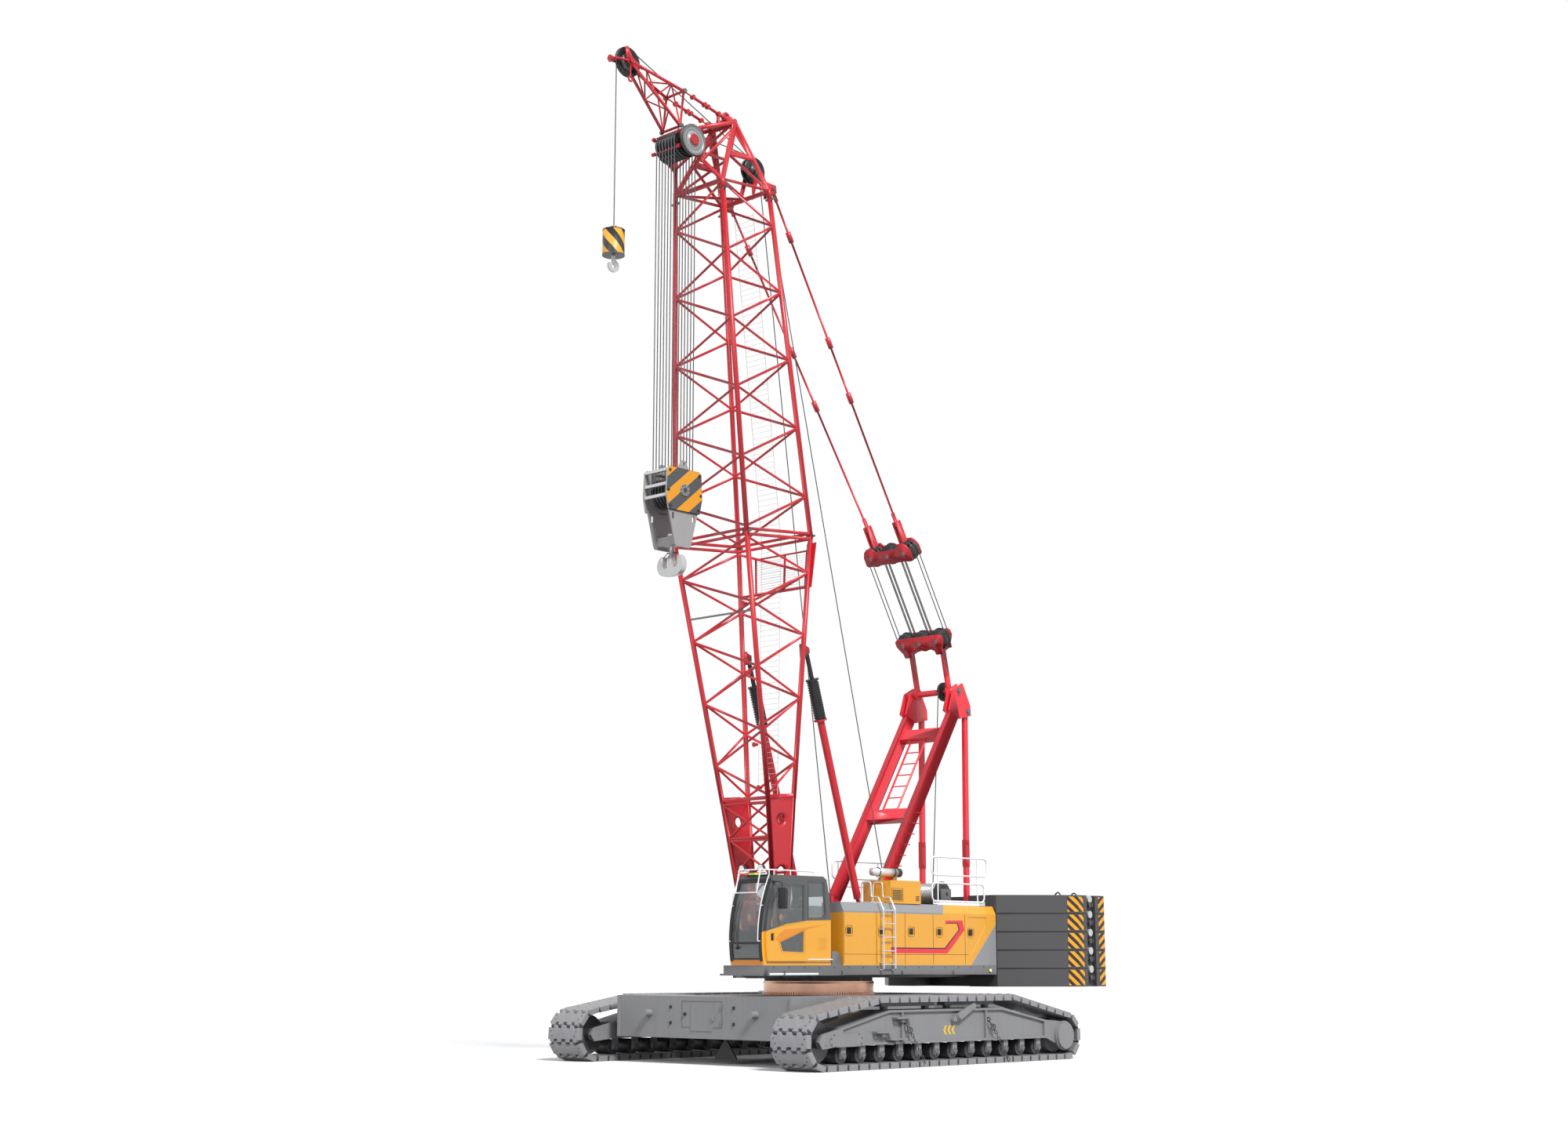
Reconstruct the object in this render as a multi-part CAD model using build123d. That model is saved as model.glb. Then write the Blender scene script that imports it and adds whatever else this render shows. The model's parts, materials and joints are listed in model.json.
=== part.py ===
"""Crawler crane with a lattice boom, as separate pieces.

Crane axes: X forwards (towards the boom), Y to the left (the cab side), Z up, slewing axis at
X = Y = 0 and the ground at Z = 0.  Every piece is modelled in crane axes and moved by ORIGIN_SHIFT
as it is written, so that the origin lies on the ground under the middle of the whole machine.  All
lengths are in millimetres.
"""
from build123d import *
from math import atan2, cos, degrees, hypot, pi, radians, sin
import os

os.makedirs("parts", exist_ok=True)

# ---------------------------------------------------------------- driving dimensions
SEAT = 0.3                     # gap between a moving piece and its seat
RUNNING = 0.1                  # radial clearance of a pin in its eye
CLEAR = 12.0                   # side clearance between pieces that swing past each other

# tracks and undercarriage
GAUGE = 6760.0                 # between the middles of the two tracks
SHOE_WIDTH = 1000.0
SHOE_COUNT = 60
SHOE_TOP = 85.0                # a shoe's face above the belt line
SHOE_VALLEY = 25.0             # the gap between two shoes, above the belt line
BELT_DEPTH = 40.0              # inside face of the shoes below the belt line
IDLER_X = 3990.0
IDLER_R = 575.0                # to the shoes' faces
SPROCKET_X = -4000.0
SPROCKET_R = 520.0
TOP_RUN_Z = 1434.0             # faces of the shoes on the upper run
TOP_RUN_FRONT_X = 2230.0
TOP_RUN_REAR_X = -2100.0
TOP_RUN_BEND_R = 500.0
ROLLER_R = 165.0
ROLLER_COUNT = 12
ROLLER_FRONT_X = 3300.0
ROLLER_REAR_X = -3180.0
ROLLER_HALF_WIDTH = 240.0
ROLLER_HUB_R = 60.0
ROLLER_SIDE = 15.0              # from a roller to its bracket
BRACKET = 60.0                 # thickness of a roller bracket
FRAME_HALF_WIDTH = 380.0       # side frame, about the middle of its track
FRAME_BOTTOM_Z = 480.0
FRAME_TOP_Z = 1160.0
FRAME_FRONT_X = 3440.0
FRAME_REAR_X = -3400.0
FRAME_SLOPE_X = 1950.0         # where the frame's top starts to fall to the idler
FRAME_NOSE_Z = 830.0
FRAME_TAPER_X = -1800.0         # where it starts to fall to the final drive
FRAME_TAIL_Z = 870.0
WEB = 60.0                     # fork plates at the idler and the final drive
FLANGE = 45.0                  # rims and ribs round the side frame's pockets
POCKET = 55.0                  # depth of those pockets
FRAME_RIBS = (3400.0, 1530.0, -1250.0, -3355.0)
STEPS = ((1560.0, 985.0), (2180.0, 710.0), (1760.0, 560.0))   # X, Z of the steps on the side frame
LEVER_PIN = (-252.0, 1010.0)
DRIVE_COVER_R = 290.0
SHOE_NOTCH = (46.0, 160.0, 62.0)                              # length, width and depth
SHOE_NOTCHES = ((-270.0, 26.0), (0.0, -26.0), (270.0, 26.0))  # place across the shoe, shift along it
BODY_TOP_Z = 1424.0
BODY_BOTTOM_Z = 544.0
BODY_HALF_LENGTH = 2250.0
BALLAST_FACE_X = 3646.0
BALLAST_HALF_WIDTH = 2613.0
BOLLARD_R = 75.0
BOLLARD_OUT = 170.0
BOLLARD_Y = 1595.0
BOLLARD_Z = 1057.0
LIFT_HOLE_R = 32.0
LIFT_HOLE_Y = 950.0
LIFT_HOLES_Z = (1190.0, 859.0)
LIFT_HOLE_DEPTH = 60.0
RING_R = 1232.0
RING_BORE_R = 950.0
RING_TOP_Z = 1724.0

# revolving upper structure
HOUSE_HALF_WIDTH = 1675.0
SILL_BOTTOM_Z = 1850.0
DECK_Z = 2064.0
SILL_FRONT_X = 3379.0
HOUSE_REAR_X = -4331.0
PLATE_Y = 505.0                # inner faces of the two main frame plates
PLATE = 60.0
FRAME_TAIL_X = -4930.0
PLATE_TOP_Z = 3150.0
HOUSE_L_FRONT_X = 1027.0
HOUSE_R_FRONT_X = 2180.0
HOUSE_TOP_Z = 3420.0
HOUSE_SHOULDER_Z = 3230.0      # where the sides start to lean in to the roof
HOUSE_LEAN = 95.0
HOUSE_INNER_FRONT_Y = 1050.0
HOUSE_INNER_REAR_Y = 820.0
HOUSE_STEP_X = -1750.0
HOUSE_WALL = 40.0
HOUSE_SEAMS_X = (-70.0, -1038.0, -2022.0, -3174.0)
HOUSE_LATCHES_X = (845.0, -233.0, -1249.0, -2239.0, -3380.0)
HOUSE_LATCH_Z = 2804.0
HOUSE_RECESS = ((-3316, 3157), (-3963, 3157), (-3963, 2966), (-3420, 2302), (-3264, 2302))
LADDER_X = (-175.0, -570.0)
LADDER_Y = 1790.0
LADDER_RUNGS_Z = (2075.0, 2370.0, 2668.0, 2963.0, 3255.0)
RAIL_R = 18.0
RAILS = ((-2175.0, -4090.0), (-2175.0, -4200.0))              # X of the lower and the upper rail loop
ENGINE_LENGTH = 1450.0
ENGINE_WIDTH = 640.0
ENGINE_HEIGHT = 950.0
ENGINE_FRONT_X = -2100.0
ROOF_BOX_X = (-1680.0, -630.0)
ROOF_BOX_Y = (800.0, 1610.0)
ROOF_BOX_TOP_Z = 3930.0

# cab
CAB_REAR_X = 1405.0
CAB_FRONT_X = 3541.0
CAB_SILL_X = 3484.0            # the front's foot
CAB_BROW_X = 3195.0            # where the front meets the roof
CAB_BOW_Z = 2700.0             # height of the front's furthest point
CAB_INNER_Y = 700.0
CAB_OUTER_Y = 1655.0
CAB_TOP_Z = 3940.0
CAB_WALL = 50.0
CAB_FLOOR = 70.0
CAB_GLASS = 8.0
DOOR_REAR_X = 2190.0
DOOR_FRONT_X = 3290.0
DOOR_BOTTOM_Z = 2150.0
DOOR_TOP_Z = 3820.0
DOOR_THICK = 42.0
DOOR_GAP = 6.0                 # between the door and the side that it slides along
DOOR_TRAVEL = 690.0
DOOR_EDGE = 85.0               # from the cab's front to the door's front edge
# window outlines on the door and behind it, as (X, Z)
DOOR_WINDOW = ((2328, 3729), (3037, 3722), (3239, 3300), (3331, 2840), (2329, 2994))
DOOR_LOW_WINDOW = ((2311, 2778), (3035, 2532), (2965, 2355), (2312, 2334))
QUARTER_WINDOW = ((1641, 3815), (2105, 3815), (2105, 3060), (1641, 3077), (1575, 3140))

# counterweight
CW_BOTTOM_Z = 1569.0
CW_TOP_Z = 3689.0
CW_SLABS = 5
CW_HALF_WIDTH = 3000.0
CW_SIDE_FRONT_X = -5760.0
CW_REAR_X = -7000.0
CW_CHAMFER = 170.0
CW_NOTCH_HALF_WIDTH = 840.0
CW_PIN_R = 62.0
CW_RECESS = 110.0

# boom; "along" is measured up the boom from its foot pins, "front" towards the falls
FOOT_X = 1665.0
FOOT_Z = 2300.0
BOOM_ANGLE = 84.95             # the boom's angle above the horizon as stored
BOOM_LOW_ANGLE = 30.0
FOOT_PIN_R = 90.0
FOOT_EYE_R = 190.0
FOOT_EYE = 90.0                # thickness of a foot eye
FOOT_NECK = 420.0              # the side plates lean out from here
CHORD_R = 57.0
LACING_R = 30.0
JOINT_ALONG = 9150.0
HEAD_ALONG = 17240.0
SHEAVE_ALONG = 18000.0
SHEAVE_FRONT = 1400.0
# section tables: (along, half width, half depth)
BASE_SECTIONS = ((3340.0, 700.0, 405.0), (JOINT_ALONG, 1129.0, 1024.0))
TOP_SECTIONS = ((JOINT_ALONG, 1129.0, 1024.0), (HEAD_ALONG, 754.0, 749.0))
FOOT_HALF_WIDTH = 450.0
BASE_BAYS = 8
TOP_BAYS = 10
HEAD_SHEAVE_R = 335.0
HEAD_SHEAVES = 7
SHEAVE_PITCH = 96.0
SHEAVE_WIDTH = 78.0
HEAD_DISC_R = 360.0
AXLE_R = 60.0
BLOCK_SHEAVE_R = 335.0
ROPE_R = 12.0
APEX_ALONG = 19060.0
APEX_FRONT = -180.0
EYE_ALONG = 18990.0
EYE_Y = 85.0
EYE_R = 55.0
EYE_PLATE = 50.0
PENDANT_ALONG = 17250.0
PENDANT_FRONT = -930.0
PENDANT_Y = 690.0
PENDANT_R = 26.0
PENDANT_EYE = 50.0
PENDANT_JOINTS = (0.385, 0.55, 0.86)

# short jib at the boom's tip
JIB_FOOT = (18380.0, 1510.0)
JIB_STRUT = (19220.0, 1340.0)
JIB_TIP = (19650.0, 2760.0)
JIB_HALF_WIDTH = 280.0
TIP_SHEAVE_R = 340.0
STAY_FOOT = (18860.0, 60.0)     # pins of the jib stays on the boom head
STAY_THICK = 40.0
JIB_BOSS_R = 62.0
HEAD_JOINT = 16970.0           # where the head is joined to the upper section
NOSE_Y = 448.0
NOSE_PLATE = 36.0
GUIDE_AXLE = (17900.0, -1060.0)
GUIDE_R = 300.0

# backstops
STOP_FOOT = (-380.0, 3350.0)   # X, Z of the foot pins
STOP_Y = 900.0
STOP_ALONG = 6600.0
STOP_FRONT = -890.0
STOP_TUBE_R = 85.0
STOP_TUBE_LENGTH = 4300.0
STOP_ROD_R = 50.0
STOP_EYE = 100.0
STOP_PIN_R = 40.0

# gantry, spreader and bridle
LEG_Y = 680.0
LEG_FOOT = (-1310.0, 3600.0)
LEG_HEAD = (-4157.0, 8145.0)
LEG_DEPTH = 300.0
LEG_WIDTH = 160.0
GANTRY_AXLE = (-4190.0, 8590.0)
GANTRY_SHEAVE_R = 230.0
GANTRY_RUNGS = 7
BACKSTAY_TOP = (-4540.0, 8120.0)
BACKSTAY_Y = 680.0
BACKSTAY_FOOT = (-4500.0, 2700.0)
SPREADER = (-3858.0, 9851.0)
BRIDLE = (-2684.0, 11851.0)
BLOCK_AXLE_PITCH = 515.0
BLOCK_THICK = 420.0
LINK_Y = 490.0
BRIDLE_PIN_Y = 460.0
BRIDLE_PIN = (-2335.0, 12446.0)

# hook block and single-line hook
BLOCK_TOP_Z = 12620.0
BLOCK_HEIGHT = 930.0
GROOVE = 28.0                  # depth of a sheave's groove
THROAT = 85.0                  # radius of a throat of the main hook
HOOK_THICK = 140.0
BLOCK_LENGTH = 1060.0
BLOCK_CHEEK = 40.0
BLOCK_SHEAVES = 7
BLOCK_LOW_Z = 10910.0
HOIST_UP = 5400.0
HOIST_DOWN = 8600.0
AUX_UP = 2800.0
AUX_DOWN = 14500.0
HOOK_BOTTOM_Z = 10310.0
AUX_TOP_Z = 17750.0
AUX_BARREL_R = 240.0
AUX_BARREL_HEIGHT = 710.0
AUX_HOOK_BOTTOM_Z = 16720.0

# winches: (node, X, Z, flange radius, barrel radius, half width)
WINCHES = (
    ("main_drum", -2050.0, 2800.0, 430.0, 290.0, 470.0),
    ("aux_drum", -350.0, 2620.0, 400.0, 270.0, 470.0),
    ("boom_hoist_drum", -3900.0, 3720.0, 300.0, 190.0, 430.0),
)
WINCH_SHAFT_R = 50.0

# ---------------------------------------------------------------- helpers
nodes = {}


def box(x0, x1, y0, y1, z0, z1):
    """A box between two corners."""
    return Pos((x0 + x1) / 2, (y0 + y1) / 2, (z0 + z1) / 2) * Box(abs(x1 - x0), abs(y1 - y0), abs(z1 - z0))


def fuse(pieces):
    """One shape from a list of pieces that overlap."""
    whole = pieces[0]
    if len(pieces) > 1:
        whole = whole + pieces[1:]
    return whole


def prism(points, direction):
    """Extrude a closed outline of 3-D points."""
    outline = Wire.make_polygon([Vector(*p) for p in points], close=True)
    return Solid.extrude(Face(outline), Vector(*direction))


def plate_y(points, y0, y1):
    """An outline of (X, Z) points as a plate from y0 to y1."""
    return prism([(x, y0, z) for x, z in points], (0, y1 - y0, 0))


def plate_z(points, z0, z1):
    """An outline of (X, Y) points as a slab from z0 to z1."""
    return prism([(x, y, z0) for x, y in points], (0, 0, z1 - z0))


def rod(a, b, radius):
    """A round bar between two points."""
    a, b = Vector(*a), Vector(*b)
    plane = Plane(origin=a, z_dir=b - a)
    return plane * Cylinder(radius, (b - a).length, align=(Align.CENTER, Align.CENTER, Align.MIN))


def bar(a, b, radius, sides=6):
    """A bar with a few flat sides between two points, for lattice work."""
    a, b = Vector(*a), Vector(*b)
    plane = Plane(origin=a, z_dir=b - a)
    return extrude(plane * RegularPolygon(radius, sides), (b - a).length)


def flat_bar(a, b, depth, y0, y1):
    """A flat bar in the XZ plane between two (X, Z) points, from y0 to y1."""
    (ax, az), (bx, bz) = a, b
    length = hypot(bx - ax, bz - az)
    nx, nz = -(bz - az) / length * depth / 2, (bx - ax) / length * depth / 2
    return plate_y([(ax + nx, az + nz), (bx + nx, bz + nz), (bx - nx, bz - nz), (ax - nx, az - nz)], y0, y1)


def disc_y(x, z, radius, y0, y1):
    """A round disc or shaft along Y."""
    return rod((x, min(y0, y1), z), (x, max(y0, y1), z), radius)


def mirrored(shape):
    """The same shape on the other side of the machine."""
    return shape.mirror(Plane.XZ)


def both(shape):
    """A shape and its mirror image."""
    return [shape, mirrored(shape)]


def tube(points, radius, bend):
    """A bent tube through the points, its corners rounded to a bend radius."""
    line = FilletPolyline(*[Vector(*p) for p in points], radius=bend)
    return sweep(Plane(origin=line @ 0, z_dir=line % 0) * Circle(radius), path=line)


def ring_tube(points, radius, bend):
    """A closed tube through the points."""
    line = FilletPolyline(*[Vector(*p) for p in points], radius=bend, close=True)
    return sweep(Plane(origin=line @ 0, z_dir=line % 0) * Circle(radius), path=line)


def zigzag(first, second, bays, radius, sides=6):
    """Lacing between two chords, each given by its two end points."""
    (a0, a1), (b0, b1) = [[Vector(*p) for p in chord] for chord in (first, second)]
    rungs = []
    for k in range(bays):
        t0, t1 = k / bays, (k + 1) / bays
        start, end = (a0 + (a1 - a0) * t0, b0 + (b1 - b0) * t1)
        if k % 2:
            start, end = (b0 + (b1 - b0) * t0, a0 + (a1 - a0) * t1)
        rungs.append(bar(start, end, radius, sides))
    return rungs


def grooved(radius, width, groove, y):
    """A rope sheave on the Y axis: a disc with a V groove in its rim and a thinner web."""
    half, web = width / 2, width * 0.28
    hub = 0.3 * radius
    side = [(0, half), (hub, half), (hub, web), (radius - groove - 45, web), (radius - groove - 20, half),
            (radius, half), (radius - groove, half * 0.34)]
    rim = side + [(r, -h) for r, h in reversed(side)]
    face = Face(Wire.make_polygon([Vector(r, y + h, 0) for r, h in rim], close=True))
    return revolve(face, axis=Axis((0, y, 0), (0, 1, 0)))


def boom_xz(along, front, angle=BOOM_ANGLE):
    """Where a place on the boom is in crane axes (X, Z), at an angle of the boom."""
    c, s = cos(radians(angle)), sin(radians(angle))
    return FOOT_X + along * c + front * s, FOOT_Z + along * s - front * c


HEAD_AXLE = boom_xz(SHEAVE_ALONG, SHEAVE_FRONT)
TIP_AXLE = boom_xz(JIB_TIP[0], JIB_TIP[1])
PENDANT_TOP = boom_xz(PENDANT_ALONG, PENDANT_FRONT)
AUX_X = TIP_AXLE[0] + TIP_SHEAVE_R - GROOVE + ROPE_R + SEAT
ORIGIN_SHIFT = (-CW_REAR_X - AUX_X - AUX_BARREL_R) / 2


def node(name, *shapes):
    """Write one node, which may hold several solids that do not touch."""
    solids = [s for shape in shapes for s in shape.solids()]
    moved = [s.moved(Location((ORIGIN_SHIFT, 0, 0))) for s in solids]
    nodes[name] = moved
    export_step(Compound(moved), f"parts/{name}.step")


def to_boom(shape):
    """Raise a shape that was modelled with the boom lying forwards, its back up, to the stored angle."""
    return Pos(FOOT_X, 0, FOOT_Z) * Rot(0, -BOOM_ANGLE, 0) * shape


def between(table, along):
    """Half width and half depth of a section table at a place along the boom."""
    (a0, w0, d0), (a1, w1, d1) = table
    t = (along - a0) / (a1 - a0)
    return w0 + (w1 - w0) * t, d0 + (d1 - d0) * t


# ---------------------------------------------------------------- undercarriage
def belt_segments():
    """The belt line round the idler, the two bends of the upper run and the sprocket, as lines and arcs."""
    wheels = (
        (IDLER_X, IDLER_R, IDLER_R - SHOE_TOP),
        (TOP_RUN_FRONT_X, TOP_RUN_Z - TOP_RUN_BEND_R, TOP_RUN_BEND_R - SHOE_TOP),
        (TOP_RUN_REAR_X, TOP_RUN_Z - TOP_RUN_BEND_R, TOP_RUN_BEND_R - SHOE_TOP),
        (SPROCKET_X, SPROCKET_R, SPROCKET_R - SHOE_TOP),
    )
    count = len(wheels)
    normals = []
    for i, (x0, z0, r0) in enumerate(wheels):
        x1, z1, r1 = wheels[(i + 1) % count]
        heading = atan2(z1 - z0, x1 - x0)
        tilt = (r0 - r1) / hypot(x1 - x0, z1 - z0)
        normals.append(heading - pi / 2 + atan2(tilt, (1 - tilt * tilt) ** 0.5))
    segments = []
    for i, (x, z, r) in enumerate(wheels):
        start = normals[i - 1]
        turn = (normals[i] - start) % (2 * pi)
        segments.append(("arc", (x, z), r, start, turn, r * turn))
        nx, nz, nr = wheels[(i + 1) % count]
        a = (x + r * cos(normals[i]), z + r * sin(normals[i]))
        b = (nx + nr * cos(normals[i]), nz + nr * sin(normals[i]))
        segments.append(("line", a, b, normals[i], 0.0, hypot(b[0] - a[0], b[1] - a[1])))
    return segments


BELT = belt_segments()
BELT_LENGTH = sum(s[5] for s in BELT)
SHOE_PITCH = BELT_LENGTH / SHOE_COUNT


def belt_point(distance, height=0.0):
    """A point (X, Z) on the belt at a distance along it, raised outwards by a height."""
    distance %= BELT_LENGTH
    for kind, p, q, start, turn, length in BELT:
        if distance <= length:
            t = distance / length
            if kind == "arc":
                a = start + turn * t
                return p[0] + (q + height) * cos(a), p[1] + (q + height) * sin(a)
            return (p[0] + (q[0] - p[0]) * t + height * cos(start),
                p[1] + (q[1] - p[1]) * t + height * sin(start))
        distance -= length
    return belt_point(0.0, height)


def track(side):
    """One closed loop of shoes, each with its raised face."""
    # columns: place along a shoe in pitches, height above the belt line
    shoe = ((0.05, SHOE_VALLEY), (0.09, SHOE_TOP), (0.91, SHOE_TOP), (0.95, SHOE_VALLEY))
    outer = [belt_point((i + place) * SHOE_PITCH, height) for i in range(SHOE_COUNT) for place,
        height in shoe]
    inner = [belt_point((i + 0.5) * SHOE_PITCH, -BELT_DEPTH) for i in range(SHOE_COUNT)]
    y0 = side * GAUGE / 2 - SHOE_WIDTH / 2
    rim = Wire.make_polygon([Vector(x, y0, z) for x, z in outer], close=True)
    hole = Wire.make_polygon([Vector(x, y0, z) for x, z in inner], close=True)
    loop = Solid.extrude(Face(rim, [hole]), Vector(0, SHOE_WIDTH, 0))
    return loop - shoe_notches(side * GAUGE / 2)


def shoe_notches(y):
    """Cutters for the gaps between the fingers of neighbouring shoes."""
    length, width, depth = SHOE_NOTCH
    cutters = []
    for i in range(SHOE_COUNT):
        x, z = belt_point(i * SHOE_PITCH, SHOE_TOP)
        ahead_x, ahead_z = belt_point(i * SHOE_PITCH + 20, SHOE_TOP)
        heading = atan2(ahead_z - z, ahead_x - x)
        block = Rot(0, -heading * 180 / pi, 0) * Box(length, width, 2 * depth)
        for dy, shift in SHOE_NOTCHES:
            cutters.append(Pos(x + shift * cos(heading), y + dy, z + shift * sin(heading)) * block)
    return cutters


def wheel_radius(face_radius):
    """The largest wheel that fits inside the flats of the shoes where they turn at a radius."""
    half_turn = SHOE_PITCH / (face_radius - SHOE_TOP) / 2
    return (face_radius - SHOE_TOP - BELT_DEPTH) * cos(half_turn) - SEAT


def roller_places():
    step = (ROLLER_REAR_X - ROLLER_FRONT_X) / (ROLLER_COUNT - 1)
    return [ROLLER_FRONT_X + step * i for i in range(ROLLER_COUNT)]


ROLLER_Z = SHOE_TOP + BELT_DEPTH + SEAT + ROLLER_R


def side_frame(side):
    """The side frame: a tapered box girder, forks for idler and drive, roller brackets, skid bars."""
    y = side * GAUGE / 2
    outline = [
        (FRAME_REAR_X, FRAME_BOTTOM_Z), (FRAME_FRONT_X, FRAME_BOTTOM_Z), (FRAME_FRONT_X, FRAME_NOSE_Z),
        (FRAME_SLOPE_X, FRAME_TOP_Z), (FRAME_TAPER_X, FRAME_TOP_Z), (FRAME_REAR_X, FRAME_TAIL_Z),
    ]
    girder = plate_y(outline, y - FRAME_HALF_WIDTH, y + FRAME_HALF_WIDTH)
    for front, rear in zip(FRAME_RIBS, FRAME_RIBS[1:]):
        pocket = frame_pocket(front - FLANGE / 2, rear + FLANGE / 2)
        for dy in (-FRAME_HALF_WIDTH - 10, FRAME_HALF_WIDTH - POCKET):
            girder = girder - plate_y(pocket, y + dy, y + dy + POCKET + 10)
    pieces = [girder] + side_steps(side)
    for dy in (-FRAME_HALF_WIDTH, FRAME_HALF_WIDTH - WEB):
        fork = [
            (FRAME_FRONT_X - 10, FRAME_BOTTOM_Z), (IDLER_X, FRAME_BOTTOM_Z - 50), (IDLER_X + 110, IDLER_R),
            (IDLER_X, FRAME_NOSE_Z - 110), (FRAME_FRONT_X - 10, FRAME_NOSE_Z),
        ]
        pieces.append(plate_y(fork, y + dy, y + dy + WEB))
        tail = [
            (FRAME_REAR_X + 10, FRAME_BOTTOM_Z), (SPROCKET_X, SPROCKET_R - 260),
                (SPROCKET_X - 150, SPROCKET_R),
            (SPROCKET_X, FRAME_TAIL_Z - 40), (FRAME_REAR_X + 10, FRAME_TAIL_Z),
        ]
        pieces.append(plate_y(tail, y + dy, y + dy + WEB))
    for x in roller_places():
        for dy in (-ROLLER_HALF_WIDTH - ROLLER_SIDE - BRACKET, ROLLER_HALF_WIDTH + ROLLER_SIDE):
            pieces.append(box(x - 75, x + 75, y + dy, y + dy + BRACKET, ROLLER_Z - 60, FRAME_BOTTOM_Z + 5))
    skid_top = TOP_RUN_Z - SHOE_TOP - BELT_DEPTH - SEAT
    for x0, x1 in ((180.0, 1880.0), (-1850.0, -180.0)):
        pieces.append(box(x0, x1, y - 110, y + 110, skid_top - 80, skid_top))
        for x in (x0 + 180, x1 - 180):
            pieces.append(box(x - 60, x + 60, y - 60, y + 60, FRAME_TOP_Z - 60, skid_top - 70))
    return fuse(pieces)


def frame_top(x):
    """Height of the side frame's upper edge."""
    if x > FRAME_SLOPE_X:
        fall = (x - FRAME_SLOPE_X) / (FRAME_FRONT_X - FRAME_SLOPE_X)
        return FRAME_TOP_Z + (FRAME_NOSE_Z - FRAME_TOP_Z) * fall
    if x < FRAME_TAPER_X:
        fall = (x - FRAME_TAPER_X) / (FRAME_REAR_X - FRAME_TAPER_X)
        return FRAME_TOP_Z + (FRAME_TAIL_Z - FRAME_TOP_Z) * fall
    return FRAME_TOP_Z


def frame_pocket(x0, x1):
    """The outline of one pocket between two ribs, a rim's width inside the frame's edges."""
    corners = [x for x in (FRAME_SLOPE_X, FRAME_TAPER_X) if x1 < x < x0]
    upper = [(x, frame_top(x) - FLANGE) for x in [x0] + corners + [x1]]
    return [(x0, FRAME_BOTTOM_Z + FLANGE)] + upper + [(x1, FRAME_BOTTOM_Z + FLANGE)]


def side_steps(side):
    """The steps and the folding lever on the outer face."""
    y = side * (GAUGE / 2 + FRAME_HALF_WIDTH)
    wall, tip = sorted((y - side * (POCKET + 5), y + side * 100))
    pieces = []
    for x, z in STEPS:
        tread = box(x - 260, x + 260, wall, tip, z, z + 35)
        slot0, slot1 = sorted((y + side * 20, y + side * 75))
        slots = [box(x + dx - 40, x + dx + 40, slot0, slot1, z - 5, z + 40) for dx in (-170, -57, 57, 170)]
        pieces.append(tread - slots)
        stay0, stay1 = sorted((y - side * (POCKET + 5), y + side * 50))
        pieces.append(box(x - 60, x + 60, stay0, stay1, z - 70, z + 5))
    x, z = LEVER_PIN
    arm = [(x + 60, z - 70), (x + 90, z + 40), (x - 480, z + 270), (x - 570, z + 240), (x - 560, z + 170),
        (x - 60, z - 80)]
    y0, y1 = sorted((y + side * 40, y + side * 70))
    pieces.append(plate_y(arm, y0, y1))
    pieces.append(disc_y(x, z, 55, *sorted((y - side * (POCKET + 5), y + side * 95))))
    foot0, foot1 = sorted((y - side * (POCKET + 5), y + side * 45))
    pieces.append(plate_y([(x + 170, z - 110), (x + 170, z - 60), (x + 90, z + 50), (x + 50, z - 110)],
        foot0, foot1))
    return pieces


def rollers(side):
    """The track rollers with their pins."""
    y = side * GAUGE / 2
    shapes = []
    reach = ROLLER_HALF_WIDTH + ROLLER_SIDE - SEAT
    for x in roller_places():
        shapes.append(fuse([
            disc_y(x, ROLLER_Z, ROLLER_R, y - ROLLER_HALF_WIDTH, y + ROLLER_HALF_WIDTH),
            disc_y(x, ROLLER_Z, ROLLER_HUB_R, y - reach, y + reach),
        ]))
    return shapes


def idler(side):
    """The idler wheel with its hub."""
    y = side * GAUGE / 2
    wheel = disc_y(IDLER_X, IDLER_R, wheel_radius(IDLER_R), y - 170, y + 170)
    hub = disc_y(IDLER_X, IDLER_R, 130, y - FRAME_HALF_WIDTH + WEB, y + FRAME_HALF_WIDTH - WEB)
    return fuse([wheel, hub])


def final_drive(side):
    """The sprocket and the round housing of the travel drive, which shows on the outside."""
    y = side * GAUGE / 2
    inner = y - side * (FRAME_HALF_WIDTH - WEB)
    sprocket = disc_y(SPROCKET_X, SPROCKET_R, wheel_radius(SPROCKET_R), y - 120, y + 120)
    core = disc_y(SPROCKET_X, SPROCKET_R, 210, inner, y + side * (FRAME_HALF_WIDTH - WEB))
    face = y + side * FRAME_HALF_WIDTH
    cover = fuse([
        disc_y(SPROCKET_X, SPROCKET_R, DRIVE_COVER_R + 30, face, face + side * 60),
        disc_y(SPROCKET_X, SPROCKET_R, DRIVE_COVER_R, face, face + side * 105),
    ])
    return [fuse([sprocket, core]), cover]


def car_body():
    """The car body: a centre box and four arms that reach the side frames."""
    reach = GAUGE / 2 - FRAME_HALF_WIDTH
    pieces = [box(-BODY_HALF_LENGTH, BODY_HALF_LENGTH, -1500, 1500, BODY_BOTTOM_Z + 60, BODY_TOP_Z)]
    for x in (-1450.0, 1450.0):
        pieces.append(box(x - 420, x + 420, -reach, reach, BODY_BOTTOM_Z + 120, FRAME_TOP_Z - 60))
    return fuse(pieces)


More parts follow.
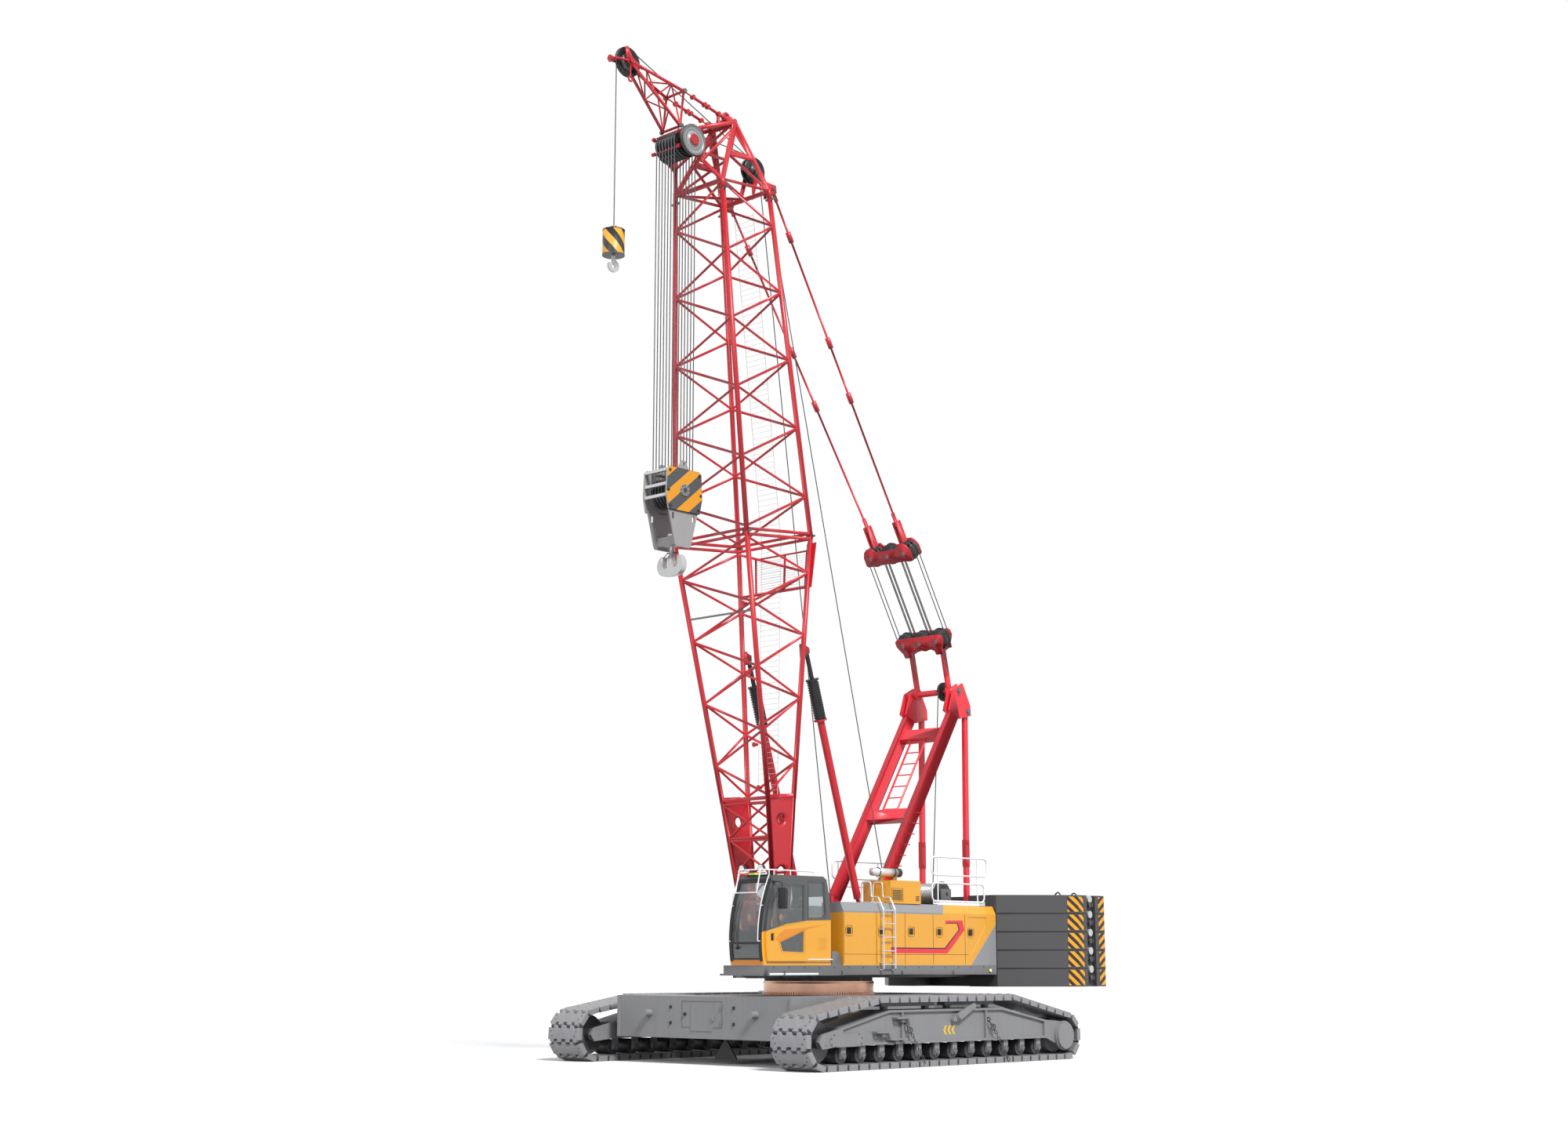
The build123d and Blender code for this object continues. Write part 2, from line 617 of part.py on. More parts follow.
def ballast(end):
    """A ballast box with lifting bollards and lifting holes in its face; end is 1 in front, -1 behind."""
    face = end * BALLAST_FACE_X
    back = end * BODY_HALF_LENGTH
    shape = box(back, face, -BALLAST_HALF_WIDTH, BALLAST_HALF_WIDTH, BODY_BOTTOM_Z, BODY_TOP_Z)
    pins = []
    for y in (-BOLLARD_Y, BOLLARD_Y):
        pins.append(rod((face - end * 5, y, BOLLARD_Z), (face + end * BOLLARD_OUT, y, BOLLARD_Z), BOLLARD_R))
    for y in (-BALLAST_HALF_WIDTH + 25, BALLAST_HALF_WIDTH - 25):
        pins.append(box(face - end * 5, face + end * 35, y - 25, y + 25, BODY_BOTTOM_Z, BODY_TOP_Z))
    pins.append(box(face - end * 5, face + end * 12, -330, 330, BODY_BOTTOM_Z + 160, BODY_TOP_Z - 180))
    pins.append(box(face, face + end * 40, 330, 365, BODY_BOTTOM_Z + 370, BODY_BOTTOM_Z + 480))
    shape = fuse([shape] + pins)
    holes = []
    for y in (-LIFT_HOLE_Y, LIFT_HOLE_Y):
        for z in LIFT_HOLES_Z:
            holes.append(rod((face - end * LIFT_HOLE_DEPTH, y, z), (face + end * 5, y, z), LIFT_HOLE_R))
    return shape - holes


def slew_ring():
    ring = rod((0, 0, BODY_TOP_Z), (0, 0, RING_TOP_Z - SEAT), RING_R)
    return ring - rod((0, 0, BODY_TOP_Z - 10), (0, 0, RING_TOP_Z + 10), RING_BORE_R)


# ---------------------------------------------------------------- revolving upper structure
def revolving_frame():
    """Deck, centre girder, main plates, boom foot lugs, gantry and backstop brackets, winch bearings."""
    pieces = [
        rod((0, 0, RING_TOP_Z), (0, 0, SILL_BOTTOM_Z), RING_R - 20),
        box(FRAME_TAIL_X, 1950, -PLATE_Y - PLATE - 200, PLATE_Y + PLATE + 200, SILL_BOTTOM_Z - 60, DECK_Z),
        box(HOUSE_REAR_X, SILL_FRONT_X, -HOUSE_HALF_WIDTH, HOUSE_HALF_WIDTH, SILL_BOTTOM_Z, DECK_Z),
    ]
    plate = [
        (FRAME_TAIL_X, DECK_Z - 20), (FOOT_X + 180, DECK_Z - 20), (FOOT_X + 180, FOOT_Z + 90),
        (FOOT_X + 60, FOOT_Z + 150), (FOOT_X - 200, FOOT_Z + 150), (-250, PLATE_TOP_Z),
            (FRAME_TAIL_X, PLATE_TOP_Z),
    ]
    eye_inner = FOOT_HALF_WIDTH - FOOT_EYE / 2
    parts = [
        plate_y(plate, PLATE_Y, PLATE_Y + PLATE),
        box(FOOT_X - 180, FOOT_X + 180, eye_inner - CLEAR - PLATE, eye_inner - CLEAR, DECK_Z - 20,
            FOOT_Z + 130),
        disc_y(FOOT_X, FOOT_Z, FOOT_PIN_R, eye_inner - CLEAR - PLATE, PLATE_Y + PLATE),
        # gantry foot pedestal
        box(LEG_FOOT[0] - 260, LEG_FOOT[0] + 260, PLATE_Y, LEG_Y + LEG_WIDTH / 2 + 50, PLATE_TOP_Z - 200,
            PLATE_TOP_Z + 180),
        # backstop cross beam and its pair of lugs
        box(STOP_FOOT[0] - 150, STOP_FOOT[0] + 150, PLATE_Y, STOP_Y + 100, PLATE_TOP_Z - 300,
            PLATE_TOP_Z - 20),
    ]
    for dy in (-STOP_EYE / 2 - CLEAR / 2 - 34, STOP_EYE / 2 + CLEAR / 2):
        lug = [(STOP_FOOT[0] - 110, PLATE_TOP_Z - 60), (STOP_FOOT[0] + 110, PLATE_TOP_Z - 60),
               (STOP_FOOT[0] + 70, STOP_FOOT[1] + 80), (STOP_FOOT[0] - 70, STOP_FOOT[1] + 80)]
        parts.append(plate_y(lug, STOP_Y + dy, STOP_Y + dy + 34))
    parts.append(disc_y(STOP_FOOT[0], STOP_FOOT[1], STOP_PIN_R, STOP_Y - 90, STOP_Y + 90))
    for name, x, z, flange, barrel, half in WINCHES:
        if z + 120 > PLATE_TOP_Z:
            parts.append(box(x - 160, x + 160, PLATE_Y, PLATE_Y + PLATE, PLATE_TOP_Z - 20, z + 120))
    pieces.append(box(SILL_FRONT_X - 10, CAB_SILL_X + 60, 430, HOUSE_HALF_WIDTH - 30, SILL_BOTTOM_Z,
        SILL_BOTTOM_Z + 45))
    pieces.append(box(SILL_FRONT_X - 10, CAB_SILL_X, 480, HOUSE_HALF_WIDTH, SILL_BOTTOM_Z + 30,
        DECK_Z - SEAT))
    bracket = [(1389, DECK_Z - 20), (1389, 2362), (1241, 2362), (1101, 2266), (1101, DECK_Z - 20)]
    pieces.append(plate_y(bracket, HOUSE_HALF_WIDTH - 45, HOUSE_HALF_WIDTH - 5))
    tub = [(1850, SILL_BOTTOM_Z - 60), (2750, SILL_BOTTOM_Z - 60), (2950, SILL_BOTTOM_Z + 10),
        (1850, SILL_BOTTOM_Z + 10)]
    pieces.append(plate_y(tub, -PLATE_Y - 160, PLATE_Y + 160))
    for shape in parts:
        pieces += both(shape)
    whole = fuse(pieces)
    holes = [disc_y(x, z, WINCH_SHAFT_R + RUNNING, -PLATE_Y - PLATE - 20, PLATE_Y + PLATE + 20)
             for name, x, z, flange, barrel, half in WINCHES]
    return whole - holes


def winch(x, z, flange, barrel, half):
    """A winch drum with two flanges and its shaft ends."""
    return fuse([
        disc_y(x, z, barrel, -half, half),
        disc_y(x, z, flange, -half, -half + 40),
        disc_y(x, z, flange, half - 40, half),
        disc_y(x, z, WINCH_SHAFT_R, -PLATE_Y - PLATE, PLATE_Y + PLATE),
    ])


def house(side, front_x):
    """A machinery house: a shell on the deck, open below, whose side leans in to the roof."""
    def shell(inset):
        outer = HOUSE_HALF_WIDTH - inset
        plan = [
            (front_x - inset, HOUSE_INNER_FRONT_Y + inset), (front_x - inset, outer),
                (HOUSE_REAR_X + inset, outer),
            (HOUSE_REAR_X + inset, HOUSE_INNER_REAR_Y + inset),
                (HOUSE_STEP_X - inset, HOUSE_INNER_REAR_Y + inset),
            (HOUSE_STEP_X - inset, HOUSE_INNER_FRONT_Y + inset),
        ]
        body = plate_z(plan, DECK_Z - (10 if inset else 0), HOUSE_TOP_Z - inset)
        lean = prism([
            (HOUSE_REAR_X - 10, outer + 1, HOUSE_SHOULDER_Z), (HOUSE_REAR_X - 10, outer + 1, HOUSE_TOP_Z + 1),
            (HOUSE_REAR_X - 10, outer - HOUSE_LEAN, HOUSE_TOP_Z + 1),
        ], (front_x - HOUSE_REAR_X + 20, 0, 0))
        return body - lean
    whole = shell(0.0) - shell(HOUSE_WALL)
    skin = HOUSE_HALF_WIDTH
    cuts = [box(x - 6, x + 6, skin - 10, skin + 10, DECK_Z + 10, HOUSE_SHOULDER_Z) for x in HOUSE_SEAMS_X]
    z = HOUSE_LATCH_Z
    cuts += [box(x - 50, x + 50, skin - 15, skin + 10, z - 55, z + 55) for x in HOUSE_LATCHES_X]
    cuts.append(plate_y(HOUSE_RECESS, skin - 14, skin + 10))
    whole = whole - cuts
    return whole if side > 0 else mirrored(whole)


def ladder():
    """The ladder up the left house: two stringers that end in hand loops over the roof, and their rungs."""
    pieces = []
    y, roof = LADDER_Y, HOUSE_TOP_Z
    for x in LADDER_X:
        pieces.append(tube([
            (x, y - 95, 1965), (x, y, 1950), (x, y, 3275), (x, 1640, 3545), (x, 1440, 3545), (x, 1420, 3880),
            (x, 1160, 3880), (x, 1130, roof - 10),
        ], RAIL_R, 55))
        for z in (2130.0, 2850.0):
            pieces.append(box(x - 20, x + 20, HOUSE_HALF_WIDTH + SEAT, y, z - 15, z + 15))
    for z in LADDER_RUNGS_Z:
        pieces.append(rod((LADDER_X[1], y, z), (LADDER_X[0], y, z), 14))
    landing = box(LADDER_X[1] - 20, LADDER_X[0] + 20, 1120, 1450, roof + SEAT, roof + 32)
    return fuse(pieces + [landing]) - box(LADDER_X[1] - 40, LADDER_X[0] + 40, 1000, 1580, roof - 50,
        roof + SEAT)


def handrails():
    """The folding rails over the rear of both houses: a lower and an upper loop on two posts."""
    shapes = []
    y, roof = HOUSE_HALF_WIDTH - HOUSE_LEAN - 45, HOUSE_TOP_Z
    for side in (-1, 1):
        pieces = []
        for (x0, x1), z0, z1 in ((RAILS[0], 3510, 3915), (RAILS[1], 4100, 4510)):
            corners = ((x0, z0), (x1, z0), (x1, z1), (x0, z1))
            pieces.append(ring_tube([(x, side * y, z) for x, z in corners], RAIL_R, 110))
        for x in (-2385.0, -3840.0):
            pieces.append(rod((x, side * y, roof + SEAT), (x, side * y, 4510), RAIL_R - 2))
        foot = box(-3850, -2375, side * y - 25, side * y + 25, roof + SEAT, roof + 60)
        shapes.append(fuse(pieces + [foot]))
    return shapes


def engine():
    y = HOUSE_INNER_REAR_Y + HOUSE_WALL + 60
    return box(ENGINE_FRONT_X - ENGINE_LENGTH, ENGINE_FRONT_X, -y - ENGINE_WIDTH, -y, DECK_Z,
        DECK_Z + ENGINE_HEIGHT)


def roof_box():
    return box(ROOF_BOX_X[0], ROOF_BOX_X[1], ROOF_BOX_Y[0], ROOF_BOX_Y[1], HOUSE_TOP_Z, ROOF_BOX_TOP_Z)


def exhaust():
    """The silencer lying over the roof box, on its two feet."""
    x0, x1, y, z = -1350.0, -420.0, 1250.0, ROOF_BOX_TOP_Z + 190
    pieces = [rod((x0, y, z), (x1, y, z), 90)]
    for x in (x0 + 150, x0 + 600):
        pieces.append(box(x - 40, x + 40, y - 30, y + 30, ROOF_BOX_TOP_Z, z - 40))
    return fuse(pieces)


def counterweight_plan():
    """The outline of a slab: it fills the gap behind the houses, flares out and has cut corners."""
    half = [
        (FRAME_TAIL_X, CW_NOTCH_HALF_WIDTH), (HOUSE_REAR_X - 30, CW_NOTCH_HALF_WIDTH),
        (HOUSE_REAR_X - 30, HOUSE_HALF_WIDTH), (CW_SIDE_FRONT_X + CW_CHAMFER, CW_HALF_WIDTH - CW_CHAMFER),
        (CW_SIDE_FRONT_X, CW_HALF_WIDTH), (CW_REAR_X + CW_CHAMFER, CW_HALF_WIDTH),
        (CW_REAR_X, CW_HALF_WIDTH - CW_CHAMFER),
    ]
    return half + [(x, -y) for x, y in reversed(half)]


def counterweight(layer):
    """One slab, with a recess in each side and a lifting pin in the recess."""
    step = (CW_TOP_Z - CW_BOTTOM_Z) / CW_SLABS
    z0, z1 = CW_BOTTOM_Z + step * layer, CW_BOTTOM_Z + step * (layer + 1)
    slab = plate_z(counterweight_plan(), z0, z1)
    middle = (CW_SIDE_FRONT_X + CW_REAR_X + CW_CHAMFER) / 2
    for side in (-1, 1):
        outer, inner = side * (CW_HALF_WIDTH + 10), side * (CW_HALF_WIDTH - CW_RECESS)
        slab = slab - box(middle - 170, middle + 170, inner, outer, z0 - 1, z1 + 1)
        slab = slab + disc_y(middle, (z0 + z1) / 2, CW_PIN_R, side * (CW_HALF_WIDTH - CW_RECESS - 20),
                             side * (CW_HALF_WIDTH - 15))
    return slab


# ---------------------------------------------------------------- cab
def cab_side(inset=0.0):
    """The cab's outline from the side, bowed in front and leaning at the back, in X and Z."""
    bottom = DECK_Z + SEAT
    front = ThreePointArc((CAB_SILL_X, bottom), (CAB_FRONT_X, CAB_BOW_Z), (CAB_BROW_X, CAB_TOP_Z - 15))
    back, top = CAB_REAR_X, CAB_TOP_Z
    rest = Polyline((CAB_BROW_X, top - 15), (CAB_BROW_X - 60, top), (back + 240, top), (back + 130, top - 70),
                    (back + 58, top - 360), (back, top - 920), (back, bottom), (CAB_SILL_X, bottom))
    face = make_face([front.edge()] + list(rest.edges()))
    if inset:
        face = offset(face, amount=-inset, kind=Kind.INTERSECTION)
    return face


def cab_slice(inset, y0, y1):
    """That outline, drawn in by an inset, as a solid between two places across the cab."""
    return Pos(0, y1, 0) * Rot(90, 0, 0) * extrude(cab_side(inset), amount=y1 - y0)


def cab():
    """The cab's shell and the panes of its fixed windows."""
    shell = cab_slice(0.0, CAB_INNER_Y, CAB_OUTER_Y)
    room = cab_slice(CAB_WALL, CAB_INNER_Y + CAB_WALL, CAB_OUTER_Y - CAB_WALL)
    room = room & box(0, 4000, 0, 2000, DECK_Z + CAB_FLOOR, CAB_TOP_Z)
    shell = shell - room
    glass = []
    # the windscreen
    y0, y1 = CAB_INNER_Y + 80, CAB_OUTER_Y - 80
    opening = box(CAB_BROW_X - 120, CAB_FRONT_X + 10, y0, y1, DECK_Z + 130, CAB_TOP_Z - 130)
    pane = cab_slice(14.0, y0, y1) - cab_slice(14.0 + CAB_GLASS, y0 - 10, y1 + 10)
    glass.append(pane & opening)
    shell = shell - opening
    # fixed windows behind the door, on the inner side and at the back
    skins = (
        (QUARTER_WINDOW, CAB_OUTER_Y - CAB_WALL, CAB_OUTER_Y),
        (((1560, 3060), (1640, 3800), (3020, 3800), (3200, 3300), (3300, 2860), (3200, 2780), (1560, 2820)),
         CAB_INNER_Y, CAB_INNER_Y + CAB_WALL),
    )
    for outline, y0, y1 in skins:
        shell = shell - plate_y(outline, y0 - 10, y1 + 10)
        middle = (y0 + y1) / 2
        glass.append(plate_y(outline, middle - CAB_GLASS / 2, middle + CAB_GLASS / 2))
    y0, y1, z0, z1 = CAB_INNER_Y + 120, CAB_OUTER_Y - 120, DECK_Z + 1000, CAB_TOP_Z - 420
    shell = shell - box(CAB_REAR_X - 10, CAB_REAR_X + 140, y0, y1, z0, z1)
    glass.append(box(CAB_REAR_X + 68, CAB_REAR_X + 68 + CAB_GLASS, y0, y1, z0, z1))
    # the doorway
    doorway = cab_slice(DOOR_EDGE + 60, CAB_OUTER_Y - CAB_WALL - 10, CAB_OUTER_Y + 10)
    frame = box(DOOR_REAR_X + 60, CAB_FRONT_X, 0, 2000, DOOR_BOTTOM_Z + 60, DOOR_TOP_Z - 60)
    shell = shell - (doorway & frame)
    return shell, glass


def cab_door():
    """The sliding door, which follows the cab's bowed front, with its windows and its runners."""
    y0, y1 = CAB_OUTER_Y + DOOR_GAP, CAB_OUTER_Y + DOOR_GAP + DOOR_THICK
    door = cab_slice(DOOR_EDGE, y0, y1) & box(DOOR_REAR_X, CAB_FRONT_X, 0, 2000, DOOR_BOTTOM_Z, DOOR_TOP_Z)
    panes = []
    for outline in (DOOR_WINDOW, DOOR_LOW_WINDOW):
        door = door - plate_y(outline, y0 - 5, y1 + 5)
        panes.append(plate_y(outline, y0 + 18, y0 + 18 + CAB_GLASS))
    door = door - box(3215, 3325, y1 - 14, y1 + 5, 2560, 2730)
    for z in (DOOR_BOTTOM_Z + 30, DOOR_TOP_Z - 30):
        door = door + box(DOOR_REAR_X + 40, DOOR_REAR_X + 160, CAB_OUTER_Y + SEAT, y0 + 5, z - 15, z + 15)
    return door, panes


def cab_rails():
    """The rail round the cab's roof and the guard in front of the windscreen's top."""
    z, y0, y1 = CAB_TOP_Z + 100, CAB_INNER_Y + 130, CAB_OUTER_Y - 65
    corners = ((1860, y1), (3300, y1), (3450, y1 - 60), (3450, y0 + 60), (3300, y0), (3080, y0))
    pieces = [tube([(x, y, z) for x, y in corners], 15, 60)]
    for x, y in ((1880, y1), (2600, y1), (3110, y1), (3110, y0)):
        pieces.append(rod((x, y, CAB_TOP_Z + SEAT), (x, y, z), 12))
    for y in (y0 + 70, y1 - 70):
        pieces.append(rod((3450, y, z), (3560, y, 3560), 13))
    pieces.append(rod((3560, y0 + 60, 3560), (3560, y1 - 60, 3560), 13))
    return fuse(pieces)


def mirror():
    """The outside mirror on its arm."""
    y = CAB_OUTER_Y
    arm = tube([(3212, y - 10, 3790), (3212, y + 105, 3790), (3150, y + 205, 3790), (3150, y + 205, 3500)],
        12, 30)
    head = extrude(fillet(Rectangle(230, 440).vertices(), 45), amount=55)
    plate = Pos(3128, y + 235, 3445) * Rot(0, 90, 0) * Rot(0, 0, 90) * head
    foot = box(3192, 3232, y + SEAT, y + 14, 3765, 3812)
    return fuse([arm, plate, foot]) - box(3150, 3320, y - 60, y + SEAT, 3700, 3860)


def cab_fittings():
    """Console and seat base."""
    floor = DECK_Z + CAB_FLOOR
    y = (CAB_INNER_Y + CAB_OUTER_Y) / 2
    return [
        box(2050, 2550, y - 200, y + 200, floor, floor + 330),
        box(2050, 2750, CAB_INNER_Y + CAB_WALL + 10, y - 280, floor, floor + 620),
        fuse([box(3000, 3180, y - 90, y + 90, floor, floor + 650),
            box(2960, 3240, y - 190, y + 190, floor + 640, floor + 760)]),
    ]


def cab_seat():
    """The driver's seat: cushion and back as plain soft solids."""
    floor = DECK_Z + CAB_FLOOR
    y = (CAB_INNER_Y + CAB_OUTER_Y) / 2
    back = plate_y([(2040, floor + 480), (2190, floor + 470), (2080, floor + 1180), (1960, floor + 1170)],
        y - 230, y + 230)
    return fuse([box(2040, 2580, y - 250, y + 250, floor + 330 + SEAT, floor + 480), back])


# ---------------------------------------------------------------- boom (modelled lying forwards, its back up)
def lattice(table, bays, close_start=True, close_end=True):
    """Four chords and the zigzag lacing between them, for one tapered section."""
    (a0, w0, d0), (a1, w1, d1) = table
    # chords in order round the section: (side, back)
    corners = ((1, -1), (1, 1), (-1, 1), (-1, -1))

    def at(corner, along):
        w, d = between(table, along)
        return along, corners[corner % 4][0] * w, corners[corner % 4][1] * d

    pieces = [bar(at(i, a0), at(i, a1), CHORD_R, 8) for i in range(4)]
    stations = [a0 + 120 + (a1 - a0 - 240) * k / bays for k in range(bays + 1)]
    for face in range(4):
        for k in range(bays):
            # neighbouring chords take the even and the odd stations in turn
            first, second = (face, face + 1) if (face + k) % 2 == 0 else (face + 1, face)
            pieces.append(bar(at(first, stations[k]), at(second, stations[k + 1]), LACING_R, 6))
        for wanted, along in ((close_start, a0 + 60), (close_end, a1 - 60)):
            if wanted:
                pieces.append(bar(at(face, along), at(face + 1, along), LACING_R + 6, 6))
    return pieces


def boom_base():
    """Foot eyes, the holed side plates and the flaring lattice of the lower section."""
    start, w, d = BASE_SECTIONS[0]
    pieces = lattice((BASE_SECTIONS[0], BASE_SECTIONS[1]), BASE_BAYS)
    for side in (-1, 1):
        y0, y1 = side * FOOT_HALF_WIDTH, side * w
        half = FOOT_EYE / 2
        eye = rod((0, y0 - half, 0), (0, y0 + half, 0), FOOT_EYE_R)
        # the side plate runs from the foot out to the first chords, leaning with them
        def edge(along, y, thick, deep):
            return Wire.make_polygon([(along, y - thick, -deep), (along, y + thick, -deep),
                                      (along, y + thick, deep), (along, y - thick, deep)], close=True)
        neck = Solid.make_loft([edge(40, y0, half, 150), edge(FOOT_NECK, y0, half, 190)], True)
        plate = Solid.make_loft([edge(FOOT_NECK, y0, half, 190), edge(start + 120, y1, half * 0.6, d)], True)
        pieces += [eye, neck, plate]
        for back in (-1, 1):
            pieces.append(bar((FOOT_NECK, y0, back * 170), (start + 40, y1, back * d), CHORD_R, 8))
    for along in (1150.0, 2500.0):
        t = (along - FOOT_NECK) / (start - FOOT_NECK)
        y = FOOT_HALF_WIDTH + (w - FOOT_HALF_WIDTH) * t
        for back in (-1, 1):
            z = back * (170 + (d - 170) * t)
            pieces.append(bar((along, -y, z), (along, y, z), LACING_R + 8, 6))
    whole = fuse(pieces + stop_lugs())
    holes = [rod((0, -900, 0), (0, 900, 0), FOOT_PIN_R + RUNNING)]
    for along, radius in ((800.0, 95.0), (1750.0, 150.0), (2900.0, 110.0)):
        holes.append(rod((along, -900, 0), (along, 900, 0), radius))
    return to_boom(trimmed(whole - holes, -FOOT_EYE_R - 10, JOINT_ALONG - SEAT / 2))


def stop_lugs():
    """Two lugs and their pad for each backstop, on the rear chords."""
    pieces = []
    z = -STOP_FRONT
    for side in (-1, 1):
        y = side * STOP_Y
        pieces.append(box(STOP_ALONG - 150, STOP_ALONG + 150, y - 60, y + 60, z - 150, z - 75))
        for dy in (-24 - SEAT - 30, 24 + SEAT):
            y0 = y + dy
            pieces.append(prism([
                (STOP_ALONG - 130, y0, z - 100), (STOP_ALONG + 130, y0, z - 100),
                (STOP_ALONG + 60, y0, z + 60), (STOP_ALONG - 60, y0, z + 60),
            ], (0, 30, 0)))
    return pieces


def trimmed(shape, low, high):
    """A boom section cut square at its ends, where it meets the next one."""
    return shape & box(low, high, -2000, 2000, -2000, 2000)


def boom_top():
    """The upper section up to the joint of the head, and the head with its nose, lugs and eyes."""
    section = trimmed(fuse(lattice(TOP_SECTIONS, TOP_BAYS)), JOINT_ALONG + SEAT / 2, HEAD_ALONG)
    whole = fuse([section] + boom_head())
    holes = [
        rod((SHEAVE_ALONG, -600, -SHEAVE_FRONT), (SHEAVE_ALONG, 600, -SHEAVE_FRONT), AXLE_R + RUNNING),
        rod((EYE_ALONG, -EYE_Y - EYE_PLATE, -APEX_FRONT), (EYE_ALONG, EYE_Y + EYE_PLATE, -APEX_FRONT), EYE_R),
    ]
    whole = whole - holes
    section = trimmed(whole, JOINT_ALONG, HEAD_JOINT)
    head = trimmed(whole, HEAD_JOINT + SEAT, APEX_ALONG + 3000)
    return to_boom(section), to_boom(head)


def boom_head():
    """The head: a frame over the section's end, the nose that carries the sheave axle, lugs and two eyes."""
    along, w, d = TOP_SECTIONS[1]
    beam = (APEX_ALONG - 260, -APEX_FRONT)
    pieces = []
    for side in (-1, 1):
        y, top_y = side * w, side * 345
        front_foot, rear_foot, top = (along - 80, y, -d), (along - 80, y, d), (beam[0], top_y, beam[1])
        pieces += [bar(front_foot, top, CHORD_R, 8), bar(rear_foot, top, CHORD_R, 8)]
        # a strut and a holed gusset between the two legs
        a = Vector(*front_foot) + (Vector(*top) - Vector(*front_foot)) * 0.45
        b = Vector(*rear_foot) + (Vector(*top) - Vector(*rear_foot)) * 0.45
        pieces += [bar(a, b, 42, 6), bar(a, rear_foot, 36, 6)]
        pieces.append(head_gusset(a, b, Vector(*top)))
        pieces += nose(side)
        # pendant lugs
        for dy in (-PENDANT_EYE / 2 - SEAT - 44, PENDANT_EYE / 2 + SEAT):
            y0 = side * PENDANT_Y + dy
            pieces.append(prism([
                (PENDANT_ALONG - 260, y0, d - 40), (PENDANT_ALONG + 120, y0, d - 40),
                (PENDANT_ALONG + 90, y0, -PENDANT_FRONT + 80), (PENDANT_ALONG - 90, y0, -PENDANT_FRONT + 80),
            ], (0, 44, 0)))
    for z in (-d, d):
        pieces.append(bar((along - 80, -w, z), (along - 80, w, z), CHORD_R, 8))
    foot = along - 80
    left_leg, right_leg = ((foot, w, -d), (beam[0], 345, beam[1])), ((foot, -w, -d), (beam[0], -345, beam[1]))
    front_tube, rear_tube = ((foot, -w, -d), (foot, w, -d)), ((foot, -w, d), (foot, w, d))
    pieces += zigzag(right_leg, left_leg, 3, 34) + zigzag(front_tube, rear_tube, 2, 34)
    pieces.append(bar((beam[0], -375, beam[1]), (beam[0], 375, beam[1]), CHORD_R + 20, 8))
    pieces += head_eyes()
    for side in (-1, 1):
        for dy in (-STAY_THICK / 2 - SEAT - 20, STAY_THICK / 2 + SEAT):
            y0, z = side * JIB_HALF_WIDTH + dy, -STAY_FOOT[1]
            pieces.append(prism([
                (STAY_FOOT[0] - 160, y0, z + 210), (STAY_FOOT[0] + 50, y0, z + 210),
                (STAY_FOOT[0] + 50, y0, z - 50), (STAY_FOOT[0] - 60, y0, z - 50),
            ], (0, 20, 0)))
    return pieces


def head_gusset(a, b, top):
    """A flat triangular plate with a triangular hole, in the upper corner between two legs."""
    def corner(t, u):
        return a + (top - a) * t + (b - a) * u
    outer = [corner(0.0, 0.0), corner(0.0, 1.0), corner(0.92, 0.04)]
    inner = [corner(0.12, 0.14), corner(0.12, 0.74), corner(0.62, 0.14)]
    face = Face(Wire.make_polygon(outer, close=True), [Wire.make_polygon(inner, close=True)])
    normal = (b - a).cross(top - a).normalized()
    return Solid.extrude(face.moved(Location(normal * -10)), normal * 20)


def nose(side):
    """The plate that carries the sheave axle on one side, and the tubes that tie it to the head's frame."""
    along, w, d = TOP_SECTIONS[1]
    inner = side * NOSE_Y - NOSE_PLATE / 2
    z = -SHEAVE_FRONT
    plate = prism([
        (SHEAVE_ALONG - 130, inner, z - 60), (SHEAVE_ALONG + 110, inner, z - 110),
            (SHEAVE_ALONG + 430, inner, z + 330),
        (SHEAVE_ALONG + 380, inner, z + 420), (SHEAVE_ALONG - 330, inner, z + 440),
            (SHEAVE_ALONG - 420, inner, z + 330),
    ], (0, NOSE_PLATE, 0))
    hole = rod((SHEAVE_ALONG + 20, inner - 5, z + 270),
        (SHEAVE_ALONG + 20, inner + NOSE_PLATE + 5, z + 270), 90)
    y = side * NOSE_Y
    return [
        plate - hole,
        bar((SHEAVE_ALONG - 370, y, z + 380), (along - 80, side * w, -d), 50, 8),
        bar((SHEAVE_ALONG + 390, y, z + 370), (APEX_ALONG - 260, side * 345, -APEX_FRONT), 50, 8),
        bar((SHEAVE_ALONG - 330, y, z + 400), (APEX_ALONG - 420, side * 390, -APEX_FRONT - 60), 36, 6),
    ]


def head_eyes():
    """The two eyes that stand on the head's beam."""
    pieces = []
    z = -APEX_FRONT
    for y in (-EYE_Y, EYE_Y):
        y0 = y - EYE_PLATE / 2
        pieces.append(prism([
            (APEX_ALONG - 330, y0, z - 170), (APEX_ALONG - 330, y0, z + 170), (EYE_ALONG, y0, z + 108),
                (EYE_ALONG, y0, z - 108),
        ], (0, EYE_PLATE, 0)))
        pieces.append(rod((EYE_ALONG, y0, z), (EYE_ALONG, y0 + EYE_PLATE, z), 112))
    return pieces


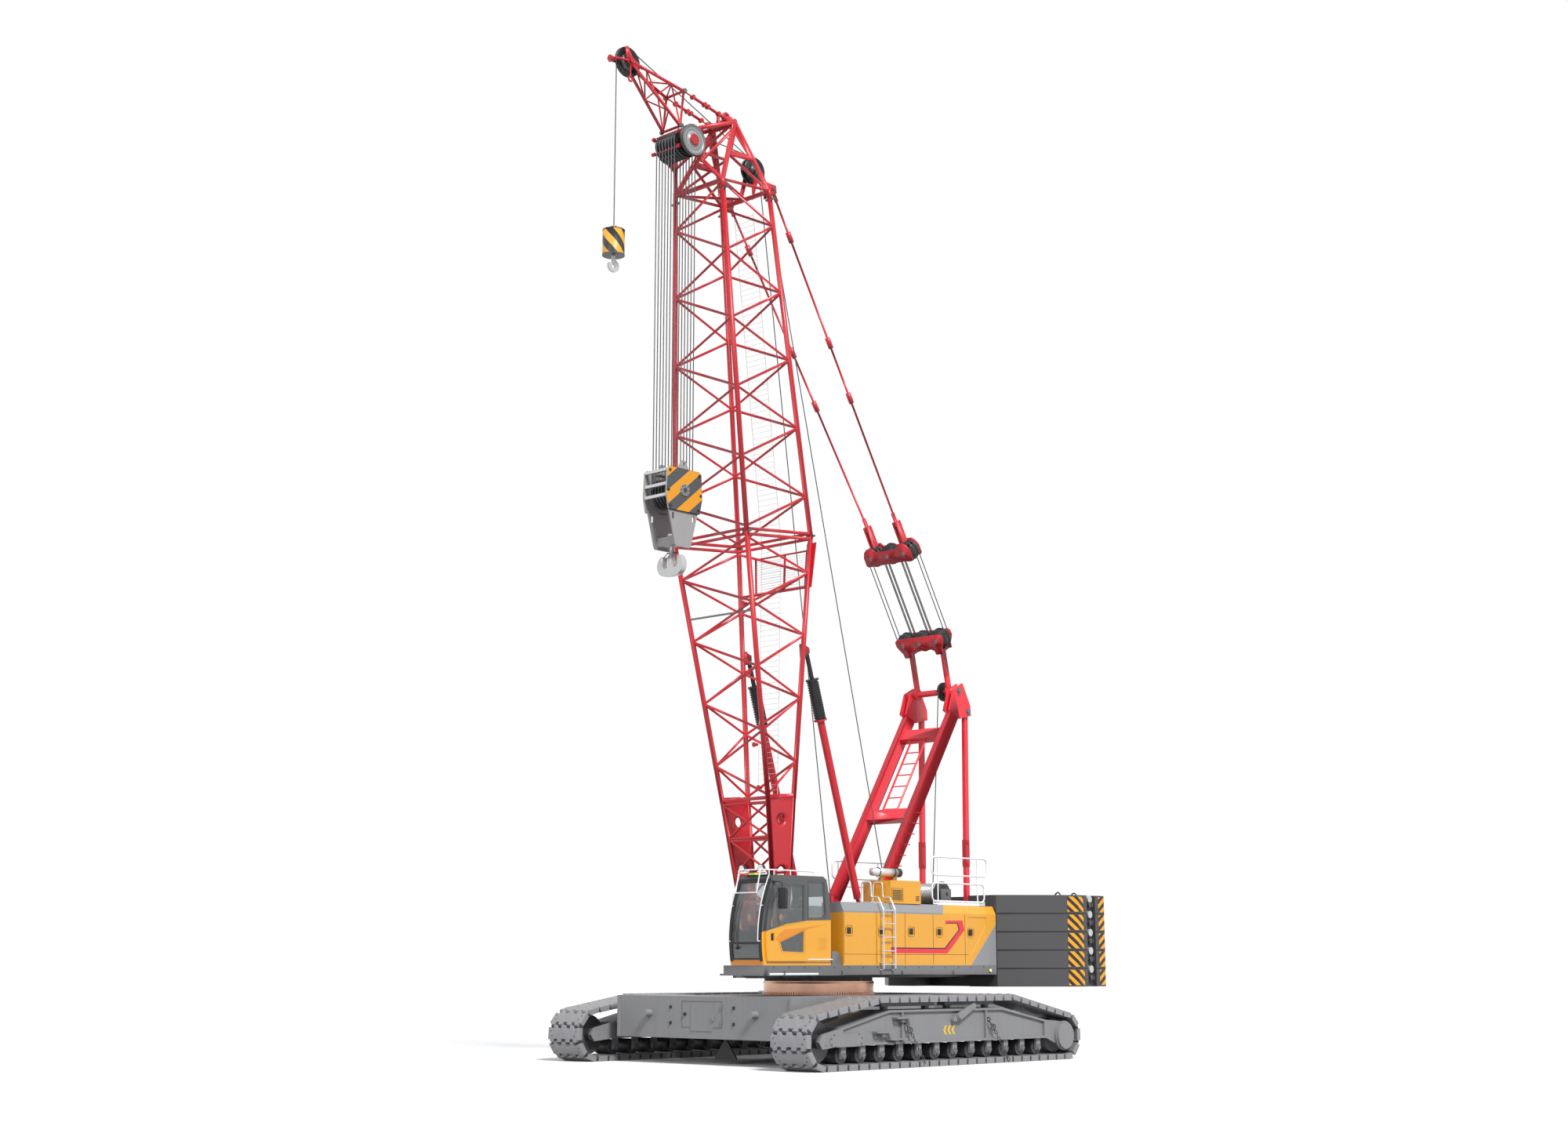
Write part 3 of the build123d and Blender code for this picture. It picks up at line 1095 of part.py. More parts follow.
def guide_sheaves():
    """The two guide sheaves behind the head, between their hangers."""
    along, front = GUIDE_AXLE
    z = -front
    pieces = [rod((along, -215, z), (along, 215, z), 34)]
    for y in (-70.0, 70.0):
        pieces.append(Pos(along, 0, z) * grooved(GUIDE_R, 62, 24, y))
    for y in (-190.0, 190.0):
        pieces.append(prism([
            (TOP_SECTIONS[1][0] - 30, y - 12, TOP_SECTIONS[1][2] + CHORD_R + SEAT),
                (TOP_SECTIONS[1][0] + 130, y - 12, 800),
            (along + 50, y - 12, z - 50), (along + 40, y - 12, z + 60), (along - 60, y - 12, z + 50),
            (TOP_SECTIONS[1][0] - 130, y - 12, TOP_SECTIONS[1][2] + CHORD_R + SEAT),
        ], (0, 24, 0)))
    return to_boom(fuse(pieces))


def head_sheaves():
    """The row of sheaves on the head axle, with the large rope disc on the near side."""
    z = -SHEAVE_FRONT
    pieces = [rod((SHEAVE_ALONG, -545, z), (SHEAVE_ALONG, 545, z), AXLE_R)]
    first = -(HEAD_SHEAVES - 1) / 2 * SHEAVE_PITCH
    for i in range(HEAD_SHEAVES):
        y = first + i * SHEAVE_PITCH
        pieces.append(Pos(SHEAVE_ALONG, 0, z) * grooved(HEAD_SHEAVE_R, SHEAVE_WIDTH, GROOVE, y))
    pieces.append(Pos(SHEAVE_ALONG, 0, z) * grooved(HEAD_DISC_R, 80, GROOVE, 545))
    pieces.append(rod((SHEAVE_ALONG, 500, z), (SHEAVE_ALONG, 600, z), 110))
    return to_boom(fuse(pieces))


def tip_jib():
    """The short jib: a braced truss from two feet and two strut heads to the forks at its tip."""
    foot, strut, tip = [(a, -f) for a, f in (JIB_FOOT, JIB_STRUT, JIB_TIP)]
    chords = {}
    pieces = []
    for side in (-1, 1):
        y, tip_y = side * JIB_HALF_WIDTH, side * 100
        low = ((foot[0], y, foot[1]), (tip[0] - 60, tip_y, tip[1] + 60))
        high = ((strut[0], y, strut[1]), (tip[0] - 20, tip_y, tip[1] + 100))
        chords[side] = (low, high)
        pieces += [bar(*low, 36, 8), bar(*high, 36, 8), bar(low[0], high[0], 28, 6)]
        pieces += zigzag(low, high, 4, 18)
        pieces.append(rod((strut[0], y - 26, strut[1]), (strut[0], y + 26, strut[1]), JIB_BOSS_R))
        pieces.append(prism([
            (tip[0] - 190, side * 100 - 18, tip[1] + 190), (tip[0] - 20, side * 100 - 18, tip[1] + 250),
            (tip[0] + 90, side * 100 - 18, tip[1] + 60), (tip[0] + 330, side * 100 - 18, tip[1] - 60),
            (tip[0] + 300, side * 100 - 18, tip[1] - 130), (tip[0] - 40, side * 100 - 18, tip[1] - 110),
        ], (0, 36, 0)))
    for level in (0, 1):
        near, far = chords[-1][level], chords[1][level]
        pieces += zigzag(near, far, 4, 18)
        reach = Vector(0, 40 if level == 0 else 0, 0)
        pieces.append(bar(Vector(*near[0]) - reach, Vector(*far[0]) + reach, 30, 6))
    whole = fuse(pieces)
    whole = whole - rod((tip[0], -73, tip[1]), (tip[0], 73, tip[1]), TIP_SHEAVE_R + 12)
    return to_boom(whole - rod((tip[0], -300, tip[1]), (tip[0], 300, tip[1]), 40 + RUNNING))


def jib_brackets():
    """Feet and stays that hold the short jib on the boom head."""
    stays = []
    for side in (-1, 1):
        y = side * JIB_HALF_WIDTH
        foot = Vector(STAY_FOOT[0], y, -STAY_FOOT[1])
        boss = Vector(JIB_STRUT[0], y, -JIB_STRUT[1])
        top = boss - (boss - foot).normalized() * (JIB_BOSS_R + SEAT)
        stays.append(fuse([
            rod((foot.X, y - STAY_THICK / 2, foot.Z), (foot.X, y + STAY_THICK / 2, foot.Z), 45),
            bar(foot, top, STAY_THICK / 2 - 1, 6),
        ]))
    return stays


def tip_sheave():
    z = -JIB_TIP[1]
    return to_boom(fuse([
        Pos(JIB_TIP[0], 0, z) * grooved(TIP_SHEAVE_R, 80, GROOVE, 0),
        rod((JIB_TIP[0], -150, z), (JIB_TIP[0], 150, z), 40),
    ]))


# ---------------------------------------------------------------- backstops
STOP_TOP = boom_xz(STOP_ALONG, STOP_FRONT)
STOP_LENGTH = hypot(STOP_TOP[0] - STOP_FOOT[0], STOP_TOP[1] - STOP_FOOT[1])
STOP_DIR = ((STOP_TOP[0] - STOP_FOOT[0]) / STOP_LENGTH, (STOP_TOP[1] - STOP_FOOT[1]) / STOP_LENGTH)


def on_stop(distance, y):
    return STOP_FOOT[0] + STOP_DIR[0] * distance, y, STOP_FOOT[1] + STOP_DIR[1] * distance


def stop_tube(side):
    y = side * STOP_Y
    eye = disc_y(STOP_FOOT[0], STOP_FOOT[1], 80, y - STOP_EYE / 2, y + STOP_EYE / 2)
    neck = rod(on_stop(0, y), on_stop(220, y), STOP_EYE / 2 - 4)
    tube = rod(on_stop(190, y), on_stop(STOP_TUBE_LENGTH, y), STOP_TUBE_R)
    collar = rod(on_stop(STOP_TUBE_LENGTH - 40, y), on_stop(STOP_TUBE_LENGTH, y), 150)
    whole = fuse([eye, neck, tube, collar])
    whole = whole - rod(on_stop(300, y), on_stop(STOP_TUBE_LENGTH + 10, y), STOP_ROD_R + SEAT)
    return whole - disc_y(STOP_FOOT[0], STOP_FOOT[1], STOP_PIN_R + RUNNING, y - 60, y + 60)


def stop_neck(y):
    """The flat end of a rod, narrow enough to turn between its two lugs."""
    (x0, _, z0), (x1, _, z1) = on_stop(STOP_LENGTH - 190, y), on_stop(STOP_LENGTH, y)
    return flat_bar((x0, z0), (x1, z1), 90, y - 24, y + 24)


def stop_rod(side):
    y = side * STOP_Y
    collar_at = STOP_TUBE_LENGTH + 880
    return fuse([
        rod(on_stop(STOP_TUBE_LENGTH - 2500, y), on_stop(STOP_LENGTH - 160, y), STOP_ROD_R),
        stop_neck(y),
        rod(on_stop(STOP_TUBE_LENGTH + SEAT, y), on_stop(collar_at + 5, y), 115),
        rod(on_stop(collar_at, y), on_stop(collar_at + 40, y), 150),
        disc_y(STOP_TOP[0], STOP_TOP[1], 55, y - 24, y + 24),
    ])


# ---------------------------------------------------------------- gantry, spreader, bridle and pendants
def gantry():
    """The A-frame: two box legs, two cross beams and the head plates with their axle."""
    parts = [flat_bar(LEG_FOOT, LEG_HEAD, LEG_DEPTH, LEG_Y - LEG_WIDTH / 2, LEG_Y + LEG_WIDTH / 2)]
    parts.append(box(LEG_FOOT[0] - 130, LEG_FOOT[0] + 130, LEG_Y - 60, LEG_Y + 60, PLATE_TOP_Z + 180,
        LEG_FOOT[1] + 60))
    head = [
        (LEG_HEAD[0] + 330, LEG_HEAD[1] - 60), (GANTRY_AXLE[0] + 190, GANTRY_AXLE[1] + 20),
        (GANTRY_AXLE[0] - 150, GANTRY_AXLE[1] + 190), (BACKSTAY_TOP[0] - 90, BACKSTAY_TOP[1] + 130),
        (BACKSTAY_TOP[0] - 110, BACKSTAY_TOP[1] - 110), (LEG_HEAD[0] - 60, LEG_HEAD[1] - 240),
    ]
    parts.append(plate_y(head, LEG_Y - 110, LEG_Y - 60))
    parts.append(plate_y(head, LEG_Y + 60, LEG_Y + 110))
    pieces = []
    for shape in parts:
        pieces += both(shape)
    for t in (0.42, 0.86):
        x = LEG_FOOT[0] + (LEG_HEAD[0] - LEG_FOOT[0]) * t
        z = LEG_FOOT[1] + (LEG_HEAD[1] - LEG_FOOT[1]) * t
        dx, dz = (LEG_HEAD[0] - LEG_FOOT[0]) * 0.026, (LEG_HEAD[1] - LEG_FOOT[1]) * 0.026
        pieces.append(flat_bar((x - dx, z - dz), (x + dx, z + dz), 200, -LEG_Y, LEG_Y))
    pieces.append(disc_y(GANTRY_AXLE[0], GANTRY_AXLE[1], 75, -LEG_Y - 110, LEG_Y + 110))
    pieces.append(Pos(GANTRY_AXLE[0], 0, GANTRY_AXLE[1]) * grooved(GANTRY_SHEAVE_R, 60, 22, 330))
    return fuse(pieces + gantry_ladder())


def on_leg(t, y):
    """A point on the legs' centre line, from the foot at 0 to the head at 1."""
    return LEG_FOOT[0] + (LEG_HEAD[0] - LEG_FOOT[0]) * t, y, LEG_FOOT[1] + (LEG_HEAD[1] - LEG_FOOT[1]) * t


def gantry_ladder():
    """The ladder between the two cross beams."""
    sides = (-300.0, 150.0)
    pieces = [bar(on_leg(0.43, y), on_leg(0.85, y), 26, 6) for y in sides]
    for k in range(GANTRY_RUNGS):
        t = 0.46 + (0.83 - 0.46) * k / (GANTRY_RUNGS - 1)
        pieces.append(bar(on_leg(t, sides[0]), on_leg(t, sides[1]), 15, 6))
    return pieces


def backstays():
    """The two rear stays, pinned between the gantry's head plates and the tail of the frame."""
    shapes = []
    for side in (-1, 1):
        y = side * BACKSTAY_Y
        pieces = [
            flat_bar(BACKSTAY_TOP, BACKSTAY_FOOT, 130, y - 45, y + 45),
            box(BACKSTAY_FOOT[0] - 110, BACKSTAY_FOOT[0] + 110, y - 59, y + 59, DECK_Z,
                BACKSTAY_FOOT[1] + 60),
        ]
        pieces.append(disc_y(BACKSTAY_TOP[0], BACKSTAY_TOP[1], 60, y - 59, y + 59))
        shapes.append(fuse(pieces))
    return shapes


ROPE_LENGTH = hypot(BRIDLE[0] - SPREADER[0], BRIDLE[1] - SPREADER[1])
ROPE_DIR = ((BRIDLE[0] - SPREADER[0]) / ROPE_LENGTH, (BRIDLE[1] - SPREADER[1]) / ROPE_LENGTH)


def rope_frame(centre):
    """Axes of a rope block: X along the ropes towards the boom, Y across the machine."""
    return Location(Plane(origin=(centre[0], 0, centre[1]), x_dir=(ROPE_DIR[0], 0, ROPE_DIR[1]),
                          z_dir=(-ROPE_DIR[1], 0, ROPE_DIR[0])))


def rope_block(centre, outline):
    """Two cheek plates, three axles and their sheaves; the sheaves turn across the machine."""
    half = BLOCK_THICK / 2
    pieces = []
    for z in (-half, half - 40):
        pieces.append(plate_z(outline, z, z + 40))
    for y in (-BLOCK_AXLE_PITCH, 0.0, BLOCK_AXLE_PITCH):
        pieces.append(rod((0, y, -half - 14), (0, y, half + 14), 42))
        for z in (-100.0, 30.0):
            pieces.append(rod((0, y, z), (0, y, z + 70), 240))
    return [rope_frame(centre) * p for p in pieces]


def spreader():
    """The upper rope block, held on the gantry axle by two links."""
    half = [(170, 0), (170, 660), (120, 725), (0, 730), (-110, 670), (-200, 610), (-330, 590), (-330, 390),
            (-230, 375), (-180, 290), (-180, 0)]
    outline = half + [(u, -v) for u, v in reversed(half[1:-1])]
    pieces = rope_block(SPREADER, outline)
    for side in (-1, 1):
        y = side * LINK_Y
        pieces.append(flat_bar(GANTRY_AXLE, (SPREADER[0] - 90, SPREADER[1] - 180), 150, y - 30, y + 30))
        pieces.append(disc_y(GANTRY_AXLE[0], GANTRY_AXLE[1], 130, y - 30, y + 30))
        pieces.append(rope_frame(SPREADER) * box(-330, -230, y - 40, y + 40, -BLOCK_THICK / 2 + 5,
            BLOCK_THICK / 2 - 5))
    whole = fuse(pieces)
    return whole - disc_y(GANTRY_AXLE[0], GANTRY_AXLE[1], 75 + RUNNING, -LEG_Y, LEG_Y)


def bridle():
    """The floating rope block with the two lugs that the pendants are pinned to."""
    half = [(150, 0), (150, 300), (210, 370), (260, 400), (260, 560), (190, 660), (60, 725), (-150, 725),
            (-190, 680), (-190, 0)]
    outline = half + [(u, -v) for u, v in reversed(half[1:-1])]
    pieces = rope_block(BRIDLE, outline)
    reach = hypot(BRIDLE_PIN[0] - BRIDLE[0], BRIDLE_PIN[1] - BRIDLE[1])
    for side in (-1, 1):
        y = side * BRIDLE_PIN_Y
        for dy in (-PENDANT_EYE / 2 - SEAT - 40, PENDANT_EYE / 2 + SEAT):
            pieces.append(rope_frame(BRIDLE) * box(60, reach + 80, y + dy, y + dy + 40, -90, 90))
        pieces.append(rope_frame(BRIDLE) * box(60, 200, y - 80, y + 80, -BLOCK_THICK / 2 + 5,
            BLOCK_THICK / 2 - 5))
    return fuse(pieces)


def pendants():
    """The two pendants, each a row of rods with forked ends, from the bridle to the back of the boom head."""
    shapes = []
    for side in (-1, 1):
        a = Vector(BRIDLE_PIN[0], side * BRIDLE_PIN_Y, BRIDLE_PIN[1])
        b = Vector(PENDANT_TOP[0], side * PENDANT_Y, PENDANT_TOP[1])
        step = (b - a).normalized()
        pieces = [rod(a + step * 230, b - step * 230, PENDANT_R)]
        for t in PENDANT_JOINTS:
            c = a + (b - a) * t
            pieces.append(bar(c - step * 110, c + step * 150, 62, 6))
        for pin, way, eye_r in ((a, step, 85), (b, step * -1, 75)):
            end = pin + way * 300
            half = PENDANT_EYE / 2
            pieces.append(disc_y(pin.X, pin.Z, eye_r, pin.Y - half, pin.Y + half))
            pieces.append(flat_bar((pin.X, pin.Z), (end.X, end.Z), 90, pin.Y - half + 3, pin.Y + half - 3))
        shapes.append(fuse(pieces))
    return shapes


# ---------------------------------------------------------------- falls, hook block and single-line hook
BLOCK_AXLE_Z = BLOCK_TOP_Z - BLOCK_HEIGHT / 2
FALL_YS = [-(BLOCK_SHEAVES - 1) / 2 * SHEAVE_PITCH + i * SHEAVE_PITCH for i in range(BLOCK_SHEAVES)]


def main_falls():
    """The rope parts between the head sheaves and the block, in front of and behind the axle."""
    shapes = []
    for y in FALL_YS:
        for dx in (-HEAD_SHEAVE_R + GROOVE - ROPE_R - SEAT, HEAD_SHEAVE_R - GROOVE + ROPE_R + SEAT):
            x = HEAD_AXLE[0] + dx
            shapes.append(rod((x, y, BLOCK_AXLE_Z), (x, y, HEAD_AXLE[1]), ROPE_R))
    return shapes


def hook_block():
    """The main block: two cheeks with lugs on top, tie bars, grooved sheaves and the tapered lower frame."""
    x, top, half_length = HEAD_AXLE[0], BLOCK_TOP_Z, BLOCK_LENGTH / 2
    low = top - BLOCK_HEIGHT
    half = ((BLOCK_SHEAVES - 1) * SHEAVE_PITCH + SHEAVE_WIDTH) / 2 + 10
    cheek = [
        (x - half_length + 30, top - 60), (x - half_length + 90, top), (x + half_length - 90, top),
        (x + half_length - 30, top - 60), (x + half_length, low + 330), (x + half_length - 70, low),
        (x - half_length + 70, low), (x - half_length, low + 330),
    ]
    lower = [(x - half_length + 90, low + 40), (x + half_length - 90, low + 40), (x + 235, BLOCK_LOW_Z + 50),
             (x + 200, BLOCK_LOW_Z), (x - 200, BLOCK_LOW_Z), (x - 235, BLOCK_LOW_Z + 50)]
    lug = [(x - 190, top - 60), (x + 190, top - 60), (x + 60, top + 200), (x - 60, top + 200)]
    pieces = []
    for side in (-1, 1):
        def skin(outline, near, far):
            return plate_y(outline, *sorted((side * near, side * far)))
        slots = [box(x + dx - 35, x + dx + 35, -600, 600, low - 200, low - 60) for dx in (-300, 300)]
        pieces.append(skin(cheek, half, half + BLOCK_CHEEK))
        pieces.append(skin(lower, half - 30, half + 4) - slots)
        pieces.append(skin(lug, half - 26, half + 4) - disc_y(x, top + 120, 38, -600, 600))
    for z in (top - 70, top - 380, top - 620):
        for dx in (-half_length + 75, half_length - 75):
            pieces.append(box(x + dx - 22, x + dx + 22, -half - 5, half + 5, z - 30, z + 30))
    for y in FALL_YS:
        pieces.append(Pos(x, 0, BLOCK_AXLE_Z) * grooved(BLOCK_SHEAVE_R, SHEAVE_WIDTH, GROOVE, y))
    pieces.append(disc_y(x, BLOCK_AXLE_Z, AXLE_R, -half - BLOCK_CHEEK - 25, half + BLOCK_CHEEK + 25))
    pieces.append(disc_y(x, BLOCK_AXLE_Z, 130, half + BLOCK_CHEEK - 5, half + BLOCK_CHEEK + 20))
    pieces.append(box(x - 150, x + 150, -half, half, BLOCK_LOW_Z + 60, BLOCK_LOW_Z + 250))
    whole = fuse(pieces)
    return whole - rod((x, 0, BLOCK_LOW_Z - 10), (x, 0, BLOCK_LOW_Z + 400), 60 + RUNNING)


def ramshorn():
    """Half of the double hook's outline in Y and Z: shank, throat, horn and the bow below."""
    low = HOOK_BOTTOM_Z
    throat_y = 60 + THROAT
    inner = [
        Line((60, low + 420), (60, low + 260)),
        ThreePointArc((60, low + 260), (throat_y, low + 260 - THROAT), (throat_y + THROAT, low + 260)),
        Line((throat_y + THROAT, low + 260), (215, low + 430)),
    ]
    outer = [
        Line((215, low + 430), (255, low + 450)),
        ThreePointArc((255, low + 450), (385, low + 180), (205, low + 12)),
        Line((205, low + 12), (0, low)),
        Line((0, low), (0, low + 420)),
        Line((0, low + 420), (60, low + 420)),
    ]
    return make_face([e.edge() for e in inner + outer])


def main_hook():
    """The double hook, with its shank in the block's crosshead."""
    x = HEAD_AXLE[0]
    shank = rod((x, 0, HOOK_BOTTOM_Z + 350), (x, 0, BLOCK_LOW_Z + 330), 60)
    nut = rod((x, 0, BLOCK_LOW_Z + 250 + SEAT), (x, 0, BLOCK_LOW_Z + 330), 110)
    bow = Pos(x - HOOK_THICK / 2, 0, 0) * extrude(Plane.YZ * ramshorn(), amount=HOOK_THICK)
    return fuse([shank, nut, bow, mirrored(bow)])


def aux_line():
    return rod((AUX_X, 0, AUX_TOP_Z - 5), (AUX_X, 0, TIP_AXLE[1]), ROPE_R)


def aux_barrel():
    """The striped ball weight of the single-line hook."""
    x, top = AUX_X, AUX_TOP_Z
    body = rod((x, 0, top - AUX_BARREL_HEIGHT + 60), (x, 0, top - 90), AUX_BARREL_R)
    body = body + rod((x, 0, top - 95), (x, 0, top - 5 - SEAT), 70)
    return body - rod((x, 0, top - AUX_BARREL_HEIGHT), (x, 0, top - AUX_BARREL_HEIGHT + 200), 40 + RUNNING)


def aux_hook():
    """The single hook: a shank, a round throat and a point, drawn in X and Z."""
    x, low = AUX_X, AUX_HOOK_BOTTOM_Z
    shank = rod((x, 0, low + 250), (x, 0, AUX_TOP_Z - AUX_BARREL_HEIGHT + 200 - SEAT), 40)
    tip = Polyline((x + 150, low + 150), (x + 128, low + 190), (x + 62, low + 140))
    inside = ThreePointArc((x + 62, low + 140), (x - 10, low + 72), (x - 55, low + 130))
    back = Polyline((x - 55, low + 130), (x + 32, low + 215), (x + 32, low + 270), (x - 32, low + 270))
    outside = ThreePointArc((x - 32, low + 270), (x - 120, low + 60), (x + 30, low))
    belly = ThreePointArc((x + 30, low), (x + 120, low + 50), (x + 150, low + 150))
    face = make_face([outside.edge(),
        belly.edge()] + list(tip.edges()) + [inside.edge()] + list(back.edges()))
    bow = Pos(0, 32, 0) * Rot(90, 0, 0) * extrude(face, amount=64)
    return fuse([shank, bow])


# ---------------------------------------------------------------- places that the record states
def ground_spot():
    """A point (X, Z) in the middle of a shoe's face on the lower run."""
    middles = [(i + 0.5) * SHOE_PITCH for i in range(SHOE_COUNT)]
    lowest = min(middles, key=lambda place: abs(belt_point(place)[0]) + belt_point(place)[1])
    return belt_point(lowest, SHOE_TOP)


def openings():
    """The hollows that are used: (name, what goes in, (x0, x1, y0, y1, z0, z1)) in crane axes."""
    gap = 15.0
    hook_x, hook_z = HEAD_AXLE[0], HOOK_BOTTOM_Z + 260
    spaces = [
        ("cab_room", "the driver", (2620, 2940, CAB_INNER_Y + CAB_WALL + 180, CAB_OUTER_Y - CAB_WALL - gap,
                                    DECK_Z + CAB_FLOOR + gap, CAB_TOP_Z - CAB_WALL - gap)),
    ]
    for side, name in ((1, "left"), (-1, "right")):
        ys = sorted((side * 85, side * (60 + 2 * THROAT - 25)))
        room = (hook_x - 60, hook_x + 60, ys[0], ys[1], hook_z - 45, hook_z + 40)
        spaces.append((f"main_hook_throat_{name}", "a sling", room))
    return spaces


# ---------------------------------------------------------------- write every node
if __name__ == "__main__":
    node("car_body", car_body())
    node("ballast_front", ballast(1))
    node("ballast_rear", ballast(-1))
    node("slew_ring", slew_ring())
    for tag, side in (("left", 1), ("right", -1)):
        node(f"track_{tag}", track(side))
        node(f"side_frame_{tag}", side_frame(side))
        node(f"rollers_{tag}", *rollers(side))
        node(f"idler_{tag}", idler(side))
        node(f"final_drive_{tag}", *final_drive(side))
    node("revolving_frame", revolving_frame())
    for name, x, z, flange, barrel, half in WINCHES:
        node(name, winch(x, z, flange, barrel, half))
    node("house_left", house(1, HOUSE_L_FRONT_X))
    node("house_right", house(-1, HOUSE_R_FRONT_X))
    node("engine", engine())
    node("roof_box", roof_box())
    node("exhaust", exhaust())
    for layer in range(CW_SLABS):
        node(f"counterweight_{layer + 1}", counterweight(layer))
    shell, panes = cab()
    node("cab_shell", shell)
    node("cab_glass", *panes)
    door, door_panes = cab_door()
    node("cab_door", door)
    node("cab_door_glass", *door_panes)
    node("cab_fittings", *cab_fittings())
    node("cab_seat", cab_seat())
    node("cab_rails", cab_rails())
    node("mirror", mirror())
    node("ladder", ladder())
    node("handrails", *handrails())
    node("gantry", gantry())
    node("backstays", *backstays())
    node("spreader", spreader())
    node("bridle", bridle())
    node("pendants", *pendants())
    node("boom_base", boom_base())
    section, head = boom_top()
    node("boom_top", section)
    node("boom_head", head)
    node("head_sheaves", head_sheaves())
    node("guide_sheaves", guide_sheaves())
    node("tip_jib", tip_jib())
    node("tip_jib_stays", *[to_boom(s) for s in jib_brackets()])
    node("tip_sheave", tip_sheave())
    node("backstop_tubes", stop_tube(-1), stop_tube(1))
    node("backstop_rods", stop_rod(-1), stop_rod(1))
    node("main_falls", *main_falls())
    node("hook_block", hook_block())
    node("main_hook", main_hook())
    node("aux_line", aux_line())
    node("aux_weight", aux_barrel())
    node("aux_hook", aux_hook())
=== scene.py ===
# %% [markdown]
# A crawler crane with a lattice boom, dressed in paint, rope and small parts.
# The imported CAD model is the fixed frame: every piece here is placed from it, in metres, and rides
# on one of its bodies. The cells go from the camera and the finishes to the parts, bottom to top.

# %% Load the frame
import json
from math import atan2, cos, hypot, pi, radians, sin

import bmesh
import bpy
from mathutils import Matrix, Vector


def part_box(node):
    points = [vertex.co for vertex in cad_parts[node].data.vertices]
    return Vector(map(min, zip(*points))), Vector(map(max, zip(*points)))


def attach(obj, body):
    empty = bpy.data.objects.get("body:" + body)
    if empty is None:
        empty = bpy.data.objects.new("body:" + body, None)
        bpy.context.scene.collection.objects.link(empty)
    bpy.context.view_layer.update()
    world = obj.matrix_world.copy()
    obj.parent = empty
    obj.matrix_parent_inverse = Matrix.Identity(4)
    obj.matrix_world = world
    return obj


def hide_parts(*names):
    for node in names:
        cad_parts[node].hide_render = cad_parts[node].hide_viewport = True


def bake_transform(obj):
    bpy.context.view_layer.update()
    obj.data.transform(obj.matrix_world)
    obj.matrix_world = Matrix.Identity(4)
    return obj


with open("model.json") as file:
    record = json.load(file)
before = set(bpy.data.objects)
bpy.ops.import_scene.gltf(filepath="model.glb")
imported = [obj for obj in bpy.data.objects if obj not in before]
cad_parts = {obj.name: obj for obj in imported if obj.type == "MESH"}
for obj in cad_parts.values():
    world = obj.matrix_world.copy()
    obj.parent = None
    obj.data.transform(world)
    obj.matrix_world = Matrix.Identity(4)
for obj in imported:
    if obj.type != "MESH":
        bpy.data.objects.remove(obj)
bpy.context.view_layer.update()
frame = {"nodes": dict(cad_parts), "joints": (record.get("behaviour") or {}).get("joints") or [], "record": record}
nodes = frame["nodes"]
print("nodes", len(nodes))

# %% [markdown]
# The crane has two natural origins: the slewing axis for everything on the machine, and the boom's
# foot pin for everything on the boom. Two small functions turn a place told from either of them
# into a point of the model, so that the numbers below read like the ones on a drawing.

# %% Places
joints = {joint["name"]: joint for joint in frame["joints"]}
SLEW_X = joints["slew"]["pos_m"][0]
FOOT = Vector(joints["boom_luff"]["pos_m"])
BOOM_ANGLE = radians(84.95)
ALONG = Vector((cos(BOOM_ANGLE), 0, sin(BOOM_ANGLE)))
FRONT = Vector((sin(BOOM_ANGLE), 0, -cos(BOOM_ANGLE)))
ACROSS = Vector((0, 1, 0))
LEFT_AND_RIGHT = ((1, "left"), (-1, "right"))


def at(x, y, z):
    """A point told from the slewing axis and the ground."""
    return Vector((x + SLEW_X, y, z))


def on_boom(along, front, y=0.0):
    """A point told from the foot pin: along the boom, in front of its middle, and to the left."""
    return FOOT + ALONG * along + FRONT * front + ACROSS * y


HEAD_AXLE, TIP_AXLE, GUIDE_AXLE = on_boom(18.000, 1.400), on_boom(19.650, 2.760), on_boom(17.900, -1.060)
SPREADER, BRIDLE, GANTRY_AXLE = at(-3.858, 0, 9.851), at(-2.684, 0, 11.851), at(-4.190, 0, 8.590)
HOIST_WAY = (BRIDLE - SPREADER).normalized()
HOIST_SIDE = ACROSS.cross(HOIST_WAY)
BLOCK_LOW, BLOCK_AXLE_Z, BLOCK_HIGH = 11.69, 12.155, 12.62
SLAB_LOW, SLABS = 1.569, 5
SLAB = (3.689 - SLAB_LOW) / SLABS
HOUSE_FRONT, HOUSE_SKIN, CAB_SKIN = 1.027, 1.675, 1.655

# %% [markdown]
# The camera stands low, in front of the crane and to its left, about 48 m from the slewing axis,
# and looks up a little. Its lens is a normal one, so that the tall boom keeps its upright look.

# %% Camera
def aimed(way, axis="Z", up="Y"):
    """The turn that points an object's axis along a way."""
    return Vector(way).to_track_quat(axis, up).to_matrix().to_4x4()


camera_data = bpy.data.cameras.new("camera")
camera_data.lens = 48.295
camera_data.sensor_width = 36.0
camera_data.clip_end = 1000.0
camera = bpy.data.objects.new("camera", camera_data)
bpy.context.scene.collection.objects.link(camera)
TURN, TILT = radians(43.405), radians(10.545)
sight = Vector((-cos(TURN) * cos(TILT), -sin(TURN) * cos(TILT), sin(TILT)))
camera.matrix_world = Matrix.Translation(at(35.395, 32.417, 2.100)) @ aimed(sight, "-Z")
bpy.context.scene.camera = camera

# %% [markdown]
# One function turns a colour chart's hex value into the linear numbers that a shader wants, and one
# adds a node: settings by name, inputs by name or number, and an input that is given a socket is
# linked to it. The short functions after them give names to the few nodes that every finish uses.

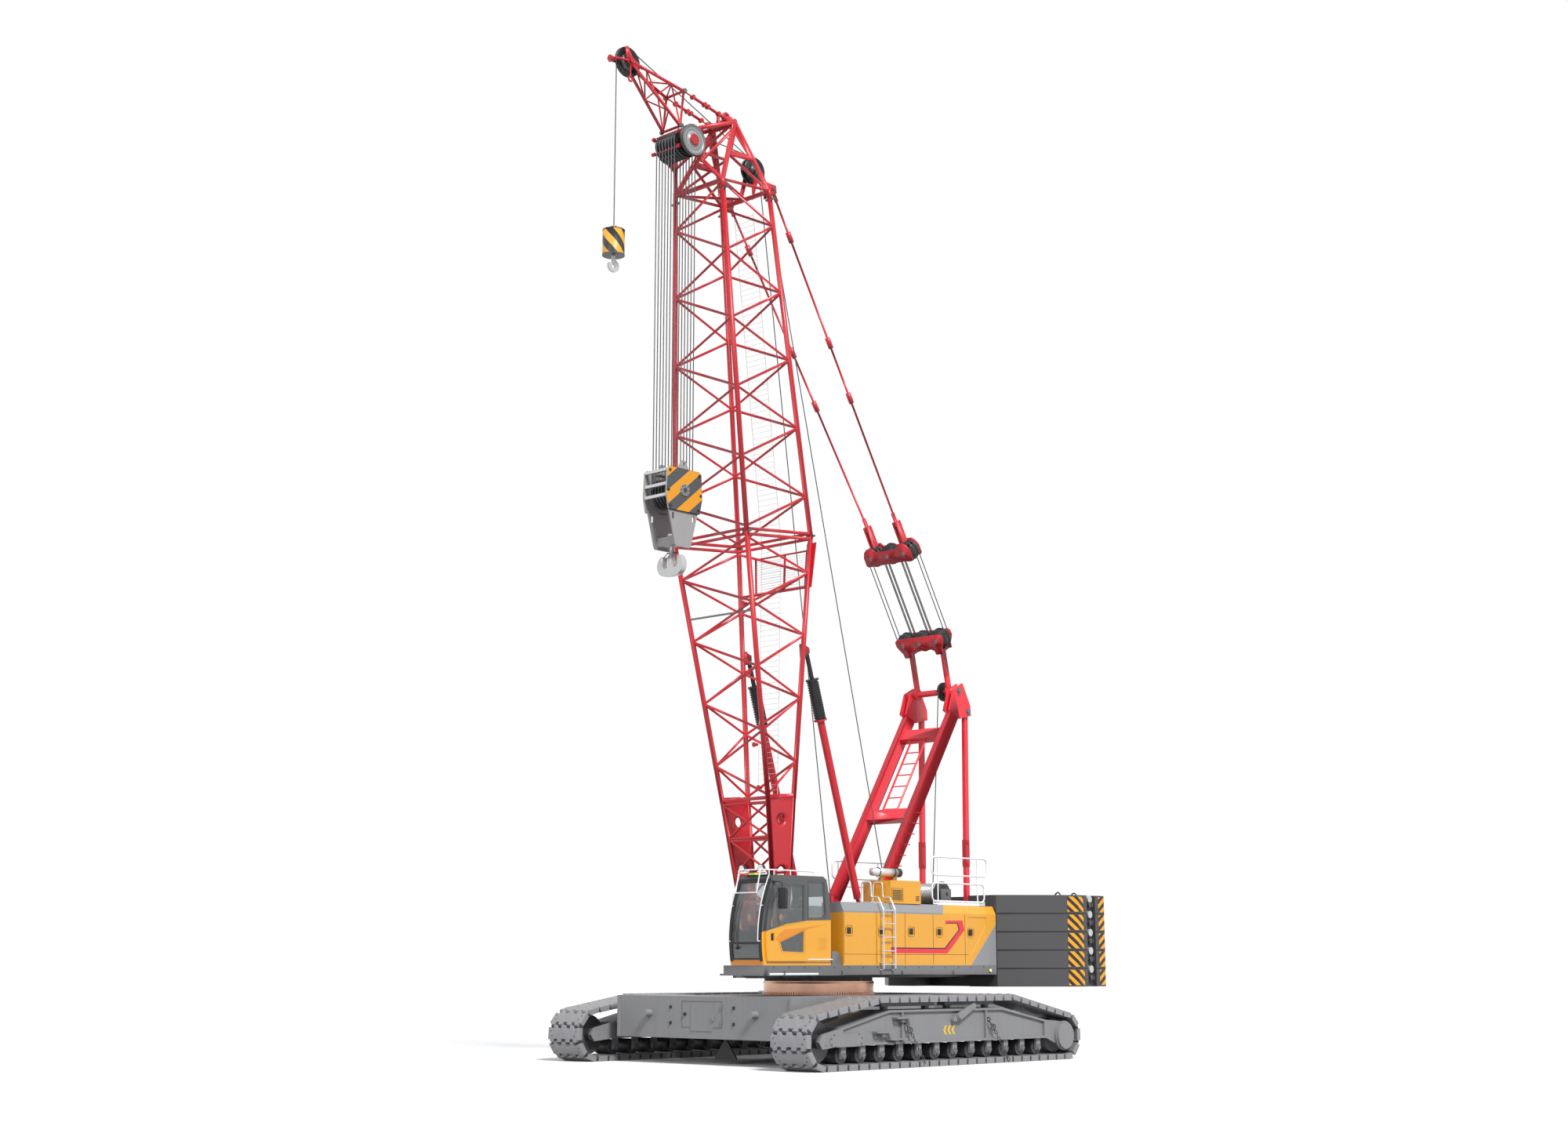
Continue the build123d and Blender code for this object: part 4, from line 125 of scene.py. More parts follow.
# %% Colours and nodes
def hex_colour(code):
    channels = [int(code[i:i + 2], 16) / 255 for i in (1, 3, 5)]
    return tuple(c / 12.92 if c <= 0.04045 else ((c + 0.055) / 1.055) ** 2.4 for c in channels) + (1.0,)


def set_inputs(tree, node, values):
    """Links a socket, turns a hex value into a colour, and sets anything else as it is."""
    for key, value in values.items():
        if isinstance(value, bpy.types.NodeSocket):
            tree.links.new(value, node.inputs[key])
        else:
            node.inputs[key].default_value = hex_colour(value) if isinstance(value, str) else value


def add_node(tree, kind, inputs=None, **settings):
    node = tree.nodes.new(kind)
    for name, value in settings.items():
        setattr(node, name, value)
    set_inputs(tree, node, inputs or {})
    return node


def new_finish(name):
    """A material with its tree, its shader and the place on the piece, in metres."""
    material = bpy.data.materials.new(name)
    material.use_nodes = True
    tree = material.node_tree
    return material, tree, tree.nodes["Principled BSDF"], add_node(tree,
                                                                   "ShaderNodeTexCoord").outputs["Object"]


def maths(tree, operation, *values):
    return add_node(tree, "ShaderNodeMath", dict(enumerate(values)), operation=operation).outputs[0]


def vector_maths(tree, operation, *values, result=0):
    node = add_node(tree, "ShaderNodeVectorMath", dict(enumerate(values)), operation=operation)
    return node.outputs[result]


def dot(tree, place, way):
    return vector_maths(tree, "DOT_PRODUCT", place, way, result="Value")


def split(tree, place, axis):
    return add_node(tree, "ShaderNodeSeparateXYZ", {0: place}).outputs[axis]


def below(tree, value, limit):
    return maths(tree, "LESS_THAN", value, limit)


def above(tree, value, limit):
    return maths(tree, "GREATER_THAN", value, limit)


def both_of(tree, a, b):
    return maths(tree, "MULTIPLY", a, b)


def from_axle(tree, place, middle, axis):
    """Sockets for the distance from an axle and for the place along it."""
    off = vector_maths(tree, "SUBTRACT", place, middle)
    along = dot(tree, off, axis)
    shift = add_node(tree, "ShaderNodeVectorMath", {0: axis, "Scale": along}, operation="SCALE").outputs[0]
    return vector_maths(tree, "LENGTH", vector_maths(tree, "SUBTRACT", off, shift), result="Value"), along


def noise(tree, place, scale, detail):
    return add_node(tree, "ShaderNodeTexNoise",
                    {"Vector": place, "Scale": scale, "Detail": detail}).outputs["Fac"]


def ranged(tree, value, low, high, start=0.0, end=1.0):
    """The part of the way from start to end becomes the same part of the way from low to high."""
    inputs = {"Value": value, "From Min": start, "From Max": end, "To Min": low, "To Max": high}
    return add_node(tree, "ShaderNodeMapRange", inputs).outputs[0]


def paint_over(tree, mask, base, top):
    return add_node(tree, "ShaderNodeMix", {0: mask, 6: base, 7: top}, data_type="RGBA").outputs[2]


def add_bump(tree, shader, height, strength, distance):
    bump = add_node(tree, "ShaderNodeBump", {"Height": height, "Strength": strength, "Distance": distance})
    tree.links.new(bump.outputs[0], shader.inputs["Normal"])


def lay(tree, place, shader, colour, gloss, skin=0.05, grain=0.02, coat=None):
    """Gives a shader its colour, an uneven gloss, a fine skin and, where it is told, a clear coat."""
    patches = noise(tree, place, 1.6, 4.0)
    set_inputs(tree, shader, {"Base Color": colour, "Roughness": ranged(tree, patches, *gloss)})
    if skin:
        add_bump(tree, shader, noise(tree, place, 1 / grain, 3.0), skin, 0.002)
    if coat:
        set_inputs(tree, shader, {"Coat Weight": coat[0], "Coat Roughness": coat[1]})


# %% [markdown]
# Sprayed enamel on plate steel is even from far away, but dust and sun make soft clouds in it about
# 700 mm wide and fine streaks that run down. The spray leaves a slight skin, which is drawn coarser
# than life, with its bumps some 20 mm apart, so that it shows at all.

# %% Enamel
CLOUD_SIZE = 0.7


def weathered(tree, place, code, strength):
    """A colour with soft darker clouds and fine streaks running down."""
    stretch = add_node(tree, "ShaderNodeMapping", {"Vector": place, "Scale": (5.0, 5.0, 0.35)}).outputs[0]
    both = both_of(tree, noise(tree, place, 1 / CLOUD_SIZE, 6.0), noise(tree, stretch, 3.0, 4.0))
    return paint_over(tree, ranged(tree, both, 0.0, strength, 0.12, 0.45), code, "#4A4640")


def enamel(name, code, gloss, dirt, coat=0.15):
    material, tree, shader, place = new_finish(name)
    lay(tree, place, shader, weathered(tree, place, code, dirt), gloss, coat=(coat, 0.2))
    return material


boom_red = enamel("red_enamel_on_tube", "#C51424", (0.30, 0.44), 0.07)
gantry_red = enamel("light_red_enamel_on_plate", "#EE3342", (0.34, 0.5), 0.05)
pendant_red = enamel("red_enamel_on_rod", "#CE2434", (0.3, 0.45), 0.05)
carrier_grey = enamel("grey_enamel_on_plate", "#8A8A8C", (0.42, 0.6), 0.16, 0.05)
frame_grey = enamel("frame_grey_enamel", "#717173", (0.42, 0.6), 0.14, 0.05)
weight_grey = enamel("weight_grey_enamel", "#434345", (0.45, 0.6), 0.12, 0.05)
warm_white = enamel("white_enamel", "#EDEAE2", (0.35, 0.5), 0.04)
print("enamels made")

# %% [markdown]
# Where two colours of enamel meet on one panel, the painter has masked along a straight line. In the
# shader each masked edge is a half plane, and a convex patch is the product of its edges. The edges
# are told by points in the side view, in order with the patch on the left.

# %% Masked colours
def masked_patch(tree, place, outline, closed=True):
    """1 inside a convex outline, or on the left of every piece of an open one."""
    mask = 1.0
    for (ax, az), (bx, bz) in zip(outline, outline[1:] + outline[:1] if closed else outline[1:]):
        normal = Vector((az - bz, 0, bx - ax)).normalized()
        mask = both_of(tree, mask, above(tree, dot(tree, place, normal), normal.dot(at(ax, 0, az))))
    return mask


def within_width(tree, place, low, high):
    """1 between two places across the machine."""
    across = split(tree, place, "Y")
    return both_of(tree, above(tree, across, low), below(tree, across, high))


YELLOW, HOUSE_GREY, CAB_GREY, ORANGE = "#ECA72B", "#8F9093", "#505153", "#E28C1C"

# %% [markdown]
# The house is yellow, with a grey band under the roof whose end slants down, a grey rear corner and
# a grey roof.

# %% House enamel
house_finish, tree, shader, place = new_finish("yellow_enamel_with_grey_band")
colour = weathered(tree, place, YELLOW, 0.06)
band = masked_patch(tree, place, [(-2.506, 3.405), (-2.354, 3.195), (3.0, 3.195)], closed=False)
tail = masked_patch(tree, place, [(-4.6, 2.0), (-3.326, 2.0), (-4.6, 3.27)])
for patch in (band, tail, above(tree, split(tree, place, "Z"), 3.415)):
    colour = paint_over(tree, patch, colour, HOUSE_GREY)
lay(tree, place, shader, colour, (0.22, 0.36), 0.03, coat=(0.4, 0.12))
yellow_finish = enamel("yellow_enamel", YELLOW, (0.25, 0.4), 0.05, 0.3)
orange_finish = enamel("orange_enamel", ORANGE, (0.25, 0.4), 0.04, 0.3)

# %% [markdown]
# The cab is grey above and yellow below a waist line that climbs from the front of the door to the
# back of the window, with a darker swoosh over the low window and an orange strip under the
# windscreen. Inside, every wall is dark plastic: the mask for that is the room's own box.

# %% Cab enamel
BELOW_WAIST = [(1.3, 2.0), (3.7, 2.0), (3.7, 2.70), (2.861, 2.914), (2.221, 2.995), (1.3, 3.022)]
SWOOSHES = ([(3.182, 2.602), (3.035, 2.532), (2.293, 2.790), (2.222, 2.858)],
            [(3.182, 2.602), (2.222, 2.858), (2.9, 2.80), (3.06, 2.72)],
            [(2.293, 2.790), (1.495, 2.933), (2.222, 2.858)])
ROOM = [(1.444, 2.09), (3.44, 2.09), (3.49, 2.7), (3.15, 3.9), (1.47, 3.9)]
LIP = [(3.36, 2.0), (3.8, 2.0), (3.8, 2.195), (3.36, 2.195)]


def cab_finish(name, inside_dark):
    material, tree, shader, place = new_finish(name)
    colour = weathered(tree, place, CAB_GREY, 0.05)
    colour = paint_over(tree, masked_patch(tree, place, BELOW_WAIST), colour, YELLOW)
    for swoosh in SWOOSHES:
        turn = sum(a[0] * b[1] - b[0] * a[1] for a, b in zip(swoosh, swoosh[1:] + swoosh[:1]))
        patch = masked_patch(tree, place, swoosh if turn > 0 else swoosh[::-1])
        colour = paint_over(tree, patch, colour, ORANGE)
    lip = both_of(tree, masked_patch(tree, place, LIP), within_width(tree, place, 0.72, 1.63))
    colour = paint_over(tree, lip, colour, ORANGE)
    if inside_dark:
        room = both_of(tree, masked_patch(tree, place, ROOM), within_width(tree, place, 0.735, 1.620))
        colour = paint_over(tree, room, colour, "#2E2F31")
    lay(tree, place, shader, colour, (0.26, 0.4), 0.03, coat=(0.3, 0.15))
    return material


cab_paint = cab_finish("cab_enamel_grey_over_yellow", True)
door_paint = cab_finish("door_enamel_grey_over_yellow", False)
print("masked enamels made")

# %% [markdown]
# Warning stripes are a sawtooth along a slanting line: half of each tooth is yellow, half black. On
# the slabs they start again at every seam. On the round weight the slant winds round it, so there
# the angle takes the place of the width.

# %% Warning stripes
def stripes(tree, distance, pitch, first, second):
    """A colour socket that changes at every half pitch of a distance socket."""
    tooth = maths(tree, "FRACT", maths(tree, "MULTIPLY", distance, 1 / pitch))
    return paint_over(tree, above(tree, tooth, 0.5), first, second)


def stripe_enamel(name, lean):
    material, tree, shader, place = new_finish(name)
    in_slab = maths(tree, "MODULO", maths(tree, "SUBTRACT", split(tree, place, "Z"), SLAB_LOW), SLAB)
    width = maths(tree, "ABSOLUTE", split(tree, place, "Y"))
    axes = {"X": split(tree, place, "X"), "Y": width, "Z": in_slab}
    slant = dot(tree, add_node(tree, "ShaderNodeCombineXYZ", axes).outputs[0], lean)
    lay(tree, place, shader, stripes(tree, slant, SLAB / 2, "#1B1B1C", "#EFA41C"), (0.35, 0.5), 0.03)
    return material


weight_stripes = stripe_enamel("warning_stripe_enamel", Vector((-0.75, 0.62, 1.0)))
rear_stripes = stripe_enamel("warning_stripe_enamel_rear", Vector((0.75, 0.62, 1.0)))

# %% [markdown]
# The hook block is grey steel with striped cheeks, a pale boss on its axle and dark sheaves between
# the cheeks. Each of these is a mask by height, by width or by the distance from the axle.

# %% Hook block finishes
hook_low, hook_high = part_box("main_hook")
block_axle = Vector(((hook_low.x + hook_high.x) / 2, 0, BLOCK_AXLE_Z))
block_finish, tree, shader, place = new_finish("block_enamel_striped_cheeks")
striped = stripes(tree, dot(tree, place, Vector((0.64, 0, 0.77))), 0.47, "#4C4D50", "#E79C22")
up, width = split(tree, place, "Z"), maths(tree, "ABSOLUTE", split(tree, place, "Y"))
radius = from_axle(tree, place, block_axle, ACROSS)[0]
cheek = both_of(tree, above(tree, up, BLOCK_LOW), below(tree, up, BLOCK_HIGH + 0.001))
cheek = both_of(tree, cheek, above(tree, width, 0.3375))
boss = below(tree, radius, 0.132)
sheave = both_of(tree, below(tree, radius, 0.445), below(tree, width, 0.3290))
colour = weathered(tree, place, "#A3A0A1", 0.10)
for mask, paint in ((cheek, striped), (boss, "#8E8D8E"), (sheave, "#242426")):
    colour = paint_over(tree, mask, colour, paint)
lay(tree, place, shader, colour, (0.32, 0.48), 0.03)

WINDINGS, CLIMB = 4, 0.42
barrel_finish, tree, shader, place = new_finish("barrel_enamel_wound_stripes")
barrel_low, barrel_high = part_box("aux_weight")
weight_middle = (barrel_low + barrel_high) / 2
centred = vector_maths(tree, "SUBTRACT", place, Vector((weight_middle.x, weight_middle.y, 0)))
angle = maths(tree, "ARCTAN2", split(tree, centred, "Y"), split(tree, centred, "X"))
turned = maths(tree, "MULTIPLY", angle, WINDINGS / (2 * pi))
winding = maths(tree, "ADD", turned, maths(tree, "MULTIPLY", split(tree, centred, "Z"), 1 / CLIMB))
lay(tree, place, shader, stripes(tree, winding, 1.0, "#2A2A2C", "#F0AC38"), (0.3, 0.45), 0.03)
print("striped finishes made")

# %% [markdown]
# Bare metals: cast steel shoes are rough and rubbed bright where they run, a bearing race has a
# copper-brown preserving film, ropes are greased, tubes for rails are galvanised and bright, and a
# forged hook is blasted to a pale even grey.

# %% Metals, glass and rubber
def bare_metal(name, code, roughness, metallic, wear=0.1, grain=0.2, bump=0.1, rub="#D0CFCD"):
    material, tree, shader, place = new_finish(name)
    pits = noise(tree, place, 1 / grain, 6.0)
    colour = paint_over(tree, ranged(tree, pits, 0.0, wear, 0.35, 0.75), code, rub)
    lay(tree, place, shader, colour, (roughness - 0.08, roughness + 0.08), skin=0)
    add_bump(tree, shader, pits, bump, 0.003)
    shader.inputs["Metallic"].default_value = metallic
    return material


shoe_steel = bare_metal("cast_steel_shoes", "#929295", 0.5, 0.3, 0.12, 0.3, 0.15, "#B5AFA8")
race_steel = bare_metal("bearing_steel_copper_film", "#E0AE94", 0.26, 0.8, rub="#F6E0D2")
dark_steel = bare_metal("oiled_cast_steel", "#454547", 0.45, 0.4)
drum_steel = bare_metal("winch_dark_enamel", "#363639", 0.4, 0.3)
rail_steel = bare_metal("galvanised_tube", "#D2D4D5", 0.3, 0.5, rub="#FFFFFF")
spring_steel = bare_metal("oiled_spring_wire", "#252527", 0.38, 0.4, rub="#5A5A5C")
rope_steel = bare_metal("greased_wire_rope", "#47484A", 0.42, 0.5, 0.15, 0.05)
drum_rope = bare_metal("wound_wire_rope", "#B4B5B6", 0.32, 0.75, 0.15, 0.05)
hook_steel = bare_metal("forged_hook_steel", "#C9C9C9", 0.38, 0.45, 0.2)
pin_steel = bare_metal("zinc_plated_pin", "#5E6E70", 0.35, 0.7, 0.2)
engine_finish = bare_metal("engine_block_enamel", "#6A6B6D", 0.5, 0.2)


def moulded(name, code, gloss, skin, grain):
    material, tree, shader, place = new_finish(name)
    lay(tree, place, shader, code, gloss, skin, grain)
    return material


rubber = moulded("black_rubber", "#1A1B1C", (0.55, 0.7), 0.1, 0.01)
plastic = moulded("moulded_black_plastic", "#232426", (0.4, 0.55), 0.15, 0.006)

cloth, tree, shader, place = new_finish("woven_seat_cloth")
threads = {"Vector": place, "Scale": 60.0, "Distortion": 0.4}
weave = add_node(tree, "ShaderNodeTexWave", threads, bands_direction="Z").outputs["Fac"]
woven = paint_over(tree, weave, "#2B2C2F", "#3C3D41")
set_inputs(tree, shader, {"Base Color": woven, "Roughness": 0.9, "Sheen Weight": 0.3})
add_bump(tree, shader, weave, 0.3, 0.001)

window_glass, tree, shader, place = new_finish("toughened_glass")
film = ranged(tree, noise(tree, place, 3.0, 3.0), 0.0, 0.06)
set_inputs(tree, shader, {"Base Color": "#DDE3E4", "Roughness": film, "Transmission Weight": 0.93,
                          "IOR": 1.45})


def lens(name, code, glow):
    material, tree, shader, place = new_finish(name)
    ribs = add_node(tree, "ShaderNodeTexWave", {"Vector": place, "Scale": 12.0}).outputs["Fac"]
    set_inputs(tree, shader, {"Base Color": paint_over(tree, ribs, code, "#FFFFFF"), "Roughness": 0.15,
                              "Emission Color": code, "Emission Strength": glow})
    return material


red_lens = lens("red_lamp_lens", "#E8303A", 0.2)
green_lens = lens("green_lamp_lens", "#7CCB3E", 0.2)
yellow_lens = lens("yellow_lamp_lens", "#F6E21C", 0.25)
clear_lens = lens("clear_lamp_lens", "#EDEFF0", 0.05)
stripe_red = enamel("red_stripe_film", "#E8323C", (0.25, 0.35), 0.03)
stripe_black = enamel("black_stripe_film", "#232326", (0.3, 0.4), 0.03)
chevron_yellow = enamel("yellow_marking_film", "#F2C01A", (0.3, 0.4), 0.03)
white_tube = bare_metal("white_enamelled_tube", "#F1F3F4", 0.3, 0.05, rub="#FFFFFF")
print("finishes", len(bpy.data.materials))

# %% [markdown]
# A sheave is a casting with a turned rim: seen from the side it has a pale rim, a darker web and a
# hub, which are rings of one radius each. The plain sheaves of the two rope blocks are dark between
# the red cheek plates, and the guide sheaves hang in red plates, so both get a mask as well.

# %% Sheaves
def sheave_finish(name, middle, rings, red_from=None, far_from=None):
    """Dark casting with rings of other colours, each told by its outer radius, inwards."""
    material, tree, shader, place = new_finish(name)
    distance, along = from_axle(tree, place, middle, ACROSS)
    colour = "#2B2C2E"
    for radius, code in rings:
        mask = below(tree, distance, radius)
        if far_from is not None:
            mask = both_of(tree, mask, above(tree, along, far_from))
        colour = paint_over(tree, mask, colour, code)
    if red_from is not None:
        colour = paint_over(tree, above(tree, distance, red_from), colour, "#B9101E")
    lay(tree, place, shader, colour, (0.28, 0.42), skin=0)
    shader.inputs["Metallic"].default_value = 0.25
    return material


HEAD_RINGS = ((0.345, "#8E8F90"), (0.318, "#3A3B3C"), (0.306, "#9A9B9C"), (0.232, "#57585A"),
              (0.218, "#A2A3A4"), (0.150, "#6A6B6C"), (0.140, "#A6A7A8"), (0.110, "#B9101E"))
TIP_RINGS = ((0.300, "#1F2021"), (0.190, "#5E5F60"), (0.120, "#2B2C2D"))
GUIDE_RINGS = ((0.250, "#1F2021"), (0.120, "#4A4B4C"))
head_finish = sheave_finish("turned_sheaves_of_head", HEAD_AXLE, HEAD_RINGS, far_from=0.50)
tip_finish = sheave_finish("turned_sheave_of_tip", TIP_AXLE, TIP_RINGS)
guide_finish = sheave_finish("turned_sheaves_in_red_plates", GUIDE_AXLE, GUIDE_RINGS, red_from=0.312)


def rope_block_finish(name, middle):
    material, tree, shader, place = new_finish(name)
    off = vector_maths(tree, "SUBTRACT", place, middle)
    level, along = (maths(tree, "ABSOLUTE", dot(tree, off, way)) for way in (HOIST_SIDE, HOIST_WAY))
    sheaves = both_of(tree, below(tree, level, 0.120), below(tree, along, 0.245))
    colour = paint_over(tree, below(tree, along, 0.90), "#F03846", "#BE1C2A")
    lay(tree, place, shader, paint_over(tree, sheaves, colour, "#242527"), (0.34, 0.48))
    return material


spreader_finish = rope_block_finish("red_cheeks_of_spreader", SPREADER)
bridle_finish = rope_block_finish("red_cheeks_of_bridle", BRIDLE)
print("sheave finishes made")

# %% [markdown]
# Every CAD node names a slot in the record, and each slot gets the finish that the real part has.
# The node itself isn't touched: only the material in its slot is changed.

# %% Finishes on the CAD nodes
slot_finishes = {
    "grey_paint": carrier_grey, "frame_paint": frame_grey, "track_steel": shoe_steel,
    "ring_steel": race_steel, "dark_steel": dark_steel, "winch_steel": drum_steel,
    "yellow_paint": yellow_finish, "engine_paint": engine_finish, "bright_steel": rail_steel,
    "cab_paint": cab_paint, "door_paint": door_paint, "window_glass": window_glass,
    "black_plastic": plastic, "seat_cloth": cloth, "red_paint": boom_red,
    "counterweight_paint": weight_grey, "light_red_paint": gantry_red, "sheave_steel": head_finish,
    "spring_steel": spring_steel, "wire_rope": rope_steel, "block_paint": block_finish,
    "hook_steel": hook_steel,
}
node_finishes = {
    "house_left": house_finish, "house_right": house_finish, "aux_weight": barrel_finish,
    "spreader": spreader_finish, "bridle": bridle_finish, "guide_sheaves": guide_finish,
    "pendants": pendant_red, "cab_rails": white_tube, "handrails": white_tube,
}
for row in frame["record"]["subparts"]:
    finish = node_finishes.get(row["node"], slot_finishes[row["material_slot"]])
    for slot in nodes[row["node"]].material_slots:
        slot.material = finish
print("dressed", len(nodes), "CAD nodes")

# %% [markdown]
# New pieces are grown in a bmesh. Short helpers add a box, a rod, a plate, a ring and a row of bolt
# heads to one, and a last one turns the bmesh into a piece that rides on a body.

# %% Helpers for shapes
def new_meshes(count):
    return [bmesh.new() for _ in range(count)]


def add_box(bm, low, high):
    low, high = Vector(low), Vector(high)
    size = Matrix.Diagonal((*(high - low), 1.0))
    bmesh.ops.create_cube(bm, size=1.0, matrix=Matrix.Translation((low + high) / 2) @ size)


def add_rod(bm, a, b, radius, sides=12, end_radius=None):
    """A round bar from a to b, or a cone where the end has a radius of its own."""
    a, b = Vector(a), Vector(b)
    end_radius = radius if end_radius is None else end_radius
    lie = Matrix.Translation((a + b) / 2) @ aimed(b - a)
    bmesh.ops.create_cone(bm, cap_ends=True, segments=sides, radius1=radius, radius2=end_radius,
                          depth=(b - a).length, matrix=lie)


def add_stub(bm, spot, way, radius, sides=12, end_radius=None):
    add_rod(bm, spot, spot + way, radius, sides, end_radius)


def add_pin(bm, middle, reach, radius, sides=12):
    """A rod across the machine, as far to the left as to the right of its middle."""
    add_rod(bm, middle - ACROSS * reach, middle + ACROSS * reach, radius, sides)


def add_path(bm, points, radius, sides=12):
    for a, b in zip(points, points[1:]):
        add_rod(bm, a, b, radius, sides)


def push_out(bm, faces, push):
    """Faces pushed into a plate."""
    grown = bmesh.ops.extrude_face_region(bm, geom=faces)["geom"]
    moved = [v for v in grown if isinstance(v, bmesh.types.BMVert)]
    bmesh.ops.translate(bm, verts=moved, vec=Vector(push))


def add_plate(bm, outline, push):
    push_out(bm, [bm.faces.new([bm.verts.new(Vector(p)) for p in outline])], push)


def add_ring(bm, centre, axis, radius, thickness, steps=32, sides=8, sweep=2 * pi, start=None):
    """A round bar bent into a ring or a part of one."""
    centre, axis = Vector(centre), Vector(axis).normalized()
    start = Vector(start) if start is not None else axis.orthogonal()
    start = (start - axis * start.dot(axis)).normalized()
    turn = Matrix((start, axis.cross(start), axis)).transposed().to_4x4()
    lie = Matrix.Translation(centre) @ turn @ Matrix.Translation((radius, 0, 0)) @ Matrix.Rotation(pi / 2, 4,
                                                                                                   "X")
    whole = abs(sweep - 2 * pi) < 1e-6
    circle = bmesh.ops.create_circle(bm, cap_ends=not whole, segments=sides, radius=thickness,
                                     matrix=lie)["verts"]
    edges = list({e for v in circle for e in v.link_edges})
    faces = list({f for v in circle for f in v.link_faces})
    bmesh.ops.spin(bm, geom=circle + edges + faces, cent=centre, axis=axis, angle=sweep, steps=steps,
                   use_merge=whole)


def bolt_heads(bm, places, normal, radius=0.016, height=0.014):
    for place in places:
        add_rod(bm, Vector(place) - Vector(normal) * 0.002, Vector(place) + Vector(normal) * height, radius,
                6)


def make_object(name, bm, finish, smooth=None):
    """Turns a bmesh into an object of one finish."""
    bmesh.ops.recalc_face_normals(bm, faces=bm.faces)
    mesh = bpy.data.meshes.new(name)
    bm.to_mesh(mesh)
    bm.free()
    mesh.materials.append(finish)
    if smooth is not None:
        mesh.polygons.foreach_set("use_smooth", [True] * len(mesh.polygons))
        mesh.set_sharp_from_angle(angle=radians(smooth))
    piece = bpy.data.objects.new(name, mesh)
    bpy.context.scene.collection.objects.link(piece)
    print(name, len(mesh.polygons), "faces")
    return piece


def make_piece(name, bm, finish, body, smooth=None):
    """A piece that rides on a body."""
    piece = make_object(name, bm, finish, smooth)
    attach(piece, body)
    return piece


# %% [markdown]
# Drawn tube is round, while the CAD lattice has a few flat sides to stay light. A merged copy of a
# node, shaded smooth wherever its faces meet at a low angle, reads as round and keeps its place.

# %% Round tubes
def merged_copy(node, reach=0.0002):
    bm = bmesh.new()
    bm.from_mesh(nodes[node].data)
    bmesh.ops.remove_doubles(bm, verts=bm.verts, dist=reach)
    for face in bm.faces:
        face.material_index = 0
    return bm


def round_copy(node, body, finish, angle=40):
    piece = make_piece(node + "_round", merged_copy(node, 0.0003), finish, body, smooth=angle)
    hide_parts(node)


for node in ("boom_base", "boom_top", "boom_head", "tip_jib", "tip_jib_stays"):
    round_copy(node, "boom", boom_red, 62)
round_copy("gantry", "upper", gantry_red, 35)
round_copy("pendants", "bridle", pendant_red, 62)
round_copy("head_sheaves", "head_sheaves", head_finish)
round_copy("tip_sheave", "tip_sheave", tip_finish)
round_copy("main_hook", "main_hook", hook_steel)
round_copy("aux_hook", "aux_hook", hook_steel)
round_copy("spreader", "spreader", spreader_finish)
round_copy("bridle", "bridle", bridle_finish)
round_copy("guide_sheaves", "boom", guide_finish)
round_copy("exhaust", "upper", rail_steel)
round_copy("aux_weight", "aux_weight", barrel_finish)

# %% [markdown]
# The right house is as long as the left one, and the deck in front of it ends there too: only the
# cab's side of the deck reaches forward. The right house is the left one mirrored. The frame is cut
# into three lengths, each capped where it is cut, and what juts out on the right is left off.

# %% Right house and deck
def clipped(bm, place, normal):
    """Cuts away what lies beyond a plane and closes the cut."""
    everything = list(bm.verts) + list(bm.edges) + list(bm.faces)
    cut = bmesh.ops.bisect_plane(bm, geom=everything, plane_co=place, plane_no=normal,
                                 clear_outer=True)["geom_cut"]
    bmesh.ops.triangle_fill(bm, use_beauty=True, edges=[e for e in cut if isinstance(e, bmesh.types.BMEdge)])


def joined(parts):
    whole = bmesh.new()
    for part in parts:
        held = bpy.data.meshes.new("held")
        part.to_mesh(held)
        part.free()
        whole.from_mesh(held)
        bpy.data.meshes.remove(held)
    return whole


right = merged_copy("house_left")
bmesh.ops.scale(right, vec=(1, -1, 1), verts=right.verts)
right_house = make_piece("house_right_skin", right, house_finish, "upper")
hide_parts("house_right")

HOUSE_END, GIRDER_END, GIRDER_SIDE, CAB_DECK_SIDE = at(HOUSE_FRONT, 0, 0).x, at(1.950, 0, 0).x, -0.765, 0.430
rear, middle_part, front = (merged_copy("revolving_frame") for _ in range(3))
clipped(rear, (HOUSE_END, 0, 0), (1, 0, 0))
clipped(middle_part, (HOUSE_END, 0, 0), (-1, 0, 0))
clipped(middle_part, (GIRDER_END, 0, 0), (1, 0, 0))
clipped(middle_part, (0, GIRDER_SIDE, 0), (0, -1, 0))
clipped(front, (GIRDER_END, 0, 0), (-1, 0, 0))
clipped(front, (0, CAB_DECK_SIDE, 0), (0, -1, 0))
deck = make_piece("revolving_frame_skin", joined([rear, middle_part, front]), frame_grey, "upper",
                  smooth=30)
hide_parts("revolving_frame")

# %% [markdown]
# The belt of each track runs round four wheels: the idler, two bends of the upper run and the
# sprocket. The same tangent construction as on the drawing gives every shoe's place and slope.

# %% Belt line
BELT_WHEELS = ((3.990, 0.575, 0.490), (2.230, 0.934, 0.415), (-2.100, 0.934, 0.415), (-4.000, 0.520, 0.435))
SHOES, TRACK_Y, SHOE_TOP = 60, 3.380, 0.085


